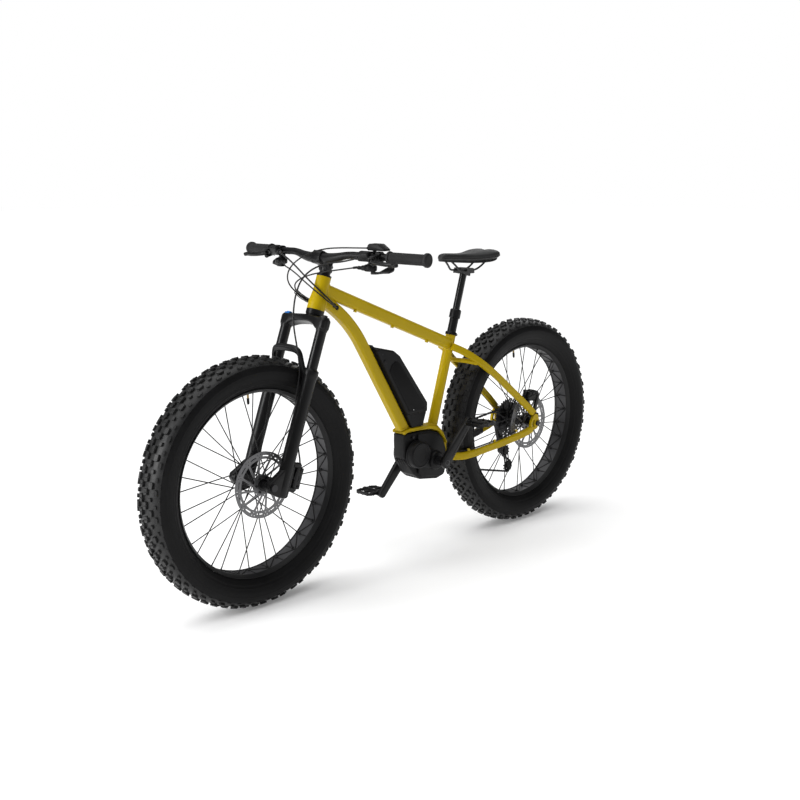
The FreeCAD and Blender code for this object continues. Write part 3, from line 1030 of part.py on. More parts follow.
def tangent(c1, r1, s1, c2, r2, s2):
    """Belt run from circle 1 to circle 2; s is +1 for anticlockwise travel in (x, z)."""
    dx, dz = c2[0] - c1[0], c2[1] - c1[1]
    dist = math.hypot(dx, dz)
    base = math.atan2(dz, dx)
    a = math.asin((s1 * r1 - s2 * r2) / dist)
    ang = base + a
    d = (math.cos(ang), math.sin(ang))
    n = (d[1], -d[0])                            # right of travel
    p1 = (c1[0] + n[0] * r1 * s1, c1[1] + n[1] * r1 * s1)
    p2 = (c2[0] + n[0] * r2 * s2, c2[1] + n[1] * r2 * s2)
    return p1, p2


def belt(circles):
    """Closed wire round a ring of pulleys [(x, z, r, sense)], in the y = 0 plane."""
    runs = []
    k = len(circles)
    for i in range(k):
        a, b = circles[i], circles[(i + 1) % k]
        runs.append(tangent((a[0], a[1]), a[2], a[3], (b[0], b[1]), b[2], b[3]))
    edges = []
    for i in range(k):
        p_in = runs[i - 1][1]
        p_out = runs[i][0]
        cx, cz, r, s = circles[i]
        a0 = math.atan2(p_in[1] - cz, p_in[0] - cx)
        a1 = math.atan2(p_out[1] - cz, p_out[0] - cx)
        sweep = (a1 - a0) % (2 * math.pi) if s > 0 else -((a0 - a1) % (2 * math.pi))
        am = a0 + sweep / 2
        edges.append(Part.Arc(V(p_in[0], 0, p_in[1]), V(cx + r * math.cos(am), 0, cz + r * math.sin(am)), V(p_out[0], 0, p_out[1])).toShape())
        edges.append(Part.LineSegment(V(p_out[0], 0, p_out[1]), V(runs[i][1][0], 0, runs[i][1][1])).toShape())
    return Part.Wire(edges)


def chain_ring(off):
    """The chain's loop, offset outwards by off."""
    return belt([(BB.x, BB.z, R_RING + off, -1.0), (num(tension_x), num(tension_z), R_JOCK + off, -1.0),
                 (num(guide_x), num(guide_z), R_JOCK - off, 1.0), (-FX, AXZ, R_COG + off, -1.0)])


ch = num(chain_half)
chain_outer = Part.Face(chain_ring(ch)).extrude(V(0, num(chain_wide), 0))
chain_inner = Part.Face(chain_ring(-ch)).extrude(V(0, num(chain_wide), 0))
chain_solid = chain_outer.cut(chain_inner)
chain_solid.translate(V(0, CY - num(chain_wide) / 2, 0))
print("chain pitch line %.1f mm" % chain_ring(0.0).Length)
keep("chain", solid_feature("chain", chain_solid))

GU, TE = V(num(guide_x), 0, num(guide_z)), V(num(tension_x), 0, num(tension_z))
for node, c in (("guide_pulley", GU), ("tension_pulley", TE)):
    keep(node, rev(node, [(2.5 + fit_gap, -2.0), (R_JOCK - ch - 0.5, -2.0), (R_JOCK - ch - 0.5, 2.0), (2.5 + fit_gap, 2.0)],
                   FreeCAD.Placement(c + V(0, CY, 0), FreeCAD.Rotation())))


def cage_plate(tag, y):
    d = (TE - GU).normalize()
    e = V(-d.z, 0, d.x)
    pts = [GU - d * 14 + e * 6, GU - d * 14 - e * 6, GU - d * 4 - e * 13, TE + d * 2 - e * 11, TE + d * 13 - e * 5, TE + d * 13 + e * 5, TE + d * 2 + e * 11, GU - d * 4 + e * 13]
    return side_pad("cage_plate_" + tag, [(p.x, p.z) for p in pts], y, 2.0)


cage_parts = [cage_plate("outer", CY - 4.2), cage_plate("inner", CY + 6.2),
              cyl("cage_bolt_guide", 2.5, 14.0, GU + V(0, CY - 7.0, 0), YP), cyl("cage_bolt_tension", 2.5, 14.0, TE + V(0, CY - 7.0, 0), YP),
              cyl("cage_pivot", 6.0, 13.0, GU + V(0, CY - 19.0, 0), YP)]
keep("derailleur_cage", fuse("derailleur_cage", cage_parts))
HG = V(-640.0, 0, 341.0)
knuckle_b = fuse("derailleur_mount", [cyl("mount_knuckle", 12.0, 16.0, HG + V(0, -num(rear_half + drop_thick) - 16.3, 0), YP),
                                      cyl("mount_bolt", 4.9, 25.8, HG + V(0, -num(rear_half + drop_thick) - 16.0, 0), YP)])
knuckle_p = cut("derailleur_knuckle", cyl("knuckle_blank", 15.0, 20.0, GU + V(0, CY - 27.0, 0), YP),
                [cyl("knuckle_bore", 6.0 + num(fit_gap), 12.6, GU + V(0, CY - 19.3, 0), YP)])
links = Part.makeLoft([
    Part.makePolygon([V(HG.x - 12, -114.0, HG.z - 6), V(HG.x + 10, -114.0, HG.z - 6), V(HG.x + 10, -102.0, HG.z - 6), V(HG.x - 12, -102.0, HG.z - 6), V(HG.x - 12, -114.0, HG.z - 6)]),
    Part.makePolygon([V(GU.x - 12, -90.0, GU.z + 9), V(GU.x + 12, -90.0, GU.z + 9), V(GU.x + 12, -75.0, GU.z + 9), V(GU.x - 12, -75.0, GU.z + 9), V(GU.x - 12, -90.0, GU.z + 9)])], True, True)
keep("derailleur_body", fuse("derailleur_body", [knuckle_b, knuckle_p, solid_feature("derailleur_links", links)]))

# ======================================================== HOSES AND CABLES (HELD)
hr = num(hose_rad)
unit_exit = bar_frame(215.2, 1).multVec(V(-6.0, -21.6, 24.0))
barrel_l = bar_frame(206.0, 1).multVec(V(22.0, -41.4, -33.0))
barrel_r = bar_frame(206.0, -1).multVec(V(22.0, 41.4, -33.0))
lever_turn = FreeCAD.Placement(V(0, 0, 0), FreeCAD.Rotation(V(0, 1, 0), LEVER_DROP))
tank_l = bar_frame(236.0, 1).multiply(lever_turn).multVec(V(28.0, -59.6, 4.0))
tank_r = bar_frame(236.0, -1).multiply(lever_turn).multVec(V(28.0, 59.6, 4.0))


def t3(v):
    return (v.x, v.y, v.z)


control = [
    hose([t3(unit_exit), (332.0, 150.0, 1073.0), (354.0, 108.0, 1073.0), (386.0, 66.0, 1070.0), (418.0, 28.0, 1055.0), (442.0, -4.0, 1031.0),
          (450.0, -30.0, 1000.0), (438.0, -46.0, 966.0), (404.0, -52.0, 934.0), (362.0, -48.0, 908.0), (324.0, -32.0, 892.0), (297.0, -13.5, 885.0)],
         2.2, "assist lead"),
    hose([t3(barrel_l), (380.0, 126.0, 1010.0), (407.0, 84.0, 1003.0), (431.0, 42.0, 992.0), (439.0, 4.0, 976.0), (428.0, -28.0, 956.0),
          (398.0, -46.0, 928.0), (358.0, -52.0, 902.0), (320.0, -38.0, 886.0), (291.0, -13.5, 880.0)], 2.2, "dropper cable"),
    hose([t3(tank_r), (364.0, -140.0, 1034.0), (374.0, -104.0, 1022.0), (381.0, -66.0, 1005.0), (382.0, -28.0, 981.0), (374.0, 8.0, 953.0),
          (354.0, 32.0, 924.0), (324.0, 34.0, 898.0), (297.0, 13.5, 886.0)], hr, "rear brake hose, front"),
    hose([t3(barrel_r), (380.0, -130.0, 1008.0), (390.0, -96.0, 1003.0), (395.0, -58.0, 990.0), (394.0, -20.0, 968.0), (382.0, 14.0, 942.0),
          (356.0, 36.0, 913.0), (322.0, 36.0, 890.0), (290.0, 13.5, 880.0)], 2.2, "gear cable, front")]
rear_lines = [
    hose([(-213.0, 46.0, 337.0), (-262.0, 66.0, 334.0), (-330.0, 74.0, 341.5), (-420.0, 77.0, 349.5), (-500.0, 79.5, 359.5), (-552.0, 79.0, 374.0),
          (-576.0, 74.5, 412.0), (-581.0, 67.0, 456.0), (-581.0, 59.5, 494.0), (-602.4, 56.0, 501.8)], hr, "rear brake hose, rear"),
    hose([(-588.0, -106.0, 349.0), (-628.0, -119.5, 353.0), (-672.0, -123.0, 338.0), (-684.0, -116.0, 300.0), (-672.0, -105.0, 274.0), (-656.8, -93.0, 262.0)],
         2.2, "gear cable, rear")]
keep("control_cables", group("control_cables", [solid_feature("control_%d" % i, s) for i, s in enumerate(control + rear_lines)]))
hose_low = [hp(*q) for q in ((101.0, 38.0, -78.0), (78.0, 48.0, -118.0), (42.0, 54.0, -146.0), (12.0, 57.5, -174.0), (4.0, 62.5, -216.0), (2.0, 63.0, -264.0),
                             (0.0, 62.0, -320.0), (-12.0, 59.0, -380.0), (-30.0, 54.0, -430.0), (-47.0, 49.0, -460.0), (-53.0, 47.5, -476.4))]
front_hose = hose([t3(tank_l), (368.0, 132.0, 1033.0), (394.0, 98.0, 1030.0), (430.0, 66.0, 1015.0), (456.0, 42.0, 984.0), (470.0, 30.0, 938.0),
                   (480.0, 30.0, 890.0)] + [t3(q) for q in hose_low], hr, "front brake hose")
keep("front_brake_hose", solid_feature("front_brake_hose", front_hose))

# ------------------------------------------------------------------------- output
doc.recompute()
bad = [o.Name for o in doc.Objects if "Invalid" in o.State or "Error" in o.State]
for b in bad:
    print(b, doc.getObject(b).getStatusString())
if bad:
    raise RuntimeError("failed objects: %s" % bad)
os.makedirs("parts", exist_ok=True)
for node, obj in KEEP:
    s = obj.Shape
    if s.isNull() or not s.isValid():
        raise RuntimeError("bad shape: " + node)
    if not s.Solids:
        raise RuntimeError("no solid: " + node)
for node, obj in KEEP:
    obj.Shape.exportStep("parts/%s.step" % node)
    bb = obj.Shape.BoundBox
    print("%-20s solids %3d  vol %10.0f  x %.1f..%.1f y %.1f..%.1f z %.1f..%.1f" % (
        node, len(obj.Shape.Solids), obj.Shape.Volume, bb.XMin, bb.XMax, bb.YMin, bb.YMax, bb.ZMin, bb.ZMax))
print("nodes", len(KEEP))
print("steering point", H0, "axis", AX)
for k, (o, z) in lever_axis.items():
    print("lever", k, o, z)
print("pedals", {k: v[0] for k, v in pedal_c.items()})
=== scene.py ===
"""Looks of the electric fat-tyre bicycle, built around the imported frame."""
import math

import bmesh
import bpy
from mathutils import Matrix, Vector, geometry
from mathutils.bvhtree import BVHTree


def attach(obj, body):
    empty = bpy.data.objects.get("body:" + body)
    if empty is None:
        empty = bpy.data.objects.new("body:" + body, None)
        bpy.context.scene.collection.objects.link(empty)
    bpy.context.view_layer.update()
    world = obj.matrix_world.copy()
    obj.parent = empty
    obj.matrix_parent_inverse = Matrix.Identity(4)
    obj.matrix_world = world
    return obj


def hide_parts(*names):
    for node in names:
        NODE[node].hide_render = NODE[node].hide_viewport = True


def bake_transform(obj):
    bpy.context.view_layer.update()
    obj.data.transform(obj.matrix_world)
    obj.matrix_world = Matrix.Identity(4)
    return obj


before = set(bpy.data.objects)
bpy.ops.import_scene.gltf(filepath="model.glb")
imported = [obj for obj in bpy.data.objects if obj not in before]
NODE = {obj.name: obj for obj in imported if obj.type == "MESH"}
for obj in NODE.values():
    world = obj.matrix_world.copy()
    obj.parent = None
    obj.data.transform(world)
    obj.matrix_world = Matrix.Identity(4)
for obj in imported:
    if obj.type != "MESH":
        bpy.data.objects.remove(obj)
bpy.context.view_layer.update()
SC = bpy.context.scene

# ------------------------------------------------------------------ key geometry, mm
FC, RC, WR = (624.0, 383.0), (-624.0, 383.0), 383.0
H0 = Vector((366.863, 0.0, 878.964))
AX = Vector((-0.3420201, 0.0, 0.9396926))
NX = Vector((0.9396926, 0.0, 0.3420201))
S0 = Vector((-252.0, 0.0, 743.0))
SX = Vector((-0.2873605, 0.0, 0.9578225))
SN = Vector((0.9578225, 0.0, 0.2873605))
BB = Vector((-125.0, 0.0, 324.0))
YP = Vector((0.0, 1.0, 0.0))


def hp(n, y, a):
    return H0 + NX * n + YP * y + AX * a


def sp(s, n=0.0, y=0.0):
    return S0 + SX * s + SN * n + YP * y


def head_T(p):
    return hp(p[0], p[1], p[2])


BEND = Vector((336.0, 130.0, 1051.0))
GDIR = (Vector((294.0, 405.0, 1047.0)) - BEND).normalized()


def along_bar(s, side):
    p = BEND + GDIR * ((s - BEND.y) / GDIR.y)
    return Vector((p.x, p.y * side, p.z))


def bar_axis(side):
    return Vector((GDIR.x, GDIR.y * side, GDIR.z))


def bar_T(s, side, drop=0.0):
    """Local frame at the bar: forward, outwards along the bar, up."""
    yo = bar_axis(side)
    x = Vector((1.0, 0.0, 0.0))
    z = x.cross(yo) if side > 0 else yo.cross(x)
    z.normalize()
    x = yo.cross(z) if side > 0 else z.cross(yo)
    d = math.radians(drop)
    x2 = x * math.cos(d) - z * math.sin(d)
    z2 = x * math.sin(d) + z * math.cos(d)
    o = along_bar(s, side)
    return lambda p: o + x2 * p[0] + yo * p[1] + z2 * p[2]


# ------------------------------------------------------------------ mesh tools
def inset(pts, d):
    """Closed outline moved inwards by d (outwards if negative)."""
    n = len(pts)
    area = sum(pts[i][0] * pts[(i + 1) % n][1] - pts[(i + 1) % n][0] * pts[i][1] for i in range(n))
    s = 1.0 if area > 0 else -1.0
    out = []
    for i in range(n):
        a, b, c = pts[i - 1], pts[i], pts[(i + 1) % n]
        e1 = (b[0] - a[0], b[1] - a[1])
        e2 = (c[0] - b[0], c[1] - b[1])
        l1 = math.hypot(*e1) or 1e-9
        l2 = math.hypot(*e2) or 1e-9
        n1 = (-e1[1] / l1 * s, e1[0] / l1 * s)
        n2 = (-e2[1] / l2 * s, e2[0] / l2 * s)
        k = 1.0 + n1[0] * n2[0] + n1[1] * n2[1]
        k = max(k, 0.35)
        out.append((b[0] + (n1[0] + n2[0]) / k * d, b[1] + (n1[1] + n2[1]) / k * d))
    # edges too short for the inset close up to a point
    for _ in range(6):
        turned = False
        for i in range(n):
            j = (i + 1) % n
            e = (pts[j][0] - pts[i][0], pts[j][1] - pts[i][1])
            f = (out[j][0] - out[i][0], out[j][1] - out[i][1])
            if e[0] * f[0] + e[1] * f[1] < 0.0:
                out[i] = out[j] = ((out[i][0] + out[j][0]) / 2, (out[i][1] + out[j][1]) / 2)
                turned = True
        if not turned:
            break
    return out


def fillet(pts, r, seg=4):
    """Outline with its corners rounded; r is one radius or one for each corner."""
    n = len(pts)
    rs = list(r) if isinstance(r, (list, tuple)) else [r] * n
    out = []
    for i in range(n):
        a, b, c = (Vector(pts[i - 1]), Vector(pts[i]), Vector(pts[(i + 1) % n]))
        u, v = (a - b), (c - b)
        lu, lv = u.length, v.length
        if rs[i] <= 0 or lu < 1e-6 or lv < 1e-6:
            out.append(tuple(b))
            continue
        u, v = u / lu, v / lv
        ang = math.acos(max(-1.0, min(1.0, u.dot(v))))
        if ang > math.pi - 0.02 or ang < 0.02:
            out.append(tuple(b))
            continue
        t = min(rs[i] / math.tan(ang / 2), 0.48 * lu, 0.48 * lv)
        rad = t * math.tan(ang / 2)
        cen = b + (u + v).normalized() * (rad / math.sin(ang / 2))
        p0, p1 = b + u * t - cen, b + v * t - cen
        sweep = math.pi - ang
        for k in range(seg + 1):
            f = k / seg
            w = math.sin(sweep)
            q = (p0 * math.sin((1 - f) * sweep) + p1 * math.sin(f * sweep)) / w if w > 1e-6 else p0.lerp(p1, f)
            out.append(tuple(cen + q))
    return out


def circle(cx, cy, r, n=24, a0=0.0):
    return [(cx + r * math.cos(a0 + 2 * math.pi * k / n), cy + r * math.sin(a0 + 2 * math.pi * k / n)) for k in range(n)]


def catmull(pts, per):
    """Smooth run through the points, per steps to each gap."""
    p = [Vector(q) for q in pts]
    p = [p[0] * 2 - p[1]] + p + [p[-1] * 2 - p[-2]]
    out = []
    for i in range(1, len(p) - 2):
        for k in range(per):
            t = k / per
            out.append(0.5 * ((2 * p[i]) + (p[i + 1] - p[i - 1]) * t + (2 * p[i - 1] - 5 * p[i] + 4 * p[i + 1] - p[i + 2]) * t * t
                              + (3 * p[i] - p[i - 1] - 3 * p[i + 1] + p[i + 2]) * t ** 3))
    out.append(p[-2])
    return out


def y_plane(p):
    """Outline (x, z) and depth y."""
    return (p[0], p[2], p[1])


class Build:
    """Vertices and faces in millimetres, gathered into one piece."""

    def __init__(self):
        self.v, self.f, self.k = [], [], []

    def add(self, verts, faces, mat=0, T=None):
        n = len(self.v)
        self.v += [tuple(T(p)) for p in verts] if T else [tuple(p) for p in verts]
        self.f += [tuple(i + n for i in f) for f in faces]
        self.k += [mat] * len(faces)
        return self

    def rings(self, rings, closed=False, caps=True, mat=0, T=None):
        n = len(rings[0])
        verts = [p for r in rings for p in r]
        faces = []
        m = len(rings)
        for i in range(m if closed else m - 1):
            a, b = i * n, ((i + 1) % m) * n
            for j in range(n):
                faces.append((a + j, a + (j + 1) % n, b + (j + 1) % n, b + j))
        if caps and not closed:
            faces.append(tuple(range(n)))
            faces.append(tuple((m - 1) * n + j for j in range(n)))
        return self.add(verts, faces, mat, T)

    def lathe(self, prof, origin=(0, 0, 0), axis=(0, 1, 0), n=48, mat=0, closed=None, T=None):
        """prof is [(radius, height)]; an end at radius 0 closes to a point."""
        w = Vector(axis).normalized()
        u = w.orthogonal().normalized()
        t = w.cross(u)
        o = Vector(origin)
        verts, idx = [], []
        for r, h in prof:
            if abs(r) < 1e-6:
                verts.append(o + w * h)
                idx.append([len(verts) - 1] * n)
            else:
                idx.append(list(range(len(verts), len(verts) + n)))
                for k in range(n):
                    a = 2 * math.pi * k / n
                    verts.append(o + w * h + (u * math.cos(a) + t * math.sin(a)) * r)
        if closed is None:
            closed = abs(prof[0][0]) > 1e-6
        faces = []
        m = len(prof)
        for i in range(m if closed else m - 1):
            a, b = idx[i], idx[(i + 1) % m]
            for k in range(n):
                q = [a[k], a[(k + 1) % n], b[(k + 1) % n], b[k]]
                q = [x for j, x in enumerate(q) if x != q[j - 1]]
                if len(set(q)) >= 3:
                    faces.append(tuple(q))
        return self.add(verts, faces, mat, T)

    def tube(self, pts, r, n=12, mat=0, closed=False, T=None, flat=1.0):
        """Round sweep along the points; r is one radius or one for each point."""
        p = [Vector(q) for q in pts]
        m = len(p)
        rr = r if isinstance(r, (list, tuple)) else [r] * m
        tan = []
        for i in range(m):
            a = p[i - 1] if (closed or i > 0) else p[0]
            b = p[(i + 1) % m] if (closed or i < m - 1) else p[-1]
            tan.append((b - a).normalized())
        u = tan[0].orthogonal().normalized()
        rings = []
        for i in range(m):
            u = (u - tan[i] * u.dot(tan[i])).normalized()
            v = tan[i].cross(u)
            rings.append([p[i] + (u * math.cos(2 * math.pi * k / n) * flat + v * math.sin(2 * math.pi * k / n)) * rr[i] for k in range(n)])
        if closed:
            # turn the last ring to meet the first
            best = min(range(n), key=lambda s: sum((rings[-1][k] - rings[0][(k + s) % n]).length for k in range(n)))
            verts = [q for ring in rings for q in ring]
            faces = []
            for i in range(m):
                s = best if i == m - 1 else 0
                a, b = i * n, ((i + 1) % m) * n
                for j in range(n):
                    faces.append((a + j, a + (j + 1) % n, b + (j + 1 + s) % n, b + (j + s) % n))
            return self.add(verts, faces, mat, T)
        return self.rings(rings, False, True, mat, T)

    def prism(self, out, lo, hi, r=0.0, seg=2, mat=0, T=y_plane):
        """Outline pulled from lo to hi with its end edges rounded by r."""
        if r <= 0:
            return self.rings([[(a, b, lo) for a, b in out], [(a, b, hi) for a, b in out]], mat=mat, T=T)
        rings = []
        for k in range(seg + 1):
            t = math.pi / 2 * k / seg
            rings.append([(a, b, lo + r * (1 - math.cos(t))) for a, b in inset(out, r * (1 - math.sin(t)))])
        for k in range(seg, -1, -1):
            t = math.pi / 2 * k / seg
            rings.append([(a, b, hi - r * (1 - math.cos(t))) for a, b in inset(out, r * (1 - math.sin(t)))])
        return self.rings(rings, mat=mat, T=T)

    def rbox(self, lo, hi, corner=3.0, r=1.2, axis=2, seg=2, mat=0, T=None):
        """Box with rounded corners, pulled along the given axis."""
        a, b, c = [(1, 2, 0), (0, 2, 1), (0, 1, 2)][axis]
        out = fillet([(lo[a], lo[b]), (hi[a], lo[b]), (hi[a], hi[b]), (lo[a], hi[b])], corner, 4)

        def put(p):
            q = [0.0, 0.0, 0.0]
            q[a], q[b], q[c] = p[0], p[1], p[2]
            return T(q) if T else q
        return self.prism(out, lo[c], hi[c], r, seg, mat, put)

    def plate(self, outer, holes, lo, hi, mat=0, T=y_plane, edge=0.0):
        """Flat plate with holes; edge is not used."""
        loops = [outer] + list(holes)
        tris = geometry.tessellate_polygon([[Vector((a, b, 0.0)) for a, b in lp] for lp in loops])
        flat = [p for lp in loops for p in lp]
        n = len(flat)
        verts = [(a, b, lo) for a, b in flat] + [(a, b, hi) for a, b in flat]
        faces = [tuple(t) for t in tris] + [tuple(i + n for i in reversed(t)) for t in tris]
        at = 0
        for lp in loops:
            m = len(lp)
            for i in range(m):
                j = (i + 1) % m
                faces.append((at + i, at + j, at + j + n, at + i + n))
            at += m
        return self.add(verts, faces, mat, T)

    def bolt(self, pos, axis, r=4.0, h=4.0, mat=0, n=24):
        """Socket-head bolt standing on pos."""
        return self.lathe([(0.0, h * 0.35), (r * 0.42, h * 0.35), (r * 0.52, h * 0.45), (r * 0.55, h), (r * 0.86, h), (r, h * 0.82), (r, 0.0), (0.0, 0.0)],
                          pos, axis, n, mat, closed=False)

    def done(self, name, mats, body, slot, replaces=(), angle=36.0, ride=True):
        me = bpy.data.meshes.new(name)
        me.from_pydata([(x * 0.001, y * 0.001, z * 0.001) for x, y, z in self.v], [], self.f)
        for m in (mats if isinstance(mats, (list, tuple)) else [mats]):
            me.materials.append(m)
        me.polygons.foreach_set("material_index", self.k)
        bm = bmesh.new()
        bm.from_mesh(me)
        bmesh.ops.dissolve_degenerate(bm, dist=1e-7, edges=bm.edges[:])
        bmesh.ops.recalc_face_normals(bm, faces=bm.faces[:])
        bm.to_mesh(me)
        bm.free()
        me.polygons.foreach_set("use_smooth", [True] * len(me.polygons))
        me.set_sharp_from_angle(angle=math.radians(angle))
        ob = bpy.data.objects.new(name, me)
        SC.collection.objects.link(ob)
        if replaces:
            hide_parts(*replaces)
        if ride:
            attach(ob, body)
        return ob


# ------------------------------------------------------------------ materials
def material(name, base, rough, metal=0.0, var=0.25, var_scale=14.0, grain=600.0, bump=0.05, rough_var=0.08, spec=0.5, coat=0.0,
             coat_rough=0.1, cell=None, stretch=(1, 1, 1), sheen=0.0):
    """Procedural finish: a base colour with slow variation, a fine grain in the
    bump, and a roughness that wanders with it."""
    m = bpy.data.materials.new(name)
    m.use_nodes = True
    nt = m.node_tree
    b = nt.nodes["Principled BSDF"]
    b.inputs["Metallic"].default_value = metal
    b.inputs["Specular IOR Level"].default_value = spec
    b.inputs["Coat Weight"].default_value = coat
    b.inputs["Coat Roughness"].default_value = coat_rough
    b.inputs["Sheen Weight"].default_value = sheen
    tc = nt.nodes.new("ShaderNodeTexCoord")
    mp = nt.nodes.new("ShaderNodeMapping")
    mp.inputs["Scale"].default_value = stretch
    nt.links.new(tc.outputs["Object"], mp.inputs["Vector"])
    n1 = nt.nodes.new("ShaderNodeTexNoise")
    n1.inputs["Scale"].default_value = var_scale
    n1.inputs["Detail"].default_value = 5.0
    nt.links.new(mp.outputs["Vector"], n1.inputs["Vector"])
    ramp = nt.nodes.new("ShaderNodeValToRGB")
    ramp.color_ramp.elements[0].position = 0.3
    ramp.color_ramp.elements[1].position = 0.72
    ramp.color_ramp.elements[0].color = tuple(c * (1 - var) for c in base) + (1.0,)
    ramp.color_ramp.elements[1].color = tuple(min(1.0, c * (1 + var)) for c in base) + (1.0,)
    nt.links.new(n1.outputs["Fac"], ramp.inputs["Fac"])
    nt.links.new(ramp.outputs["Color"], b.inputs["Base Color"])
    n2 = nt.nodes.new("ShaderNodeTexNoise")
    n2.inputs["Scale"].default_value = grain
    n2.inputs["Detail"].default_value = 3.0
    nt.links.new(mp.outputs["Vector"], n2.inputs["Vector"])
    mr = nt.nodes.new("ShaderNodeMapRange")
    mr.inputs["From Min"].default_value = 0.25
    mr.inputs["From Max"].default_value = 0.75
    mr.inputs["To Min"].default_value = max(0.02, rough - rough_var)
    mr.inputs["To Max"].default_value = min(1.0, rough + rough_var)
    mixn = nt.nodes.new("ShaderNodeMath")
    mixn.operation = "MULTIPLY_ADD"
    mixn.inputs[1].default_value = 0.6
    nt.links.new(n1.outputs["Fac"], mixn.inputs[0])
    half = nt.nodes.new("ShaderNodeMath")
    half.operation = "MULTIPLY"
    half.inputs[1].default_value = 0.4
    nt.links.new(n2.outputs["Fac"], half.inputs[0])
    nt.links.new(half.outputs[0], mixn.inputs[2])
    nt.links.new(mixn.outputs[0], mr.inputs["Value"])
    nt.links.new(mr.outputs["Result"], b.inputs["Roughness"])
    bp = nt.nodes.new("ShaderNodeBump")
    bp.inputs["Strength"].default_value = bump
    bp.inputs["Distance"].default_value = 0.0006
    if cell:
        vo = nt.nodes.new("ShaderNodeTexVoronoi")
        vo.inputs["Scale"].default_value = cell
        vo.feature = "DISTANCE_TO_EDGE"
        nt.links.new(mp.outputs["Vector"], vo.inputs["Vector"])
        nt.links.new(vo.outputs["Distance"], bp.inputs["Height"])
    else:
        nt.links.new(n2.outputs["Fac"], bp.inputs["Height"])
    nt.links.new(bp.outputs["Normal"], b.inputs["Normal"])
    return m


PAINT = material("frame_paint", (0.475, 0.335, 0.002), 0.40, var=0.05, var_scale=6, grain=900, bump=0.03, rough_var=0.05, spec=0.14, coat=0.04, coat_rough=0.16)
# frame yellow painted lighter and glossier for the weld beads and hose clips: a painted highlight along the joints
HIGHLIGHT_PAINT = material("frame_yellow_painted_highlight", (0.56, 0.40, 0.012), 0.44, var=0.08, var_scale=40, grain=1400, bump=0.08, rough_var=0.06, spec=0.32, coat=0.08, coat_rough=0.25)
BLACK = material("black_paint", (0.0052, 0.0052, 0.0056), 0.36, var=0.2, var_scale=10, grain=1200, bump=0.04, rough_var=0.07, spec=0.2, coat=0.04, coat_rough=0.25)
STAN = material("stanchion_black", (0.006, 0.006, 0.0065), 0.30, var=0.2, var_scale=12, grain=900, bump=0.02, rough_var=0.05, spec=0.24)
GLOSS = material("black_gloss", (0.006, 0.006, 0.0065), 0.24, var=0.2, var_scale=12, grain=900, bump=0.02, rough_var=0.05, spec=0.42, coat=0.12, coat_rough=0.12)
ANOD = material("dark_anodised", (0.025, 0.025, 0.027), 0.34, metal=0.5, var=0.12, var_scale=25, grain=1800, bump=0.03, rough_var=0.06)
RIMM = material("rim_grey", (0.046, 0.046, 0.049), 0.42, metal=0.25, var=0.12, var_scale=20, grain=1300, bump=0.04, rough_var=0.06, spec=0.35)
RIBM = material("rim_rib", (0.0075, 0.0075, 0.008), 0.46, metal=0.05, var=0.15, var_scale=20, grain=1300, bump=0.04, rough_var=0.06, spec=0.28)
BLUE = material("blue_anodised", (0.02, 0.16, 0.50), 0.3, metal=0.6, var=0.08, var_scale=60, grain=1800, bump=0.03, rough_var=0.05)
STEEL = material("steel", (0.16, 0.16, 0.165), 0.42, metal=0.8, var=0.12, var_scale=45, grain=1600, bump=0.05, rough_var=0.08, stretch=(1, 6, 1))
BRASS = material("valve_brass", (0.34, 0.24, 0.10), 0.36, metal=0.75, var=0.12, var_scale=60, grain=1500, bump=0.03, rough_var=0.06)
DSTEEL = material("dark_steel", (0.040, 0.040, 0.042), 0.38, metal=0.7, var=0.2, var_scale=60, grain=1500, bump=0.05, rough_var=0.08)
TYRE = material("tyre_rubber", (0.0068, 0.0068, 0.0071), 0.50, var=0.3, var_scale=9, grain=700, bump=0.12, rough_var=0.09, spec=0.11)
# tread rubber: the tyre rubber painted about twice as light on the crown casing and knobs, a painted highlight over the
# tread zone
TREAD_HIGHLIT = material("tread_rubber_painted_highlight", (0.0140, 0.0140, 0.0143), 0.44, var=0.3, var_scale=16, grain=520, bump=0.14, rough_var=0.10, spec=0.3)
GRIP = material("grip_rubber", (0.0145, 0.0145, 0.015), 0.64, var=0.2, var_scale=30, grain=900, bump=0.12, rough_var=0.08, spec=0.28)
VINYL = material("saddle_cover", (0.019, 0.019, 0.0197), 0.50, var=0.18, var_scale=18, grain=500, bump=0.25, rough_var=0.07, spec=0.32, cell=900, sheen=0.03)
PLAST = material("dark_plastic", (0.0075, 0.0075, 0.008), 0.44, var=0.15, var_scale=16, grain=1500, bump=0.10, rough_var=0.07, spec=0.16)
PLAST2 = material("battery_plastic", (0.0036, 0.0036, 0.0039), 0.40, var=0.15, var_scale=14, grain=1700, bump=0.06, rough_var=0.06, spec=0.11)
HOSE = material("hose_plastic", (0.008, 0.008, 0.0083), 0.42, var=0.15, var_scale=40, grain=1500, bump=0.04, rough_var=0.06, spec=0.32)
SPOKE = material("spoke_black", (0.009, 0.009, 0.0094), 0.42, metal=0.1, var=0.15, var_scale=30, grain=1500, bump=0.02, rough_var=0.06, spec=0.35)
LED = material("indicator_lens", (0.62, 0.63, 0.62), 0.3, var=0.05, var_scale=80, grain=1500, bump=0.02, rough_var=0.04)

# ------------------------------------------------------------------ camera, light, floor
cam = bpy.data.cameras.new("camera")
cam.lens = 50.0
cam.sensor_width = 36.0
cam.clip_end = 200.0
cam_ob = bpy.data.objects.new("camera", cam)
cam_ob.location = (2.5931, 2.5826, 1.2789)
cam_ob.rotation_euler = (math.radians(90.0 - 11.341), 0.0, math.radians(-135.124 - 90.0))
SC.collection.objects.link(cam_ob)
SC.camera = cam_ob


def area(name, at, look, size, power, colour=(1, 1, 1)):
    li = bpy.data.lights.new(name, "AREA")
    li.shape = "RECTANGLE"
    li.size, li.size_y = size
    li.energy = power
    li.color = colour
    ob = bpy.data.objects.new(name, li)
    ob.location = at
    ob.rotation_euler = (Vector(look) - Vector(at)).to_track_quat("-Z", "Y").to_euler()
    SC.collection.objects.link(ob)
    return ob


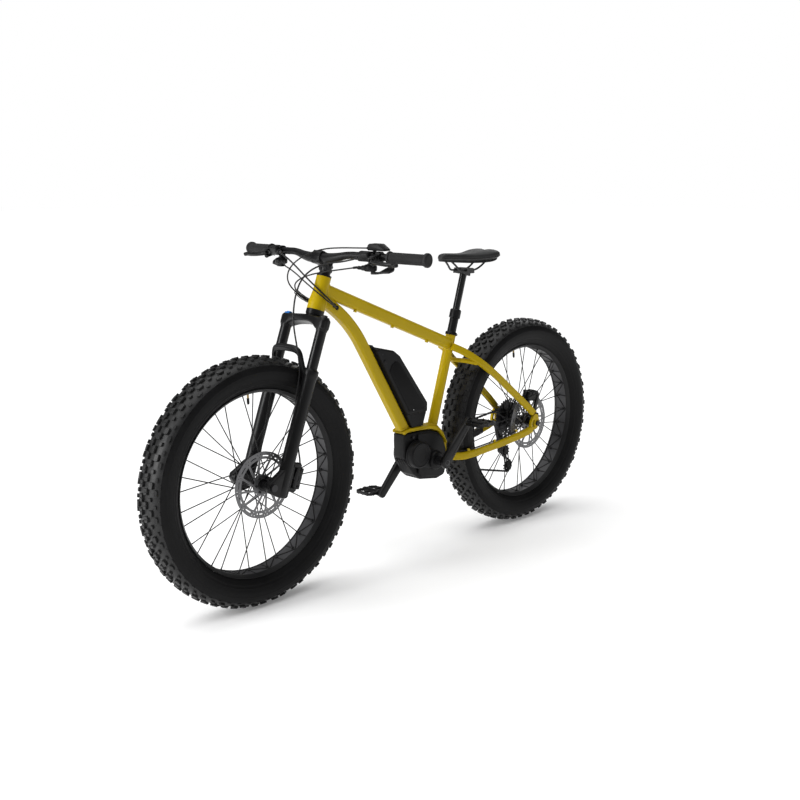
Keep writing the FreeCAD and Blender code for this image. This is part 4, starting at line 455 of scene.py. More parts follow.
area("key", (4.3, -1.1, 1.7), (0.1, 0.0, 0.5), (1.6, 2.2), 125.0)
area("side", (1.2, 4.6, 2.4), (0.0, 0.0, 0.5), (2.4, 1.6), 5.0)
area("back", (-3.8, -1.8, 2.6), (-0.2, 0.0, 0.5), (2.0, 2.0), 22.0)
SUNS = []
for name, power, spread in (("overhead", 2.3, 76.0), ("overhead_floor", 2.98, 86.0)):
    sun = bpy.data.lights.new(name, "SUN")
    sun.energy = power
    sun.angle = math.radians(spread)
    sun_ob = bpy.data.objects.new(name, sun)
    sun_ob.rotation_euler = Vector((-0.16, 0.11, -1.0)).to_track_quat("-Z", "Y").to_euler()
    SC.collection.objects.link(sun_ob)
    SUNS.append(sun_ob)

# white behind the object, a dimmer even dome for its light
world = bpy.data.worlds.new("world")
world.use_nodes = True
wt = world.node_tree
bg = wt.nodes["Background"]
bg.inputs["Color"].default_value = (1.0, 1.0, 1.0, 1.0)
bg.inputs["Strength"].default_value = 0.12
bg2 = wt.nodes.new("ShaderNodeBackground")
bg2.inputs["Color"].default_value = (1.0, 1.0, 1.0, 1.0)
bg2.inputs["Strength"].default_value = 1.0
lp = wt.nodes.new("ShaderNodeLightPath")
mx = wt.nodes.new("ShaderNodeMixShader")
wt.links.new(lp.outputs["Is Camera Ray"], mx.inputs[0])
wt.links.new(bg.outputs[0], mx.inputs[1])
wt.links.new(bg2.outputs[0], mx.inputs[2])
wt.links.new(mx.outputs[0], wt.nodes["World Output"].inputs["Surface"])
SC.world = world

fl = bpy.data.meshes.new("floor")
fl.from_pydata([(-40, -40, -0.0006), (40, -40, -0.0006), (40, 40, -0.0006), (-40, 40, -0.0006)], [], [(0, 1, 2, 3)])
floor = bpy.data.objects.new("floor", fl)
FLOORM = material("floor_white", (0.86, 0.86, 0.86), 0.7, var=0.01, var_scale=1.0, grain=60, bump=0.0, rough_var=0.03, spec=0.1)
FLOORM.node_tree.nodes["Principled BSDF"].inputs["Emission Color"].default_value = (1.0, 1.0, 1.0, 1.0)
FLOORM.node_tree.nodes["Principled BSDF"].inputs["Emission Strength"].default_value = 0.165
fl.materials.append(FLOORM)
SC.collection.objects.link(floor)
for sun_ob, state in zip(SUNS, ("EXCLUDE", "INCLUDE")):
    lit = bpy.data.collections.new(sun_ob.name + "_lit")
    lit.objects.link(floor)
    lit.collection_objects[0].light_linking.link_state = state
    sun_ob.light_linking.receiver_collection = lit
SC.view_settings.view_transform = "Standard"
SC.view_settings.exposure = 0.0

# ------------------------------------------------------------------ tyres
HALF = [(375.2, 0), (374.8, 12), (373.2, 24), (369.4, 35.6), (362.8, 45.8), (353.8, 53.0), (343.0, 56.7), (331.0, 57.0), (318.0, 54.0),
        (306.0, 48.8), (297.0, 43.4), (291.0, 38.2), (287.7, 34.9)]
_d = catmull([(r, y, 0) for r, y in HALF], 10)
_pr = [(q.x, q.y) for q in _d]
_s = [0.0]
for _i in range(1, len(_pr)):
    _s.append(_s[-1] + math.hypot(_pr[_i][0] - _pr[_i - 1][0], _pr[_i][1] - _pr[_i - 1][1]))


def casing(s):
    """Radius, offset and outward normal at arc length s from the crown."""
    s = min(max(s, 0.0), _s[-1] - 1e-6)
    lo = 0
    hi = len(_s) - 1
    while hi - lo > 1:
        mid = (lo + hi) // 2
        if _s[mid] <= s:
            lo = mid
        else:
            hi = mid
    f = (s - _s[lo]) / (_s[hi] - _s[lo])
    a, b = _pr[lo], _pr[hi]
    t = (b[0] - a[0], b[1] - a[1])
    ln = math.hypot(*t)
    return a[0] + t[0] * f, a[1] + t[1] * f, t[1] / ln, -t[0] / ln


def ridge(s):
    """Moulded lines on the sidewall."""
    h = 0.0
    for c, w, k in ((74.0, 1.3, 0.7), (101.0, 1.2, 0.6), (112.0, 2.2, 0.9)):
        d = abs(s - c)
        if d < w * 2:
            h += k * 0.5 * (1 + math.cos(math.pi * d / (2 * w)))
    return h


def tyre(tag, cx, body, turn):
    b = Build()
    total = _s[-1]
    ss = []
    s = 0.0
    while s < total:
        ss.append(s)
        s += 3.2 if s < 66 else 1.15
    ss.append(total - 1e-5)
    half = []
    for s in ss:
        r, y, nr, ny = casing(s)
        h = ridge(s)
        half.append((r + nr * h, y + ny * h))
    inner = []
    for s in (total, total * 0.9, total * 0.75, total * 0.6, total * 0.45, total * 0.3, total * 0.15, 0.0):
        r, y, nr, ny = casing(s)
        inner.append((r - nr * 3.4, y - ny * 3.4))
    prof = [(r, -y) for r, y in reversed(half)] + half[1:] + inner + [(r, -y) for r, y in reversed(inner[:-1])]
    b.lathe(prof, (cx, 0, WR), (0, 1, 0), 168, 0, closed=True)

    # thin skin of the lighter tread rubber over the crown casing: painted highlight across the tread zone
    band = [casing(q * 2.9) for q in range(20)]
    skin = [(r + nr * 0.3, y + ny * 0.3) for r, y, nr, ny in band]
    under = [(r - nr * 0.8, y - ny * 0.8) for r, y, nr, ny in band]
    b.lathe([(r, -y) for r, y in reversed(skin)] + skin[1:] + under[::-1] + [(r, -y) for r, y in under[1:]], (cx, 0, WR), (0, 1, 0), 168, 1, closed=True)

    def knob(side, th, out, hs, draft=0.8, bev=0.7, base=-1.4):
        def P(u, s, h):
            r, y, nr, ny = casing(s)
            r, y = r + nr * h, y + ny * h
            a = th + u / 379.0
            return (cx + r * math.cos(a), side * y, WR + r * math.sin(a))
        lower = inset(out, -draft)
        upper = inset(out, bev)
        mid = out
        rings = [[P(u, s, base) for u, s in lower], [P(u, s, hs(s) - 0.8) for u, s in mid], [P(u, s, hs(s)) for u, s in upper]]
        # knobs in the lighter tread rubber, which carries the painted highlight
        b.rings(rings, mat=1)

    def rect(u0, u1, s0, s1, c=1.8, skew=0.0):
        pts = [(u0 + skew * 0, s0), (u1, s0), (u1 + skew, s1), (u0 + skew, s1)]
        return fillet(pts, c, 1)

    N = 60
    pitch = 2 * math.pi / N
    for k in range(N):
        for side in (1, -1):
            sh = 0.0 if side > 0 else 0.5
            th = turn + (k + sh) * pitch
            odd = k % 2
            # centre blocks, cut across by a shallow sipe
            if odd:
                u0, u1, s0, s1 = -9.4, 9.4, 3.2, 17.0
            else:
                u0, u1, s0, s1 = -11.2, 11.2, 2.0, 15.0
            knob(side, th, rect(u0, u1, s0, s1, 2.2, 2.4), lambda s: 5.4)
            g = 0.8
            knob(side, th, rect(u0 + 0.3, -g + 0.2, s0 + 0.2, s1 - 0.2, 1.4, 2.2), lambda s: 7.7, 0.2, 0.7, 4.0)
            knob(side, th, rect(g + 0.2, u1 - 0.3, s0 + 0.2, s1 - 0.2, 1.4, 2.2), lambda s: 7.7, 0.2, 0.7, 4.0)
            # intermediate blocks: a large one and a small one in turn
            th2 = th + 0.5 * pitch
            if odd:
                knob(side, th2, rect(-9.8, 9.4, 22.0, 33.6, 2.0, 1.4), lambda s: 7.6)
            else:
                knob(side, th2, rect(-5.6, 5.6, 23.2, 31.0, 1.8, 0.8), lambda s: 6.8)
            # shoulder blocks
            th3 = th + (0.04 if odd else -0.02) * pitch
            if odd:
                knob(side, th3, rect(-8.8, 8.8, 38.8, 47.2, 1.8, -1.2), lambda s: 6.8)
            else:
                knob(side, th3, rect(-5.8, 5.8, 39.8, 46.0, 1.6, -0.8), lambda s: 6.2)
            # low dashes where the tread runs out into the sidewall
            th4 = th + 0.52 * pitch
            knob(side, th4, rect(-6.6, 6.6, 51.6, 55.0, 1.0, 0.0), lambda s: 2.4, 0.6, 0.6)
    return b.done(tag + "_tyre_tread", [TYRE, TREAD_HIGHLIT], body, "tyre_rubber", [tag + "_tyre"], angle=32)


tyre("front", FC[0], "front_wheel", 0.02)
tyre("rear", RC[0], "rear_wheel", 0.05)


# ------------------------------------------------------------------ rims, nipples, valves
def rim(tag, cx, body, flanges, va):
    b = Build()
    side = [(287.4, 37.4), (287.4, 35.6), (287.0, 34.6), (286.0, 33.6), (284.4, 27.0), (283.0, 21.0), (282.4, 17.0)]
    lip = [(278.6, 23.6), (276.5, 24.6), (276.0, 25.4), (276.0, 26.4), (276.4, 27.2), (277.4, 28.6), (280.4, 32.2), (284.0, 36.6), (285.4, 37.9), (286.6, 38.1)]
    prof = side + [(r, -y) for r, y in reversed(side)] + [(r, -y) for r, y in reversed(lip)] + lip
    b.lathe(prof, (cx, 0, WR), (0, 1, 0), 192, 1, closed=True)
    b.lathe([(279.4, 23.4), (279.4, -23.4), (278.3, -23.4), (278.3, 23.4)], (cx, 0, WR), (0, 1, 0), 192, 0, closed=True)

    def bar(a0, y0, a1, y1, w=3.6, top=276.1, low=279.2, n=5):
        rings = []
        du, dy = (a1 - a0) * 276.0, y1 - y0
        ln = math.hypot(du, dy)
        pu, py = -dy / ln, du / ln
        for i in range(n + 1):
            t = i / n
            a, y = a0 + (a1 - a0) * t, y0 + dy * t
            ring = []
            for o, r in ((-w / 2 - 0.7, low), (-w / 2, top + 0.7), (-w / 2 + 0.7, top), (w / 2 - 0.7, top), (w / 2, top + 0.7), (w / 2 + 0.7, low)):
                aa = a + pu * o / 276.0
                yy = y + py * o
                ring.append((cx + r * math.cos(aa), yy, WR + r * math.sin(aa)))
            rings.append(ring)
        b.rings(rings, mat=1)
    step = math.radians(11.25)
    rot = math.radians(flanges[0][1])
    for k in range(32):
        y = 21.5 if k % 2 == 0 else -21.5
        bar(k * step + rot, -24.8, k * step + rot, 24.8, 3.4)
        bar(k * step + rot, y, (k + 1) * step + rot, -y, 3.0)
    # eyelet bosses and nipples
    for side, (fy, phase) in enumerate(flanges):
        sgn = 1.0 if side == 0 else -1.0
        for k in range(8):
            for lead in (0, 1):
                a0 = math.radians(45.0 * k + 22.5 * lead + phase)
                a1 = a0 + math.radians(67.5 if lead == 0 else -67.5)
                off = 2.55 if lead == 0 else -2.55
                p = Vector((cx + 27.0 * math.cos(a0), fy + off, WR + 27.0 * math.sin(a0)))
                q = Vector((cx + 275.0 * math.cos(a1), sgn * 9.0, WR + 275.0 * math.sin(a1)))
                d = (p - q).normalized()
                rad = Vector((math.cos(a1), 0, math.sin(a1)))
                o = Vector((cx, sgn * 9.0, WR)) + rad * 275.4
                b.lathe([(0.0, 2.0), (5.4, 2.0), (5.4, 0.4), (4.8, -0.2), (0.0, -0.2)], o, rad, 16, 1, closed=False)
                b.lathe([(0.0, -1.5), (2.9, -1.5), (2.9, 1.2), (2.0, 2.2), (1.9, 11.5), (1.35, 13.0), (0.0, 13.0)], q, d, 12, 2, closed=False)
    # valve with its lock ring and cap
    d = Vector((math.cos(va), 0, math.sin(va)))
    o = Vector((cx, 0, WR)) + d * 276.6
    b.lathe([(0.0, 2.0), (6.0, 2.0), (6.0, -0.5), (5.2, -1.0), (5.2, -3.6), (3.4, -4.2), (3.3, -5.0), (3.3, -20.0), (0.0, -20.0)], o, d, 20, 3, closed=False)
    b.lathe([(0.0, -18.6), (3.6, -18.6), (4.1, -19.2), (4.1, -33.0), (3.4, -37.4), (0.0, -38.4)], o, d, 20, 1, closed=False)
    return b.done(tag + "_rim_trussed", [RIMM, RIBM, DSTEEL, BRASS], body, "black_paint", [tag + "_rim"], angle=30)


rim("front", FC[0], "front_wheel", [(39.5, -7.9), (-39.5, 3.35)], math.radians(87.725))
rim("rear", RC[0], "rear_wheel", [(44.0, 0.0), (-25.0, 11.25)], math.radians(84.375))


# ------------------------------------------------------------------ spokes
for tag, cx, body, flanges in (("front", FC[0], "front_wheel", [(39.5, -7.9), (-39.5, 3.35)]), ("rear", RC[0], "rear_wheel", [(44.0, 0.0), (-25.0, 11.25)])):
    sb_ = Build()
    for side, (fy, phase) in enumerate(flanges):
        sgn = 1.0 if side == 0 else -1.0
        for k in range(8):
            for lead in (0, 1):
                a0 = math.radians(45.0 * k + 22.5 * lead + phase)
                a1 = a0 + math.radians(67.5 if lead == 0 else -67.5)
                off = 2.55 if lead == 0 else -2.55
                p = Vector((cx + 27.0 * math.cos(a0), fy + off, WR + 27.0 * math.sin(a0)))
                q = Vector((cx + 275.0 * math.cos(a1), sgn * 9.0, WR + 275.0 * math.sin(a1)))
                d = (q - p).normalized()
                # elbow through the flange, then the straight run
                e = Vector((p.x, fy - off * 0.9, p.z))
                sb_.tube([e, p.lerp(e, 0.35), p + d * 1.6, p + d * 6.0, p.lerp(q, 0.5), q - d * 2.0], [1.8, 1.8, 1.8, 1.75, 1.7, 1.75], 8)
                sb_.lathe([(0.0, -0.9), (1.8, -0.9), (2.1, -0.3), (2.1, 0.3), (0.0, 0.8)], e, (0, 1, 0), 10, 0, closed=False)
    sb_.done(tag + "_spokes_bent", SPOKE, body, "black_paint", [tag + "_spokes"], angle=50)


# ------------------------------------------------------------------ brake discs
def rotor(tag, cx, body, y0):
    b = Build()
    outer = []
    for k in range(180):
        a = 2 * math.pi * k / 180
        r = 101.2 + 0.3 * math.cos(12 * a)
        outer.append((r * math.cos(a), r * math.sin(a)))
    holes = [circle(0, 0, 17.5, 40)]
    for k in range(12):
        a = math.radians(30.0 * k)
        # windows between the arms
        a2 = a + math.radians(30.0)
        w = 3.1
        pts = []

        def arm(t, base, side):
            r0 = Vector((28.0 * math.cos(base), 28.0 * math.sin(base)))
            r1 = Vector((82.0 * math.cos(base + 0.42), 82.0 * math.sin(base + 0.42)))
            d = (r1 - r0).normalized()
            nrm = Vector((-d.y, d.x))
            p = r0 + (r1 - r0) * t + nrm * w * side
            return p
        lo0, lo1 = arm(0.07, a, 1), arm(0.07, a2, -1)
        hi0, hi1 = arm(0.95, a, 1), arm(0.95, a2, -1)
        pts.append((lo0.x, lo0.y))
        pts.append((hi0.x, hi0.y))
        t0, t1 = math.atan2(hi0.y, hi0.x), math.atan2(hi1.y, hi1.x)
        while t1 < t0:
            t1 += 2 * math.pi
        for i in range(1, 5):
            t = t0 + (t1 - t0) * i / 5
            pts.append((79.0 * math.cos(t), 79.0 * math.sin(t)))
        pts.append((hi1.x, hi1.y))
        pts.append((lo1.x, lo1.y))
        holes.append(fillet(pts, [3.0, 4.0, 0, 0, 0, 0, 4.0, 3.0], 3))
        # long slots and drilled holes in the braking track
        c = a + 0.42 + math.radians(15.0)
        sl = []
        for i in range(9):
            t = c + math.radians(-7.2 + 14.4 * i / 8)
            sl.append((90.2 * math.cos(t), 90.2 * math.sin(t)))
        for i in range(8, -1, -1):
            t = c + math.radians(-7.2 + 14.4 * i / 8)
            sl.append((86.6 * math.cos(t), 86.6 * math.sin(t)))
        holes.append(sl)
        for da, rr, hr in ((-15.0, 86.0, 1.8), (-15.0 - 3.2, 94.2, 1.9), (-15.0 + 3.2, 94.2, 1.9)):
            t = c + math.radians(da)
            holes.append(circle(rr * math.cos(t), rr * math.sin(t), hr, 12))
    for k in range(6):
        t = math.radians(60 * k)
        holes.append(circle(23.5 * math.cos(t), 23.5 * math.sin(t), 2.8, 12))
    b.plate(outer, holes, y0, y0 + 2.0, 0, lambda p: (cx + p[0], p[2], WR + p[1]))
    # the six bolts
    for k in range(6):
        t = math.radians(60 * k)
        b.bolt((cx + 23.5 * math.cos(t), y0 + 1.6, WR + 23.5 * math.sin(t)), (0, 1, 0), 4.4, 3.0, 1)
    return b.done(tag + "_rotor_drilled", [STEEL, DSTEEL], body, "steel", [tag + "_rotor"], angle=30)


rotor("front", FC[0], "front_wheel", 45.0)
rotor("rear", RC[0], "rear_wheel", 55.0)

# ------------------------------------------------------------------ drive
CY = -63.7


def pitch_r(t):
    return 12.7 / (2.0 * math.sin(math.pi / t))


def gear(teeth, tall=3.6, phase=0.0):
    """Sprocket outline: roller seats between rounded teeth."""
    pr = pitch_r(teeth)
    out = []
    for k in range(teeth):
        a = phase + 2 * math.pi * k / teeth
        st = 2 * math.pi / teeth
        # seat centred on a
        for da, r in ((-0.30, pr + 0.2), (-0.24, pr - 2.2), (-0.14, pr - 3.7), (0.0, pr - 4.1), (0.14, pr - 3.7), (0.24, pr - 2.2), (0.30, pr + 0.2),
                      (0.40, pr + tall - 0.6), (0.46, pr + tall), (0.54, pr + tall), (0.60, pr + tall - 0.6)):
            out.append((r * math.cos(a + da * st), r * math.sin(a + da * st)))
    return out


def belt(circles):
    """Closed pitch line round pulleys [(x, z, r, sense)] as a list of (x, z)."""
    runs = []
    k = len(circles)
    for i in range(k):
        (x1, z1, r1, s1), (x2, z2, r2, s2) = circles[i], circles[(i + 1) % k]
        dx, dz = x2 - x1, z2 - z1
        dist = math.hypot(dx, dz)
        ang = math.atan2(dz, dx) + math.asin((s1 * r1 - s2 * r2) / dist)
        d = (math.cos(ang), math.sin(ang))
        n = (d[1], -d[0])
        runs.append(((x1 + n[0] * r1 * s1, z1 + n[1] * r1 * s1), (x2 + n[0] * r2 * s2, z2 + n[1] * r2 * s2)))
    out = []
    marks = []
    for i in range(k):
        p_in, p_out = runs[i - 1][1], runs[i][0]
        cx, cz, r, s = circles[i]
        a0 = math.atan2(p_in[1] - cz, p_in[0] - cx)
        a1 = math.atan2(p_out[1] - cz, p_out[0] - cx)
        sweep = (a1 - a0) % (2 * math.pi) if s > 0 else -((a0 - a1) % (2 * math.pi))
        m = max(6, int(abs(sweep) * r / 1.5))
        for j in range(m):
            t = a0 + sweep * j / m
            out.append((cx + r * math.cos(t), cz + r * math.sin(t)))
            marks.append(i)
        q = runs[i][1]
        ln = math.hypot(q[0] - p_out[0], q[1] - p_out[1])
        m = max(2, int(ln / 4.0))
        for j in range(m):
            t = j / m
            out.append((p_out[0] + (q[0] - p_out[0]) * t, p_out[1] + (q[1] - p_out[1]) * t))
            marks.append(i + 0.5)
    return out, marks


GU, TE = (-639.0, 247.0), (-653.0, 185.0)
loop, marks = belt([(BB.x, BB.z, pitch_r(20), -1.0), (TE[0], TE[1], pitch_r(11), -1.0), (GU[0], GU[1], pitch_r(11), 1.0), (RC[0], RC[1], pitch_r(17), -1.0)])
acc = [0.0]
for i in range(len(loop)):
    a, b_ = loop[i], loop[(i + 1) % len(loop)]
    acc.append(acc[-1] + math.hypot(b_[0] - a[0], b_[1] - a[1]))


def on_loop(s):
    s = s % acc[-1]
    lo, hi = 0, len(acc) - 1
    while hi - lo > 1:
        mid = (lo + hi) // 2
        if acc[mid] <= s:
            lo = mid
        else:
            hi = mid
    f = (s - acc[lo]) / (acc[hi] - acc[lo])
    a, b2 = loop[lo % len(loop)], loop[hi % len(loop)]
    return (a[0] + (b2[0] - a[0]) * f, a[1] + (b2[1] - a[1]) * f), marks[lo % len(loop)]


nlinks = 2 * int(round(acc[-1] / 25.4))
up, down = Build(), Build()
waist = []
for k in range(24):
    t = 2 * math.pi * k / 24
    waist.append(t)


def link_outline(h):
    out = []
    for c, a0 in ((6.35, -math.pi / 2), (-6.35, math.pi / 2)):
        for k in range(9):
            t = a0 + math.pi * k / 8
            out.append((c + h * math.cos(t), h * math.sin(t)))
        out.append((0.0, (h * 0.74) if c > 0 else -h * 0.74))
    return out


for k in range(nlinks):
    p, m0 = on_loop(acc[-1] * k / nlinks)
    q, m1 = on_loop(acc[-1] * (k + 1) / nlinks)
    tgt = down if (0.4 < m0 < 2.8) else up
    c = ((p[0] + q[0]) / 2, (p[1] + q[1]) / 2)
    ln = math.hypot(q[0] - p[0], q[1] - p[1])
    ux, uz = (q[0] - p[0]) / ln, (q[1] - p[1]) / ln

    def LT(v, c=c, ux=ux, uz=uz):
        return (c[0] + v[0] * ux - v[1] * uz, CY + v[2], c[1] + v[0] * uz + v[1] * ux)
    outer_link = k % 2 == 0
    h = 4.1 if outer_link else 3.9
    for sgn in (1, -1):
        y0, y1 = (1.75, 2.6) if outer_link else (1.0, 1.7)
        tgt.prism(link_outline(h), min(y0 * sgn, y1 * sgn), max(y0 * sgn, y1 * sgn), 0.0, 1, 0, LT)
    tgt.lathe([(0.0, -1.0), (3.85, -1.0), (3.85, 1.0), (0.0, 1.0)], (p[0], CY, p[1]), (0, 1, 0), 14, 0, closed=False)
    tgt.lathe([(0.0, -3.0), (1.5, -3.0), (1.8, -2.7), (1.8, 2.7), (1.5, 3.0), (0.0, 3.0)], (p[0], CY, p[1]), (0, 1, 0), 10, 0, closed=False)
up.done("chain_upper_run", DSTEEL, "frame", "steel", ["chain"], angle=30)
ch_low = down.done("chain_lower_run", DSTEEL, "frame", "steel", [], angle=30, ride=False)
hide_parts("chain")
_o = Vector((-0.30, 0.0, 0.0))
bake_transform(ch_low)

# cassette: ten toothed cogs on the free body
cas = Build()
for i, t in enumerate((11, 13, 15, 17, 19, 21, 24, 28, 32, 36)):
    yc = CY + 3.95 * (i - 3)
    holes = [circle(0, 0, 16.6, 40)]
    pr = pitch_r(t)
    if t >= 21:
        for k in range(6):
            a = 2 * math.pi * k / 6 + 0.2 * i
            r0, r1 = 21.5, pr - 8.0
            win = []
            for j in range(6):
                x = a - 0.30 + 0.60 * j / 5
                win.append((r1 * math.cos(x), r1 * math.sin(x)))
            for j in range(5, -1, -1):
                x = a - 0.22 + 0.44 * j / 5
                win.append((r0 * math.cos(x), r0 * math.sin(x)))
            if r1 - r0 > 4:
                holes.append(win)
    seat0 = 0.0
    if t == 17:
        # seats line up with the rollers that wrap this cog
        best = None
        for k in range(nlinks):
            p, m = on_loop(acc[-1] * k / nlinks)
            if m == 3:
                best = math.atan2(p[1] - RC[1], p[0] - RC[0])
                break
        seat0 = best or 0.0
    cas.plate(gear(t, 3.4, seat0), holes, yc - 0.9, yc + 0.9, 0, lambda p: (RC[0] + p[0], p[2], RC[1] + p[1]))
cas.lathe([(9.1, -81.5), (15.0, -81.9), (18.6, -81.6), (18.9, -80.6), (18.9, -78.0), (16.8, -77.6), (16.8, -34.6), (9.1, -34.6)], (RC[0], 0, RC[1]), (0, 1, 0), 48, 1)
for i in range(9):
    y = CY + 3.95 * (i - 3) + 1.1
    cas.lathe([(16.5, y), (18.6 if i < 5 else 20.0, y), (18.6 if i < 5 else 20.0, y + 1.75), (16.5, y + 1.75)], (RC[0], 0, RC[1]), (0, 1, 0), 40, 1)
cas.done("cassette_cogs", [DSTEEL, ANOD], "sprockets", "steel", ["cassette"], angle=30)


def seat_phase(cx, cz, which):
    for k in range(nlinks):
        p, m = on_loop(acc[-1] * k / nlinks)
        if m == which:
            return math.atan2(p[1] - cz, p[0] - cx)
    return 0.0


ring = Build()
ring.plate(gear(20, 3.6, seat_phase(BB.x, BB.z, 0)), [circle(0, 0, 13.0, 32)] + [circle(25.5 * math.cos(math.pi * k / 3), 25.5 * math.sin(math.pi * k / 3), 4.2, 14) for k in range(6)],
           CY - 1.3, CY + 1.3, 0, lambda p: (BB.x + p[0], p[2], BB.z + p[1]))
ring.lathe([(12.0, CY - 8.0), (17.6, CY - 8.0), (19.0, CY - 7.0), (19.0, CY + 5.0), (18.0, CY + 6.0), (12.0, CY + 6.0)], BB * 1.0 - YP * 0, (0, 1, 0), 40, 1)
ring.done("chainring_toothed", [DSTEEL, ANOD], "crank", "steel", ["chainring"], angle=30)

for node, c, which, body in (("guide_pulley", GU, 2, "upper_jockey"), ("tension_pulley", TE, 1, "lower_jockey")):
    jk = Build()
    jk.plate(gear(11, 2.6, seat_phase(c[0], c[1], which)), [circle(0, 0, 6.5, 20)] + [circle(11.5 * math.cos(2 * math.pi * k / 5), 11.5 * math.sin(2 * math.pi * k / 5), 2.6, 10) for k in range(5)],
             CY - 1.2, CY + 1.2, 0, lambda p, c=c: (c[0] + p[0], p[2], c[1] + p[1]))
    jk.lathe([(2.6, CY - 2.0), (6.8, CY - 2.0), (7.4, CY - 1.5), (7.4, CY + 1.5), (6.8, CY + 2.0), (2.6, CY + 2.0)], (c[0], 0, c[1]), (0, 1, 0), 24, 1)
    jk.done(node + "_toothed", [PLAST, DSTEEL], body, "dark_plastic", [node], angle=30)

cg = Build()
gu, te = Vector((GU[0], GU[1])), Vector((TE[0], TE[1]))
cdir = (te - gu).normalized()
cper = Vector((-cdir.y, cdir.x))
co = [gu - cdir * 14 + cper * 5, gu - cdir * 4 + cper * 12, gu + cdir * 14 + cper * 9, te - cdir * 14 + cper * 8, te + cdir * 2 + cper * 10.5, te + cdir * 13 + cper * 4,
      te + cdir * 13 - cper * 4, te + cdir * 2 - cper * 10.5, te - cdir * 14 - cper * 8, gu + cdir * 14 - cper * 9, gu - cdir * 4 - cper * 12, gu - cdir * 14 - cper * 5]
cage_o = fillet([tuple(p) for p in co], 6.0, 4)
slot_o = fillet([tuple(p) for p in (gu + cdir * 15 + cper * 4.2, te - cdir * 15 + cper * 3.6, te - cdir * 15 - cper * 3.6, gu + cdir * 15 - cper * 4.2)], 3.0, 4)
for y0, y1 in ((-69.8, -68.0), (-59.4, -57.6)):
    cg.plate(cage_o, [slot_o], y0, y1, 0)
for c in (gu, te):
    cg.lathe([(0.0, -71.4), (4.0, -71.4), (4.6, -70.8), (4.6, -69.6), (2.5, -69.4), (2.5, -57.8), (4.2, -57.6), (4.2, -56.8), (3.6, -56.3), (0.0, -56.3)], (c.x, 0, c.y), (0, 1, 0), 24, 1, closed=False)
cg.lathe([(0.0, -82.6), (5.4, -82.6), (6.0, -82.0), (6.0, -69.6), (0.0, -69.6)], (GU[0], 0, GU[1]), (0, 1, 0), 24, 1, closed=False)
cg.done("derailleur_cage_open", [BLACK, DSTEEL], "cage", "black_paint", ["derailleur_cage"], angle=35)

# ------------------------------------------------------------------ saddle
SAD = [(-192.5, 7.0, 1015.0, 1004.0), (-196.0, 12.5, 1019.5, 1000.0), (-204.0, 16.5, 1022.5, 998.0), (-220.0, 19.8, 1024.0, 996.0), (-250.0, 22.6, 1023.0, 993.5), (-282.0, 26.0, 1022.0, 991.0),
       (-312.0, 34.0, 1022.0, 989.0), (-342.0, 46.5, 1023.5, 988.0), (-370.0, 59.0, 1026.5, 988.5), (-394.0, 67.0, 1029.5, 989.5), (-412.0, 69.8, 1031.0, 991.5),
       (-427.0, 68.0, 1031.0, 994.5), (-436.0, 62.0, 1029.5, 998.0), (-440.5, 54.0, 1026.0, 1002.0), (-441.8, 44.0, 1021.0, 1006.0)]
sec = catmull([(x, h, t) for x, h, t, _ in SAD], 4)
secb = catmull([(x, b0, 0) for x, _, _, b0 in SAD], 4)


def saddle_ring(i, grow=0.0):
    x, half, top = sec[i]
    bot = secb[i].y
    half -= grow
    top -= grow
    rear = max(0.0, min(1.0, (-250.0 - x) / 150.0))
    ring_ = []
    n = 40
    for k in range(n):
        t = 2 * math.pi * k / n
        c, s = math.cos(t), math.sin(t)
        y = half * (abs(c) ** 0.62) * (1 if c >= 0 else -1)
        mid = bot + (top - bot) * 0.42
        if s >= 0:
            z = mid + (top - mid) * (s ** 0.55)
            # soft channel along the middle and a little drop to the edges
            z -= rear * 5.0 * math.exp(-(y / 13.0) ** 2) * s
            z -= 3.0 * (abs(y) / max(half, 1.0)) ** 3 * s
        else:
            z = mid - (mid - bot) * (abs(s) ** 0.8)
            y *= 1.0 - 0.20 * abs(s)
        ring_.append((x, y, z))
    return ring_


sb = Build()
sb.rings([saddle_ring(i) for i in range(len(sec))])
cover = sb.done("saddle_cover_padded", VINYL, "saddle_post", "saddle_cover", ["saddle"], angle=60)
# shell under the cover, seam bead round its edge, and the rails
sh = Build()
low = []
for i in range(3, len(sec) - 3):
    x, half, top = sec[i]
    bot = secb[i].y
    low.append((x, half * 0.80, bot + 2.0))
edge = [(x, y, z) for x, y, z in low] + [(x, -y, z) for x, y, z in reversed(low)]
sh.rings([[(x, y * 0.94, z - 3.6) for x, y, z in edge], [(x, y, z - 1.2) for x, y, z in edge], [(x, y, z + 3.0) for x, y, z in edge]])
seam = []
for i in range(2, len(sec) - 1):
    x, half, top = sec[i]
    bot = secb[i].y
    seam.append((x, half * 1.003, bot + (top - bot) * 0.42))
sh.tube(seam + [(x, -y, z) for x, y, z in reversed(seam)], 0.7, 8, closed=True)
HEADC = sp(221.0)
RZ = HEADC.z + 8.0
rail = [(-234.0, 14.0, 997.0), (-254.0, 18.0, 982.0), (HEADC.x + 46.0, 22.0, RZ), (HEADC.x + 20.0, 22.0, RZ), (HEADC.x - 20.0, 22.0, RZ), (HEADC.x - 40.0, 22.0, RZ),
        (HEADC.x - 72.0, 24.0, 978.0), (HEADC.x - 92.0, 26.0, 995.0)]


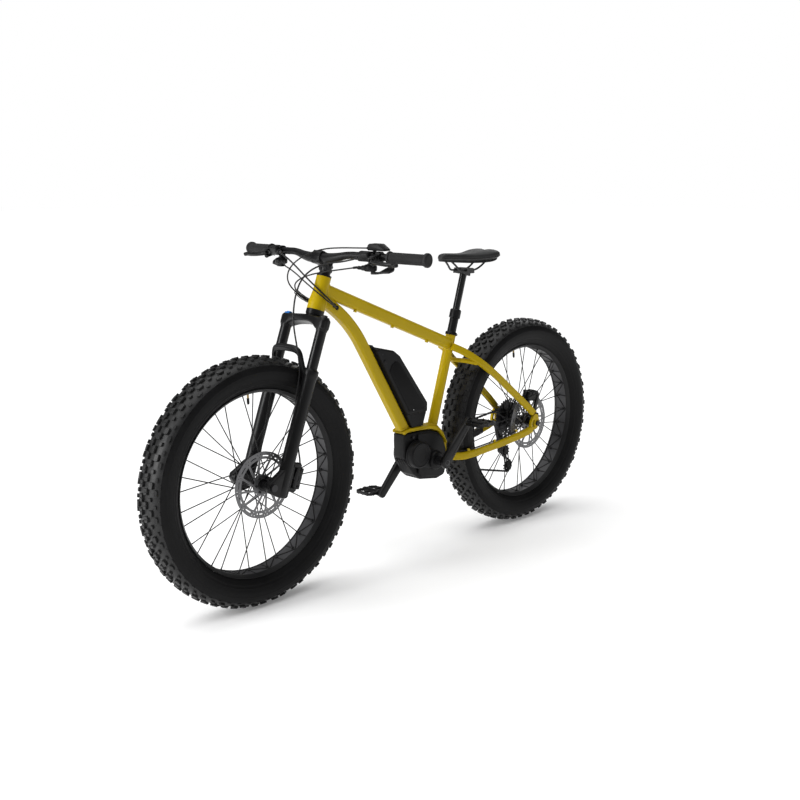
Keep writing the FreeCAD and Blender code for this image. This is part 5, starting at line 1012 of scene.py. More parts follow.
def nurbs(route, res=8):
    """Points of a smooth line whose control points are the route."""
    cu = bpy.data.curves.new("route", "CURVE")
    cu.dimensions = "3D"
    s = cu.splines.new("NURBS")
    s.points.add(len(route) - 1)
    for p, q in zip(s.points, route):
        p.co = (q[0] * 0.001, q[1] * 0.001, q[2] * 0.001, 1.0)
    s.order_u = 3
    s.use_endpoint_u = True
    s.resolution_u = res
    ob = bpy.data.objects.new("route", cu)
    SC.collection.objects.link(ob)
    bpy.context.view_layer.update()
    me = bpy.data.meshes.new_from_object(ob)
    pts = [v.co * 1000.0 for v in me.vertices]
    bpy.data.objects.remove(ob)
    bpy.data.curves.remove(cu)
    bpy.data.meshes.remove(me)
    return pts


rp = nurbs(rail)
sh.tube(rp, 3.4, 12, mat=1)
sh.tube([(p.x, -p.y, p.z) for p in rp], 3.4, 12, mat=1)
sh.done("saddle_shell_rails", [PLAST, DSTEEL], "saddle_post", "dark_plastic", ["saddle"], angle=40)

# ------------------------------------------------------------------ grips
gb = Build()
for side in (1, -1):
    s0 = 405.0 - 138.0 * GDIR.y
    o, d = along_bar(s0, side), bar_axis(side)
    prof = [(11.15, 0.0), (18.2, 0.0), (19.0, 0.8), (19.0, 6.6), (18.3, 7.4), (16.2, 7.8)]
    h = 9.0
    while h < 126.0:
        prof += [(15.9, h), (16.5, h + 0.7), (16.5, h + 2.3), (15.9, h + 3.0)]
        h += 3.6
    prof += [(16.4, 128.0), (17.2, 130.0), (20.2, 131.6), (21.0, 133.0), (21.0, 139.2), (20.2, 140.8), (18.0, 142.2), (13.0, 142.8), (12.4, 142.2), (0.0, 142.2)]
    prof += [(0.0, 138.6), (11.15, 138.4)]
    gb.lathe(prof, o, d, 48, 0, closed=True)
    gb.bolt(o + d * 3.6 + Vector((0.0, 0.0, 18.2)) - Vector((0, 0, 0)), (0.0, 0.0, 1.0), 2.4, 1.6, 1, 12)
gb.done("grips_ribbed", [GRIP, DSTEEL], "steering", "grip_rubber", ["grips"], angle=40)

# ------------------------------------------------------------------ hoses and cables
ROUTES = {
    "assist_lead": ([(320.3, 193.3, 1074.1), (332, 150, 1073), (354, 108, 1073), (386, 66, 1070), (418, 28, 1055), (442, -4, 1031), (450, -30, 1000),
                     (438, -46, 966), (404, -52, 934), (362, -48, 908), (324, -32, 892), (297, -13.5, 885)], 2.2),
    "dropper_cable": ([(352.4, 167.9, 1017.5), (380, 126, 1010), (407, 84, 1003), (431, 42, 992), (439, 4, 976), (428, -28, 956), (398, -46, 928),
                       (358, -52, 902), (320, -38, 886), (291, -13.5, 880)], 2.2),
    "rear_brake_hose": ([(356.4, -181.3, 1045.9), (364, -140, 1034), (374, -104, 1022), (381, -66, 1005), (382, -28, 981), (374, 8, 953), (354, 32, 924),
                         (324, 34, 898), (297, 13.5, 886)], 2.6),
    "gear_cable": ([(352.4, -167.9, 1017.5), (380, -130, 1008), (390, -96, 1003), (395, -58, 990), (394, -20, 968), (382, 14, 942), (356, 36, 913),
                    (322, 36, 890), (290, 13.5, 880)], 2.2)}
for name, (route, r) in ROUTES.items():
    pts = nurbs(route, 10)
    cb = Build()
    cb.tube(pts, r, 12)
    # ferrule at the control end
    d = (pts[0] - pts[1]).normalized()
    cb.lathe([(0.0, -3.0), (r + 1.5, -3.0), (r + 1.5, 7.0), (r + 0.5, 10.0), (0.0, 10.0)], pts[0], -d, 16, 1, closed=False)
    if name == "assist_lead":
        # spiral wrap that gathers the two lines before the frame
        other = nurbs(ROUTES["dropper_cable"][0], 10)
        mid = []
        for i in range(int(len(pts) * 0.6), int(len(pts) * 0.97)):
            q = min(other, key=lambda w: (w - pts[i]).length)
            if (q - pts[i]).length < 10.5:
                mid.append((pts[i] + q) / 2)
        hel = []
        L = 0.0
        for i in range(len(mid) - 1):
            t = (mid[i + 1] - mid[i]).normalized()
            u = t.cross(Vector((0, 0, 1))).normalized()
            v = t.cross(u)
            for k in range(6):
                f = k / 6
                p = mid[i].lerp(mid[i + 1], f)
                ph = (L + (mid[i + 1] - mid[i]).length * f) / 5.6 * 2 * math.pi
                hel.append(p + (u * math.cos(ph) + v * math.sin(ph)) * 6.9)
            L += (mid[i + 1] - mid[i]).length
        cb.tube(hel, 1.3, 6)
    ob = cb.done(name + "_line", [HOSE, PLAST], "steering", "hose_plastic", [], ride=False, angle=50)
    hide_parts("control_cables")
    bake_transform(ob)

rearl = Build()
hose_r = nurbs([(-213, 46, 337), (-262, 66, 334), (-330, 74, 341.5), (-420, 77, 349.5), (-500, 79.5, 359.5), (-552, 79, 374), (-576, 74.5, 412), (-581, 67, 456),
                (-581, 59.5, 494), (-602.4, 56, 501.8)], 10)
rearl.tube(hose_r, 2.6, 12)
gear_r = nurbs([(-588, -106, 349), (-628, -119.5, 353), (-672, -123, 338), (-684, -116, 300), (-672, -105, 274), (-656.8, -93, 262)], 10)
rearl.tube(gear_r, 2.2, 12)
for pts in (hose_r, gear_r):
    for p, q in ((pts[0], pts[1]), (pts[-1], pts[-2])):
        rearl.lathe([(0.0, -2.0), (4.0, -2.0), (4.0, 7.0), (3.0, 9.5), (0.0, 9.5)], p, q - p, 16, 1, closed=False)
rearl.done("rear_lines", [HOSE, PLAST], "frame", "hose_plastic", ["control_cables"], angle=50)

fh = nurbs([(356.4, 181.3, 1045.9), (368, 132, 1033), (394, 98, 1030), (430, 66, 1015), (456, 42, 984), (470, 30, 938), (480, 30, 890)]
           + [tuple(hp(*q)) for q in ((104, 41, -72), (97, 51, -101), (87, 58.5, -129), (78, 61, -148), (68, 63.5, -172), (58, 66, -200), (51, 66, -238), (42, 60.5, -282),
                                      (22, 57, -332), (-2, 55, -384), (-29, 51.5, -432), (-47, 49, -460), (-53, 47.5, -476.4))], 10)
fb = Build()
fb.tube(fh, 2.6, 12)
fb.lathe([(0.0, -3.0), (4.4, -3.0), (4.4, 7.0), (3.2, 10.0), (0.0, 10.0)], fh[0], fh[1] - fh[0], 16, 1, closed=False)
fb.lathe([(0.0, -3.0), (4.4, -3.0), (4.4, 8.0), (3.2, 11.0), (0.0, 11.0)], fh[-1], fh[-2] - fh[-1], 16, 1, closed=False)
fbo = fb.done("front_brake_line", [HOSE, PLAST], "steering", "hose_plastic", [], ride=False, angle=50)
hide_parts("front_brake_hose")
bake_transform(fbo)

# ------------------------------------------------------------------ fork
fo = Build()
for sgn in (1, -1):
    o = hp(29.0, 83.0 * sgn, 0.0)
    fo.lathe([(0.0, -575.0), (15.5, -575.0), (18.6, -573.4), (19.8, -570.0), (20.3, -540.0), (20.9, -480.0), (21.0, -400.0), (21.0, -222.0), (21.7, -214.0),
              (23.2, -206.0), (23.5, -203.0), (23.5, -190.4), (23.0, -188.4), (21.4, -187.2), (19.0, -187.0), (18.9, -185.2), (18.2, -184.4), (17.2, -184.2), (16.8, -186.0),
              (16.8, -560.0), (0.0, -560.0)], o, AX, 48, 0, closed=False)
    lug = fillet([(8, -577), (38, -579), (76, -573), (90, -561), (90, -545), (78, -533), (50, -498), (8, -470)], [9, 8, 12, 8, 8, 10, 14, 4], 4)
    fo.prism(lug, 75.5, 98.6, 4.5, 3, 0, lambda p, g=sgn: hp(p[0], p[2] * g, p[1]))
    # boss round the axle
    fa = Vector((FC[0], 0.0, FC[1]))
    fo.lathe([(8.2, 70.0 * sgn), (14.5, 70.0 * sgn), (16.0, 72.0 * sgn), (16.0, 97.4 * sgn), (14.8, 98.8 * sgn), (8.2, 98.8 * sgn)], fa, (0, 1, 0), 36)
    # stiffening rib down the back of the leg
    rib_o = [(6.5, -560.0), (9.5, -564.0), (14.0, -250.0), (9.0, -244.0)]
    fo.prism(fillet(rib_o, 1.6, 2), -4.0, 4.0, 0.8, 2, 0, lambda p, g=sgn: hp(p[0], 83.0 * g + p[2], p[1]))
lean = math.atan2(37.0, 80.0)
A_V = NX * math.sin(lean) + AX * math.cos(lean)
A_W = NX * math.cos(lean) - AX * math.sin(lean)
ah = [(92, -28), (86, 0), (77, 24), (71.8, 42), (68, 63), (61, 79.5), (46, 89.5), (24, 93), (0, 93.6)]
ai = [(63, -28), (62, 0), (60.2, 22), (58.8, 38), (57, 54), (50.5, 66), (36, 71.2), (19, 72.2), (0, 72.4)]
ah = catmull([(x, z, 0) for x, z in ah + [(-x, z) for x, z in reversed(ah[:-1])]], 4)
ai = catmull([(x, z, 0) for x, z in ai + [(-x, z) for x, z in reversed(ai[:-1])]], 4)


def arch_at(po, pi, t, w):
    q = po.lerp(pi, t / (pi - po).length)
    return hp(46.0, 0.0, -215.0) + YP * q.x + A_V * q.y + A_W * w


body_r, web_r = [], []
for po, pi in zip(ah, ai):
    wide = (pi - po).length
    body_r.append([arch_at(po, pi, t, w) for t, w in fillet([(0.0, -14.0), (wide, -14.0), (wide, 0.0), (0.0, 0.0)], 4.4, 3)])
    web_r.append([arch_at(po, pi, wide * f, w) for f, w in ((0.36, -1.0), (0.36, 1.0), (0.41, 1.8), (0.53, 1.8), (0.58, 1.0), (0.58, -1.0))])
fo.rings(body_r)
# raised web along the front of the arch
fo.rings(web_r[8:-8])
for a in (-481.0, -557.0):
    fo.rbox((-27.6, 61.0, a), (22.0, 79.0, a + 15.0), 4.0, 2.0, 0, 2, 0, head_T)
# hose guide on the left leg
fo.rbox((16.0, 52.6, -338.0), (30.0, 66.0, -328.0), 3.0, 1.5, 2, 2, 0, head_T)
fo.done("fork_lowers_cast", BLACK, "fork_slider", "black_paint", ["fork_lowers"], angle=40)

cr = Build()
CROWN = [(-100.4, 21.0, 37.0, -59.0, -33.0), (-98.8, 15.8, 42.2, -62.0, -30.0), (-92.0, 11.2, 47.0, -64.0, -28.0), (-72.0, 9.0, 48.5, -64.0, -26.5), (-62.0, 5.0, 48.5, -59.0, -25.0),
         (-50.0, -4.0, 47.0, -52.0, -24.0), (-36.0, -14.0, 45.0, -47.5, -23.0), (-20.0, -23.0, 43.5, -45.0, -21.5), (0.0, -26.0, 42.0, -44.5, -20.5)]
CROWN = CROWN + [(-y, n0, n1, a0, a1) for y, n0, n1, a0, a1 in reversed(CROWN[:-1])]
mid_c = catmull([(c[0], c[1], c[2]) for c in CROWN], 3)
mid_d = catmull([(c[3], c[4], 0.0) for c in CROWN], 3)
rings_c = []
for c, d in zip(mid_c, mid_d):
    y, n0, n1 = c
    a0, a1 = d.x, d.y
    ring_ = []
    for k in range(36):
        t = 2 * math.pi * k / 36
        cc, ss_ = math.cos(t), math.sin(t)
        e = 0.42
        n_ = (n0 + n1) / 2 + (n1 - n0) / 2 * abs(cc) ** e * (1 if cc >= 0 else -1)
        a_ = (a0 + a1) / 2 + (a1 - a0) / 2 * abs(ss_) ** e * (1 if ss_ >= 0 else -1)
        ring_.append(tuple(hp(n_, y, a_)))
    rings_c.append(ring_)
cr.rings(rings_c)
for sgn in (1, -1):
    cr.lathe([(16.4, -67.0), (17.4, -67.0), (17.9, -65.8), (18.0, -58.0), (18.0, -32.0), (17.0, -28.2), (15.2, -28.0)], hp(29.0, 83.0 * sgn, 0.0), AX, 40)
cr.lathe([(0.0, -43.2), (20.0, -43.2), (24.0, -42.4), (26.4, -40.0), (26.4, -22.0), (24.6, -21.4), (24.6, -20.0), (26.4, -19.4), (26.4, -16.6), (25.6, -15.6), (0.0, -15.6)],
         hp(0, 0, 0), AX, 48, 0, closed=False)
cr.done("fork_crown_forged", BLACK, "steering", "black_paint", ["fork_crown"], angle=40)

# stanchions, the air cap on the left one and the damper dial on the right one
stn = Build()
for sgn in (1, -1):
    stn.lathe([(14.0, -366.0), (16.4, -366.0), (16.6, -365.4), (16.6, -31.0), (14.0, -31.0)], hp(29.0, 83.0 * sgn, 0.0), AX, 48, 0)
stn.lathe([(0.0, -40.0), (14.0, -40.0), (14.0, -28.0), (15.4, -28.0), (15.4, -25.2), (14.4, -24.0), (8.6, -23.4), (8.0, -19.2), (7.2, -18.4), (0.0, -18.4)], hp(29.0, 83.0, 0.0), AX, 40, 1, closed=False)
stn.done("stanchions_polished", [STAN, ANOD], "steering", "dark_anodised", ["stanchions"], angle=40)
dial = Build()
dial.lathe([(0.0, -28.2), (13.0, -28.2), (13.4, -27.6), (13.4, -23.8), (12.6, -22.8), (8.6, -22.2), (8.2, -20.2), (7.2, -19.4), (0.0, -19.4)], hp(29.0, -83.0, 0.0), AX, 40, 0, closed=False)
for k in range(12):
    t = 2 * math.pi * (k + 0.5) / 12
    dial.lathe([(0.0, -27.0), (1.5, -27.0), (1.5, -24.4), (0.0, -23.8)], hp(29.0 + 13.2 * math.cos(t), -83.0 + 13.2 * math.sin(t), 0.0), AX, 8, 0, closed=False)
dial.rbox((39.0, -86.0, -27.4), (46.0, -80.0, -23.4), 2.0, 1.0, 2, 2, 0, head_T)
dial.done("lockout_dial", BLUE, "lockout", "blue_anodised", ["lockout_knob"], angle=40)

# ------------------------------------------------------------------ calipers
fcal = Build()
fcal.rbox((-62.0, 36.0, -547.0), (-17.0, 42.2, -479.0), 9.0, 2.4, 1, 3, 0, head_T)
fcal.rbox((-62.0, 49.8, -547.0), (-17.0, 60.0, -479.0), 9.0, 3.0, 1, 3, 0, head_T)
for a0, a1 in ((-546.0, -530.0), (-520.5, -505.5), (-496.0, -480.0)):
    fcal.rbox((-64.0, 37.0, a0), (-43.0, 59.0, a1), 4.0, 2.0, 2, 2, 0, head_T)
fcal.rbox((-41.5, 52.0, -558.0), (-28.4, 66.0, -465.0), 5.0, 2.0, 0, 2, 0, head_T)
fcal.lathe([(0.0, 58.0), (15.5, 58.0), (15.5, 60.6), (14.4, 61.8), (11.0, 61.8), (10.2, 61.0), (0.0, 61.0)], hp(-38.0, 0, -513.0), (0, 1, 0), 36, 0, closed=False)
for a in (-473.5, -549.5):
    fcal.bolt(hp(-41.4, 59.0, a), -NX, 4.4, 6.0, 1)
for a in (-538.0, -488.0):
    fcal.bolt(hp(-54.0, 59.4, a), YP, 3.6, 3.2, 1)
fcal.lathe([(0.0, -6.0), (5.6, -6.0), (6.2, -5.0), (6.2, 5.0), (5.6, 6.0), (0.0, 6.0)], hp(-53.0, 47.5, -481.0), (0, 1, 0), 24, 1, closed=False)
# brake pads with finned plates in the slot
for y0, y1 in ((42.4, 44.6), (47.4, 49.6)):
    fcal.rbox((-38.0, y0, -538.0), (-18.0, y1, -488.0), 4.0, 0.5, 1, 1, 1, head_T)
for k in range(4):
    fcal.rbox((-70.0, 42.6, -528.0 + 8 * k), (-42.0, 49.4, -525.6 + 8 * k), 0.8, 0.3, 0, 1, 1, head_T)
fcal.done("front_caliper_body", [BLACK, DSTEEL], "fork_slider", "black_paint", ["front_caliper"], angle=40)

_c8, _s8 = math.cos(math.radians(8.0)), math.sin(math.radians(8.0))


def rc_T(p):
    return Vector((RC[0] + p[0] * _c8 - p[2] * _s8, p[1], RC[1] + p[0] * _s8 + p[2] * _c8))


rcal = Build()
cal_o = fillet([(-31, 86), (-33, 100), (-27, 114), (-12, 119), (10, 119), (26, 113), (33, 100), (31, 86), (14, 82), (-14, 82)], [5, 9, 9, 12, 12, 9, 9, 5, 8, 8], 4)
for y0, y1 in ((42.6, 52.0), (60.0, 70.2)):
    rcal.prism(cal_o, y0, y1, 3.2, 3, 0, lambda p: rc_T((p[0], p[2], p[1])))
for x0, x1, z1 in ((-29.0, -15.0, 114.0), (-6.5, 6.5, 120.4), (15.0, 29.0, 114.0)):
    rcal.rbox((x0, 45.0, 104.0), (x1, 68.0, z1), 4.0, 2.4, 0, 3, 0, rc_T)
rcal.lathe([(0.0, 68.0), (13.5, 68.0), (13.5, 71.0), (12.4, 72.0), (9.8, 72.0), (9.0, 71.2), (0.0, 71.2)], rc_T((0.0, 0.0, 101.0)), (0, 1, 0), 36, 0, closed=False)
for x in (-23.0, 23.0):
    rcal.bolt(rc_T((x, 69.8, 107.0)), YP, 3.6, 3.2, 1)
foot = fillet([(-648, 397), (-628, 397), (-618, 432), (-595, 464), (-598, 478), (-612, 480), (-650, 487), (-662, 486), (-665, 472), (-652, 430)], [4, 4, 12, 6, 5, 6, 6, 5, 6, 12], 3)
rcal.plate(foot, [fillet([(-640, 436), (-630, 426), (-608, 466), (-616, 472), (-650, 476), (-653, 470)], 4.0, 3)], 64.0, 73.0, 0)
rcal.rbox((-646.0, 63.0, 397.0), (-630.0, 88.4, 418.0), 4.0, 1.5, 1, 2, 0)
for p in ((-604.0, 471.0), (-656.0, 478.0)):
    rcal.bolt((p[0], 72.6, p[1]), YP, 4.4, 4.5, 1)
rcal.bolt((-638.0, 75.6, 408.0), YP, 4.0, 3.6, 1)
rcal.lathe([(0.0, -6.0), (5.6, -6.0), (6.2, -5.0), (6.2, 5.0), (5.6, 6.0), (0.0, 6.0)], (-602.4, 56.0, 501.0), (0, 1, 0), 24, 1, closed=False)
rcal.rbox((-611.0, 50.0, 484.0), (-596.0, 62.0, 499.0), 4.0, 2.0, 1, 2, 0)
for y0, y1 in ((52.2, 54.4), (57.6, 59.8)):
    rcal.rbox((-24.0, y0, 78.0), (24.0, y1, 106.0), 4.0, 0.5, 1, 1, 1, rc_T)
rcal.done("rear_caliper_body", [BLACK, DSTEEL], "frame", "black_paint", ["rear_caliper"], angle=40)

# ------------------------------------------------------------------ motor
MOT = [(5.5, 428), (6, 400), (4, 350), (-10, 325), (-36, 284), (-62, 264), (-146, 251), (-184, 260), (-194, 292), (-192, 352), (-177, 389), (-151, 416), (-109, 430.5),
       (-60, 434), (-10, 431.5)]
mo_out = fillet(MOT, [5, 10, 14, 10, 10, 16, 16, 14, 16, 24, 20, 20, 20, 20, 10], 4)


def motor_half(x):
    t = max(0.0, min(1.0, (x + 52.0) / 44.0))
    t = t * t * (3 - 2 * t)
    return 38.0 - 11.0 * t


mo = Build()
rings_ = []
for sgn, order in ((-1, range(5)), (1, range(4, -1, -1))):
    for k in order:
        t = math.pi / 2 * k / 4
        ins = inset(mo_out, 6.5 * (1 - math.sin(t)))
        rings_.append([(x, sgn * (motor_half(x) - 6.5 * (1 - math.cos(t))), z) for x, z in ins])
mo.rings(rings_)
# long ribs down the slanted chin
cd = Vector((-66.0, 0.0, -86.0)).normalized()
cn = Vector((0.7933, 0.0, -0.6088))
for y in (-18.0, -6.0, 6.0, 18.0):
    mo.rbox((10.0, y - 3.4, -4.0), (100.0, y + 3.4, 5.2), 2.6, 1.6, 2, 2, 0, lambda p: Vector((4.0, p[1], 350.0)) + cd * p[0] + cn * p[2])
# raised panel on each side, and the housing screws
panel = fillet([(-47, 425), (-62, 426), (-108, 422), (-145, 409), (-168, 385), (-182, 350), (-184, 296), (-175, 270), (-146, 261), (-68, 274), (-50, 287)],
               [3, 8, 16, 16, 16, 18, 14, 10, 12, 8, 6], 4)
for y0, y1 in ((35.0, 42.4), (-42.0, -35.0)):
    mo.prism(panel, y0, y1, 2.6, 3, 0)
for x, z in ((-178.0, 314.0), (-64.0, 418.0), (-146.0, 269.0)):
    mo.lathe([(0.0, -36.0), (6.4, -36.0), (6.4, -42.6), (5.6, -43.4), (0.0, -43.4)], (x, 0, z), (0, 1, 0), 24, 0, closed=False)
    mo.bolt((x, -43.0, z), (0, -1, 0), 3.8, 2.0, 1, 18)
mo.lathe([(0.0, 26.0), (6.4, 26.0), (6.4, 35.2), (5.6, 36.0), (0.0, 36.0)], (-30.0, 0, 417.0), (0, 1, 0), 24, 0, closed=False)
mo.bolt((-30.0, 35.8, 417.0), (0, 1, 0), 3.8, 1.6, 1, 18)
mo.done("motor_housing_cast", [PLAST, DSTEEL], "frame", "dark_plastic", ["motor_housing"], angle=40)

bk = Build()
BRK = [(6.5, 429.0), (7.0, 440.0), (-20.0, 447.4), (-110.0, 447.4), (-160.0, 437.4), (-191.4, 409.6), (-207.4, 370.0), (-209.4, 301.0), (-196.6, 298.0), (-196.1, 355.0),
       (-181.4, 391.6), (-154.3, 419.5), (-110.0, 434.4), (-60.0, 437.9), (-10.0, 435.4)]
brk = fillet(BRK, [2.5, 3, 14, 26, 24, 24, 26, 4, 4, 26, 24, 24, 26, 26, 14], 5)
bk.prism(brk, -24.0, 24.0, 2.0, 3)
SLIM = [(6.5, 429.0), (7.0, 440.0), (-20.0, 447.4), (-105.0, 446.6), (-138.0, 438.6), (-161.0, 423.5), (-180.0, 402.0), (-194.5, 372.0), (-191.5, 371.0), (-180.4, 391.0),
        (-154.3, 419.5), (-110.0, 434.4), (-60.0, 437.9), (-10.0, 435.4)]
slim = fillet(SLIM, [2.5, 3, 14, 26, 24, 24, 24, 1.2, 1.2, 10, 24, 26, 26, 14], 5)
rows_b = []
for sgn, order in ((-1, range(4)), (1, range(3, -1, -1))):
    for k in order:
        t = math.pi / 2 * k / 3
        rows_b.append([(x, sgn * (motor_half(x) + 2.0 - 1.4 * (1 - math.cos(t))), z) for x, z in inset(slim, 1.4 * (1 - math.sin(t)))])
bk.rings(rows_b)
bk.done("motor_bracket_cast", PAINT, "frame", "frame_paint", ["motor_bracket"], angle=40)

mc = Build()
mc.lathe([(0.0, 36.0), (48.0, 36.0), (48.0, 40.0), (46.2, 41.0), (46.0, 56.0), (45.6, 58.6), (44.4, 61.0), (42.0, 63.0), (40.0, 63.4), (38.6, 62.6), (38.0, 61.8), (25.0, 61.4),
          (24.2, 60.4), (0.0, 60.2)], (-42.0, 0.0, 357.0), (0, 1, 0), 72, 0, closed=False)
mc.lathe([(0.0, 36.0), (36.0, 36.0), (35.0, 41.0), (33.0, 44.0), (32.6, 55.0), (31.6, 58.6), (29.0, 61.0), (26.0, 61.9), (0.0, 61.9)], BB, (0, 1, 0), 64, 0, closed=False)
# swelling between the two round covers
c1, c2 = Vector((-42.0, 357.0)), Vector((BB.x, BB.z))
ax = (c2 - c1)
base_a = math.atan2(ax.y, ax.x)
r1, r2 = 41.0, 31.0
off = math.acos((r1 - r2) / ax.length)
hull = []
for k in range(13):
    t = base_a + off + (2 * math.pi - 2 * off) * k / 12
    hull.append((c1.x + r1 * math.cos(t), c1.y + r1 * math.sin(t)))
for k in range(13):
    t = base_a - off + 2 * off * k / 12
    hull.append((c2.x + r2 * math.cos(t), c2.y + r2 * math.sin(t)))
mc.prism(hull, 34.0, 52.0, 7.0, 4, 0)
mc.lathe([(0.0, -36.0), (59.0, -36.0), (59.0, -39.0), (58.0, -40.4), (57.6, -43.0), (55.6, -44.8), (50.0, -45.0), (49.0, -44.2), (0.0, -44.2)], (-70.0, 0.0, 352.0), (0, 1, 0), 72, 0, closed=False)
mc.lathe([(0.0, -36.0), (33.0, -36.0), (31.4, -42.0), (31.0, -49.0), (29.4, -51.4), (27.0, -52.0), (0.0, -52.0)], BB, (0, 1, 0), 56, 0, closed=False)
for k in range(6):
    t = math.radians(60 * k + 15)
    p = (-70.0 + 53.0 * math.cos(t), -44.6, 352.0 + 53.0 * math.sin(t))
    mc.bolt(p, (0, -1, 0), 3.0, 1.6, 1, 16)
mc.done("motor_covers_turned", [PLAST, DSTEEL], "frame", "dark_plastic", ["motor_covers"], angle=32)

# ------------------------------------------------------------------ battery


def dtp(t, off_):
    return (-18.8 + 0.5253 * t - 0.8509 * off_, 435.0 + 0.8509 * t + 0.5253 * off_)


BAT = [dtp(65, 22), dtp(335, 22), (124, 738), (58, 722), (30, 702), (-103, 527), (-102, 494.5), (-14, 494.5)]
BAT_R = [4.0, 10.0, 12.0, 22.0, 26.0, 16.0, 8.0, 6.0]


def bat_ring(d):
    return fillet(inset(BAT, d), [max(2.0, r - d) for r in BAT_R], 4)


bt = Build()
prof_b = [(9.0, 33.4), (6.0, 33.1), (3.6, 32.4), (1.6, 31.2), (0.5, 29.4), (0.0, 27.0)]
bt.rings([[(x, y, z) for x, z in bat_ring(d)] for d, y in prof_b] + [[(x, -y, z) for x, z in bat_ring(d)] for d, y in reversed(prof_b)], mat=1)
PANEL = fillet([(-12, 508), (82, 655), (70, 678), (50, 689), (34, 679), (-78, 531), (-86, 516), (-84, 508)], [4, 10, 12, 12, 14, 14, 6, 4], 4)
for y0, y1 in ((32.6, 34.9), (-34.9, -32.6)):
    bt.prism(PANEL, y0, y1, 0.9, 3, 0)
# seam between the two half shells
bt.rings([[(x, -0.7, z) for x, z in bat_ring(-0.35)], [(x, 0.7, z) for x, z in bat_ring(-0.35)]])
# key lock, charge lamp and carrying lip
bt.lathe([(0.0, 32.6), (7.6, 32.6), (7.6, 35.0), (6.8, 35.8), (4.8, 36.2), (4.2, 35.2), (0.0, 35.2)], (100.0, 0.0, 690.0), (0, 1, 0), 28, 1, closed=False)
bt.rbox((99.2, 34.8, 686.6), (100.8, 35.6, 693.4), 0.5, 0.2, 1, 1, 2)
bt.lathe([(0.0, 34.6), (1.9, 34.6), (1.9, 35.3), (1.3, 35.6), (0.0, 35.6)], (-31.0, 0.0, 512.0), (0, 1, 0), 14, 3, closed=False)
for k in range(5):
    bt.rbox((-36.0 - 7.0 * k - 2.6, 34.8, 510.8), (-36.0 - 7.0 * k + 2.0, 35.25, 513.0), 0.6, 0.15, 1, 1, 1)
for sgn in (1, -1):
    for x, z in ((-84.0, 512.0), (112.0, 716.0)):
        bt.bolt((x, 32.9 * sgn, z), (0, sgn, 0), 2.4, 1.2, 2, 12)
bt.done("battery_case_shell", [PLAST2, PLAST, DSTEEL, LED], "frame", "dark_plastic", ["battery_case"], angle=28)

# ------------------------------------------------------------------ cranks and pedals
ca = math.radians(133.0)
cra = Build()
for side in (1.0, -1.0):
    dx, dz = math.cos(ca) * side, math.sin(ca) * side

    def CT(p, dx=dx, dz=dz, side=side):
        return Vector((BB.x + p[0] * dx - p[1] * dz, side * p[2], BB.z + p[0] * dz + p[1] * dx))
    L = 172.5
    arm_o = fillet([(-20, -10), (-11, -19.5), (12, -19.5), (L - 34, -15.0), (L + 5, -14.5), (L + 14, -7), (L + 14, 7), (L + 5, 14.5), (L - 34, 15.0), (12, 19.5), (-11, 19.5), (-20, 10)],
                   [9, 9, 16, 24, 10, 7, 7, 10, 24, 16, 9, 9], 4)
    cra.prism(arm_o, 86.6, 103.6, 3.6, 3, 0, CT)
    # sunk panel's raised rim along the arm
    rim_o = fillet([(26, -9.4), (L - 26, -7.6), (L - 26, 7.6), (26, 9.4)], 6.0, 4)
    rim_i = fillet([(30, -6.6), (L - 30, -5.2), (L - 30, 5.2), (30, 6.6)], 4.0, 4)
    cra.plate(rim_o, [rim_i], 103.0, 104.2, 0, CT)
    cra.lathe([(0.0, 102.0), (12.0, 102.0), (12.0, 103.8), (11.0, 104.6), (7.0, 104.6), (6.4, 103.4), (0.0, 103.4)], CT((0, 0, 0)), (0, side, 0), 36, 1, closed=False)
    cra.lathe([(0.0, 102.4), (9.0, 102.4), (9.0, 103.5), (8.2, 104.2), (0.0, 104.2)], CT((L, 0, 0)), (0, side, 0), 28, 1, closed=False)
    cra.lathe([(0.0, 62.4), (16.0, 62.4), (16.5, 64.0), (16.5, 88.0), (17.0, 89.4), (0.0, 89.4)] if side > 0 else
              [(0.0, 72.4), (16.0, 72.4), (16.5, 74.0), (16.5, 88.0), (17.0, 89.4), (0.0, 89.4)], CT((0, 0, 0)), (0, side, 0), 36, 1, closed=False)
cra.done("crank_arms_forged", [BLACK, ANOD], "crank", "black_paint", ["crank_arms"], angle=40)

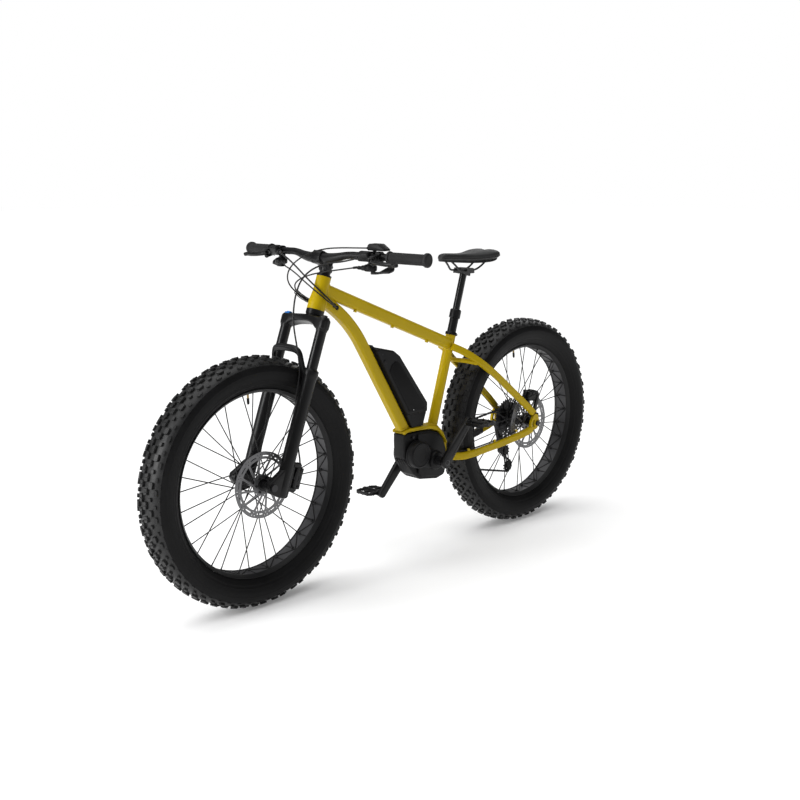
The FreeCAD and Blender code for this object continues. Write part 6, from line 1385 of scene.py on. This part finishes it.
for node, body, cx, cz, side in (("pedal_left", "left_pedal", -242.645, 450.159, 1.0), ("pedal_right", "right_pedal", -7.355, 197.841, -1.0)):
    pd = Build()

    def PT(p, cx=cx, cz=cz, side=side):
        return Vector((cx + p[0], side * p[1], cz + p[2]))
    out = fillet([(-34, 110), (34, 110), (46.5, 120), (46.5, 176), (36, 186.8), (-36, 186.8), (-46.5, 176), (-46.5, 120)], [6, 6, 8, 8, 8, 8, 8, 8], 3)
    wins = []
    for sg in (1, -1):
        w = [(sg * 11.6, 117.6), (sg * 32, 117.6), (sg * 40, 125), (sg * 40, 146.4), (sg * 11.6, 146.4)]
        wins.append(fillet(w, 3.0, 3))
        w = [(sg * 11.6, 149.8), (sg * 40, 149.8), (sg * 40, 171.6), (sg * 32, 179.4), (sg * 11.6, 179.4)]
        wins.append(fillet(w, 3.0, 3))
    pd.plate(out, wins, -4.4, 4.4, 0, PT)
    pd.lathe([(5.2, 109.4), (10.0, 109.4), (11.0, 111.0), (11.0, 120.0), (9.0, 124.0), (9.0, 180.0), (8.0, 186.0), (5.2, 186.4)], (cx, 0, cz), (0, side, 0), 28)
    for x, y in ((-43.0, 126), (-43.0, 148), (-43.0, 170), (43.0, 126), (43.0, 148), (43.0, 170), (-22, 182.4), (22, 182.4), (-22, 114.6), (22, 114.6)):
        for sg in (1, -1):
            pd.lathe([(0.0, 3.6), (2.0, 3.6), (2.0, 5.2), (1.5, 5.4), (1.5, 7.1), (1.1, 7.4), (0.0, 7.4)], PT((x, y, 0)), (0, 0, sg), 12, 1, closed=False)
    pd.done(node + "_platform", [BLACK, DSTEEL], body, "black_paint", [node], angle=40)

# ------------------------------------------------------------------ bar and stem
hb = Build()
half_bar = catmull([(347.0, 0.0, 1038.0), (347.0, 24.0, 1038.0), (346.6, 46.0, 1038.4), (343.4, 78.0, 1042.6), (339.0, 108.0, 1048.4), (335.2, 134.0, 1050.9), (331.0, 162.0, 1050.55),
                    (318.0, 247.0, 1049.3), (306.2, 325.0, 1048.15), (294.8, 400.0, 1047.05)], 6)


def bar_rad(y):
    y = abs(y)
    if y < 34.0:
        return 15.9
    t = min(1.0, (y - 34.0) / 96.0)
    return 15.9 - 4.8 * (t * t * (3 - 2 * t)) ** 0.8


full = [Vector((p.x, -p.y, p.z)) for p in reversed(half_bar)] + half_bar[1:]
hb.tube(full, [bar_rad(p.y) for p in full], 32)
hb.done("handlebar_swept", BLACK, "steering", "black_paint", ["handlebar"], angle=50)
stm = Build()
bn, ba = 35.73, 156.24
stm.lathe([(14.4, 119.6), (17.2, 119.6), (18.0, 120.6), (18.0, 143.0), (17.4, 147.0), (16.4, 148.6), (14.4, 148.8)], hp(0, 0, 0), AX, 40)
stm.prism(fillet([(-4, 124), (14, 121), (bn - 17, ba - 20), (bn - 0.6, ba - 20.5), (bn - 0.6, ba + 20.5), (bn - 12, ba + 20), (8, 147)], [4, 6, 8, 2, 2, 8, 10], 3), -18.5, 18.5, 4.0, 3, 0,
          lambda p: hp(p[0], p[2], p[1]))
# pinch slot's two bolts behind the steerer
for a_ in (127.0, 141.0):
    stm.rbox((-21.5, -7.0, a_ - 5.0), (-13.0, 7.0, a_ + 5.0), 3.6, 1.6, 1, 2, 0, head_T)
    stm.bolt(hp(-17.4, 6.8, a_), YP, 2.8, 1.6, 1)
stm.done("stem_forged", [BLACK, DSTEEL], "steering", "black_paint", ["stem"], angle=40)
hsp = Build()
hsp.lathe([(14.4, 111.5), (16.8, 111.5), (17.5, 112.2), (17.5, 118.2), (16.8, 118.9), (14.4, 118.9)], hp(0, 0, 0), AX, 40)
hsp.lathe([(0.0, 149.0), (17.0, 149.0), (17.6, 149.8), (17.6, 152.0), (16.0, 153.4), (5.2, 153.8), (4.4, 152.2), (0.0, 152.2)], hp(0, 0, 0), AX, 40, 0, closed=False)
hsp.done("headset_stack", BLACK, "steering", "black_paint", ["headset_spacers"], angle=40)
fpl = Build()
fpl.prism(fillet([(bn + 0.4, ba - 20.5), (bn + 12, ba - 20.5), (bn + 19, ba - 12), (bn + 21, ba), (bn + 19, ba + 12), (bn + 12, ba + 20.5), (bn + 0.4, ba + 20.5)], [1, 5, 8, 14, 8, 5, 1], 3), -20.0, 20.0, 2.6, 3, 0,
          lambda p: hp(p[0], p[2], p[1]))
for y in (-13.5, 13.5):
    for da in (-16.0, 16.0):
        fpl.bolt(hp(bn + 11.5, y, ba + da), NX, 3.8, 5.2, 1)
fpl.done("stem_faceplate_forged", [BLACK, DSTEEL], "steering", "black_paint", ["stem_faceplate"], angle=40)

# ------------------------------------------------------------------ bar controls
mas, pods = Build(), Build()
for side in (1, -1):
    T = bar_T(236.0, side, 17.0)
    o, d = along_bar(236.0, side), bar_axis(side)
    mas.lathe([(11.2, -8.0), (15.6, -8.0), (16.5, -7.0), (16.5, 7.0), (15.6, 8.0), (11.2, 8.0)], o, d, 40)
    mas.rbox((8.0, -16.0, -6.0), (31.0, 7.0, 13.0), 5.0, 2.5, 2, 2, 0, T)
    mas.lathe([(0.0, -58.0), (7.4, -58.0), (9.4, -55.0), (9.5, -50.0), (9.5, -12.0), (0.0, -12.0)], (27.0, 0.0, 4.0), (0, 1, 0), 32, 0, closed=False, T=T)
    mas.rbox((16.5, -53.5, 4.0), (37.5, -14.5, 22.4), 6.0, 3.0, 2, 3, 0, T)
    mas.rbox((17.5, -52.5, 21.6), (36.5, -15.5, 24.6), 5.0, 1.2, 2, 2, 1, T)
    for y in (-47.5, -20.5):
        p = T((27.0, y, 24.2))
        mas.bolt(p, T((0, 0, 1)) - T((0, 0, 0)), 2.2, 1.2, 2, 12)
    for z0, z1 in ((-9.0, -3.0), (11.0, 17.0)):
        mas.prism(fillet([(24, -8), (44, -6), (49, 3), (46, 12), (30, 12), (22, 4)], 5.0, 3), z0, z1, 1.6, 2, 0, lambda p, T=T: T((p[0], p[1], p[2])))
    zz = T((0, 0, 1)) - T((0, 0, 0))
    mas.bolt(T((42.0, 5.0, 16.6)), zz, 4.2, 2.6, 2, 18)
    mas.bolt(T((42.0, 5.0, -8.6)), -zz, 4.2, 2.6, 2, 18)
    xx = T((1, 0, 0)) - T((0, 0, 0))
    mas.lathe([(0.0, -70.0), (3.6, -70.0), (4.2, -68.0), (5.2, -66.0), (5.2, -58.0), (0.0, -57.0)], (27.0, 0.0, 4.0), (0, 1, 0), 18, 2, closed=False, T=T)
    for zc in (-10.5, 10.5):
        mas.bolt(T((16.0, 0.0, 0.0)) + zz * zc + xx * 0.0, xx, 2.8, 2.4, 2, 14)
    lv = Build()
    lv_o = fillet([(36, 3), (47, 0), (55, 12), (63, 36), (67, 66), (66, 90), (70, 100), (67, 109), (59, 110), (54, 102), (55, 86), (54, 64), (50, 40), (41, 16)],
                  [4, 5, 14, 30, 30, 14, 6, 5, 5, 7, 14, 30, 30, 12], 4)
    lv.prism(lv_o, -1.5, 9.5, 3.6, 3, 0, lambda p, T=T: T((p[0], p[1], p[2])))
    lv.lathe([(0.0, -2.5), (6.4, -2.5), (7.0, -1.8), (7.0, 9.8), (6.4, 10.5), (0.0, 10.5)], T((42.0, 5.0, 0.0)), zz, 28, 0, closed=False)
    lv.lathe([(0.0, -1.8), (2.4, -1.8), (2.4, 9.8), (0.0, 9.8)], T((51.0, 20.0, 0.0)), zz, 14, 1, closed=False)
    tag = "left" if side > 0 else "right"
    lv.done("brake_lever_%s_blade" % tag, [BLACK, DSTEEL], "brake_" + tag, "black_paint", ["brake_lever_" + tag], angle=45)

    P = bar_T(206.0, side, 0.0)
    o2 = along_bar(206.0, side)
    pods.lathe([(11.2, -5.5), (14.8, -5.5), (15.5, -4.8), (15.5, 4.8), (14.8, 5.5), (11.2, 5.5)], o2, d, 40)
    pods.rbox((-9.0, -5.0, -24.0), (12.0, 5.0, -12.0), 3.0, 1.2, 2, 2, 0, P)
    pods.lathe([(0.0, -42.8), (15.0, -42.8), (18.6, -41.0), (20.0, -38.0), (20.2, -31.0), (19.2, -26.4), (16.0, -23.4), (9.0, -21.8), (0.0, -21.6)], (6.0, 0.0, 0.0), (0, 0, 1), 44, 0, closed=False, T=P)
    pods.prism(fillet([(4, -21), (28, -20), (31, -8), (20, 14), (4, 16)], [6, 6, 8, 10, 6], 4), -40.0, -25.0, 4.5, 3, 0, lambda p, P=P: P((p[0], p[1], p[2])))
    pods.lathe([(0.0, -20.0), (8.0, -20.0), (9.6, -20.8), (9.6, -22.6), (0.0, -22.8)], (6.0, 0.0, 0.0), (0, 0, 1), 28, 1, closed=False, T=P)
    rows = [(0.0, -18.0), (5.6, -18.0)]
    h = -20.0
    while h > -33.0:
        rows += [(5.0, h), (5.6, h - 0.5), (5.6, h - 1.3), (5.0, h - 1.8)]
        h -= 2.2
    rows += [(4.2, -35.0), (3.6, -40.0), (0.0, -40.0)]
    pods.lathe(rows, (22.0, 0.0, -33.0), (0, 1, 0), 24, 0, closed=False, T=P)
    pz = P((0, 0, 1)) - P((0, 0, 0))
    pods.bolt(P((0.0, 8.0, -43.2)), -pz, 4.6, 1.0, 2, 18)
    pods.bolt(P((14.4, 0.0, 0.0)), P((1, 0, 0)) - P((0, 0, 0)), 2.8, 2.2, 2, 14)
    pa = Build()

    def lift(p, P=P):
        t = max(0.0, min(1.0, (p[1] - 14.0) / 34.0))
        return P((p[0], p[1], p[2] + (11.0 - 0.62 * (p[0] + 9.0)) * t * t * (3 - 2 * t)))
    pa_o = fillet([(-9, 2), (3, -2), (11, 8), (9, 20), (5, 30), (3, 46), (1, 65), (-8, 75), (-18, 72), (-22, 63), (-20, 50), (-15, 32), (-12, 20)], [6, 6, 8, 10, 10, 12, 9, 8, 7, 8, 14, 14, 12], 4)
    pa_i = fillet([(-7, 23), (1, 21), (-1, 33), (-4, 41), (-12, 40), (-11, 30)], [4, 4, 7, 4, 4, 7], 4)
    pa.plate(pa_o, [pa_i], -51.0, -45.2, 0, lift)
    pa.prism(fillet([(-18, 50), (-1, 48), (0, 64), (-8, 73), (-17, 70), (-21, 62)], [5, 5, 8, 6, 6, 5], 4), -53.0, -43.2, 3.4, 3, 0, lift)
    pa.lathe([(0.0, -51.6), (7.6, -51.6), (8.4, -50.8), (8.4, -44.4), (0.0, -44.2)], (0.0, 8.0, 0.0), (0, 0, 1), 28, 0, closed=False, T=P)
    for k in range(5):
        pa.rbox((-16.0 + 0.4 * k, 53.6 + 3.4 * k - 1.0, -53.6), (-4.6 - 1.2 * k, 53.6 + 3.4 * k + 0.8, -52.6), 0.6, 0.3, 2, 1, 0, lift)
    pn = "dropper_lever" if side > 0 else "shift_lever"
    pa.done(pn + "_paddle", [PLAST], "post_remote" if side > 0 else "shifter", "dark_plastic", [pn], angle=45)
mas.done("brake_masters_cast", [BLACK, PLAST, DSTEEL], "steering", "black_paint", ["brake_masters"], angle=40)
pods.done("control_pods_cased", [PLAST, BLACK, DSTEEL], "steering", "dark_plastic", ["control_pods"], angle=40)

asu = Build()
A_T = bar_T(215.2, 1, 0.0)
asu.lathe([(11.2, -3.1), (13.9, -3.1), (14.5, -2.5), (14.5, 2.5), (13.9, 3.1), (11.2, 3.1)], along_bar(215.2, 1), bar_axis(1), 40)
asu.rbox((-10.0, -3.0, 9.0), (5.0, 3.0, 20.0), 2.0, 0.8, 2, 2, 0, A_T)
asu.prism(fillet([(-20, 18), (42, 18), (42, 23), (20, 38), (-14, 38), (-20, 32)], [4, 3, 4, 7, 6, 6], 4), -25.0, 9.0, 3.0, 3, 0, lambda p: A_T((p[2], p[0], p[1])))
asu.prism(fillet([(-15, 22), (30, 22), (17, 34), (-12, 34)], 3.0, 3), -25.8, -24.4, 0.5, 2, 1, lambda p: A_T((p[2], p[0], p[1])))
for yy in (-8.0, 2.0, 12.0):
    asu.lathe([(0.0, -27.0), (2.4, -27.0), (3.2, -26.4), (3.2, -25.0), (0.0, -25.0)], A_T((0.0, yy, 28.0)), A_T((1, 0, 0)) - A_T((0, 0, 0)), 18, 0, closed=False)
asu.done("assist_unit_case", [PLAST, PLAST2], "steering", "dark_plastic", ["assist_unit"], angle=40)

# ------------------------------------------------------------------ welds, grommets, clips, chain-stay guard
def tree(*names):
    vs, ps = [], []
    for nm in names:
        n0 = len(vs)
        vs += [v.co.copy() for v in NODE[nm].data.vertices]
        ps += [[i + n0 for i in p.vertices] for p in NODE[nm].data.polygons]
    return BVHTree.FromPolygons(vs, ps)


def superellipse(w, d, n=96, e=0.45):
    out = []
    for k in range(n):
        t = 2 * math.pi * k / n
        c, s = math.cos(t), math.sin(t)
        out.append((w * abs(c) ** e * (1 if c >= 0 else -1), d * abs(s) ** e * (1 if s >= 0 else -1)))
    return out


wl = Build()


def weld(o, a, w, d, targets, r=2.3, back=70.0):
    a = Vector(a).normalized()
    u = YP if abs(a.y) < 0.9 else Vector((0, 0, 1))
    u = (u - a * u.dot(a)).normalized()
    v = a.cross(u)
    bv = tree(*targets)
    pts = []
    for x, y in superellipse(w, d, 120):
        st = Vector(o) + u * x + v * y - a * back
        hit = bv.ray_cast(st * 0.001, a, 0.2)
        if hit[0] is None:
            continue
        pts.append(hit[0] * 1000.0)
    if len(pts) < 60:
        return
    # keep only runs that stay together
    rad = [r * (0.86 + 0.14 * math.cos(k * 1.9)) for k in range(len(pts))]
    jump = max((pts[k] - pts[k - 1]).length for k in range(len(pts)))
    if jump < 14.0:
        wl.tube(pts, rad, 8, closed=True)
    else:
        run = [pts[0]]
        for k in range(1, len(pts)):
            if (pts[k] - pts[k - 1]).length > 14.0:
                if len(run) > 5:
                    wl.tube(run, r, 8)
                run = []
            run.append(pts[k])
        if len(run) > 5:
            wl.tube(run, r, 8)


td = Vector((343.0 + 241.8, 0.0, 942.1 - 709.1)).normalized()
weld((343.0, 0.0, 942.1), td, 17.3, 20.8, ["head_tube"])
weld((-241.8, 0.0, 709.1), -td, 17.3, 20.8, ["seat_tube"])
weld((350.0, 0.0, 916.4), Vector((126.2, 0.0, 88.4)), 17.3, 18.8, ["head_tube"])
weld((-21.9, 0.0, 430.0), Vector((-0.5253, 0.0, -0.8509)), 17.3, 18.8, ["motor_bracket"], back=40.0)
weld(tuple(sp(-300.0)), -SX, 17.6, 17.6, ["motor_bracket"], back=30.0)
SS = [(-231, 27.5, 704), (-277, 45, 682), (-330, 68, 644), (-404, 77, 591), (-487, 80.5, 525), (-568, 87, 459), (-622, 92.3, 410)]
CS = [(-200.5, 33, 321), (-252, 66, 317), (-318, 75, 323), (-450, 80, 335), (-560, 89, 352), (-616, 93.2, 368)]
dr = Build()
for side in (1.0, -1.0):
    if side > 0:
        o_ = fillet([(-586, 372), (-590, 390), (-603, 413), (-618, 421), (-630, 411), (-636, 394), (-635, 373), (-622, 362), (-598, 358)], [4, 8, 8, 10, 10, 10, 10, 10, 6], 4)
    else:
        o_ = fillet([(-586, 372), (-590, 392), (-604, 416), (-622, 424), (-636, 412), (-642, 392), (-651, 342), (-646, 330), (-633, 331), (-624, 356), (-598, 357)],
                    [4, 8, 8, 10, 10, 12, 6, 7, 7, 12, 6], 4)
    win = fillet([(-596, 376), (-598, 390), (-606, 401), (-612, 396), (-611, 372), (-603, 366)], 3.0, 3)
    dr.plate(o_, [win, circle(-624.0, 383.0, 6.4, 28)], 88.7 * side, 98.3 * side, 0)
    dr.lathe([(6.4, 86.8 * side), (10.6, 86.8 * side), (11.4, 87.6 * side), (11.4, 98.0 * side), (10.6, 98.8 * side), (6.4, 98.8 * side)], (-624.0, 0.0, 383.0), (0, 1, 0), 36)
dr.done("dropouts_forged", PAINT, "frame", "frame_paint", ["dropouts"], angle=35)
# weld beads in the lighter yellow, a painted highlight along the joints
wl.done("welds", HIGHLIGHT_PAINT, "frame", "frame_paint", [], angle=60)

sc_ = Build()
sc_.lathe([(17.5, -3.0), (19.6, -3.0), (20.4, -2.2), (20.4, 6.4), (19.4, 7.6), (15.6, 7.6), (15.6, 0.2), (17.5, 0.2)], sp(0.0), SX, 48)
sc_.rbox((-26.0, -6.4, -2.2), (-18.0, 6.4, 6.2), 3.0, 1.4, 1, 2, 0, lambda p: sp(p[2], p[0], p[1]))
sc_.bolt(sp(2.0, -22.8, 6.2), YP, 3.0, 2.4, 1, 18)
sc_.done("seat_clamp_slim", [BLACK, DSTEEL], "frame", "black_paint", ["seat_clamp"], angle=40)

gr = Build()
for side in (1, -1):
    for x, z in ((293.0, 881.0), (304.0, 889.0)):
        gr.lathe([(0.0, 14.0), (6.0, 14.0), (6.0, 17.2), (5.0, 18.0), (3.8, 18.2), (3.0, 17.8), (0.0, 17.6)], (x, 0, z), (0, side, 0), 24, 0, closed=False)
# guard along the right chain stay
path = catmull([(x, -y, z) for x, y, z in CS[1:5]], 8)
rg = []
for i in range(2, len(path) - 3):
    t = (path[i + 1] - path[i - 1]).normalized()
    upv = (Vector((0, 0, 1)) - t * t.z).normalized()
    sd = t.cross(upv)
    rg.append([path[i] + sd * x + upv * y for x, y in superellipse(9.7, 13.7, 32, 0.55)])
gr.rings(rg)
gr.done("grommets_and_guard", GRIP, "frame", "grip_rubber", [], angle=40)
cl = Build()
for i in range(8, len(hose_r) - 30, 18):
    t = (hose_r[i + 1] - hose_r[i - 1]).normalized()
    cl.lathe([(2.7, -5.0), (4.4, -5.0), (4.9, -4.2), (4.9, 4.2), (4.4, 5.0), (2.7, 5.0)], hose_r[i], t, 20)
# clips take the same lighter yellow with its painted highlight
cl.done("hose_clips", HIGHLIGHT_PAINT, "frame", "frame_paint", [], angle=40)

# ------------------------------------------------------------------ carried-over CAD nodes
LOOK = {
    "head_tube": PAINT, "top_tube": PAINT, "down_tube": PAINT, "seat_tube": PAINT, "motor_bracket": PAINT, "dropouts": PAINT, "seat_stays": PAINT,
    "chain_stays": PAINT, "seat_clamp": BLACK, "headset_cups": BLACK, "headset_spacers": BLACK, "stem": BLACK, "stem_faceplate": BLACK, "handlebar": BLACK,
    "fork_crown": BLACK, "fork_lowers": BLACK, "dropper_outer": BLACK, "crank_arms": BLACK, "front_hub": BLACK, "rear_hub": BLACK, "front_spokes": DSTEEL,
    "rear_spokes": DSTEEL, "front_caliper": BLACK, "rear_caliper": BLACK, "brake_masters": BLACK, "brake_lever_left": BLACK, "brake_lever_right": BLACK,
    "stanchions": GLOSS, "dropper_inner": GLOSS, "front_axle": ANOD, "rear_axle": ANOD, "lockout_knob": BLUE, "crank_axles": DSTEEL, "motor_housing": PLAST,
    "motor_covers": PLAST, "battery_case": PLAST2, "battery_cradle": PLAST, "control_pods": PLAST, "assist_unit": PLAST, "dropper_lever": PLAST, "shift_lever": PLAST,
    "derailleur_body": BLACK, "derailleur_cage": BLACK, "pedal_left": BLACK, "pedal_right": BLACK}
SOFTEN = {"motor_bracket": 2.0, "dropouts": 1.6, "seat_clamp": 0.8, "stem": 1.6, "stem_faceplate": 1.2, "fork_crown": 3.0, "fork_lowers": 2.0, "crank_arms": 2.4,
          "front_caliper": 1.6, "rear_caliper": 1.6, "brake_masters": 1.8, "brake_lever_left": 2.0, "brake_lever_right": 2.0, "motor_housing": 3.0,
          "motor_covers": 1.6, "battery_case": 2.6, "battery_cradle": 1.6, "control_pods": 1.8, "assist_unit": 1.8, "dropper_lever": 1.8, "shift_lever": 1.8,
          "derailleur_body": 1.8, "derailleur_cage": 0.5, "pedal_left": 1.2, "pedal_right": 1.2}
for node, mat in LOOK.items():
    ob = NODE[node]
    if ob.hide_render:
        continue
    ob.data.materials.clear()
    ob.data.materials.append(mat)
    if node in SOFTEN:
        bv = ob.modifiers.new("edges", "BEVEL")
        bv.width = SOFTEN[node] * 0.001
        bv.segments = 2
        bv.limit_method = "ANGLE"
        bv.angle_limit = math.radians(40)
        bv.harden_normals = True
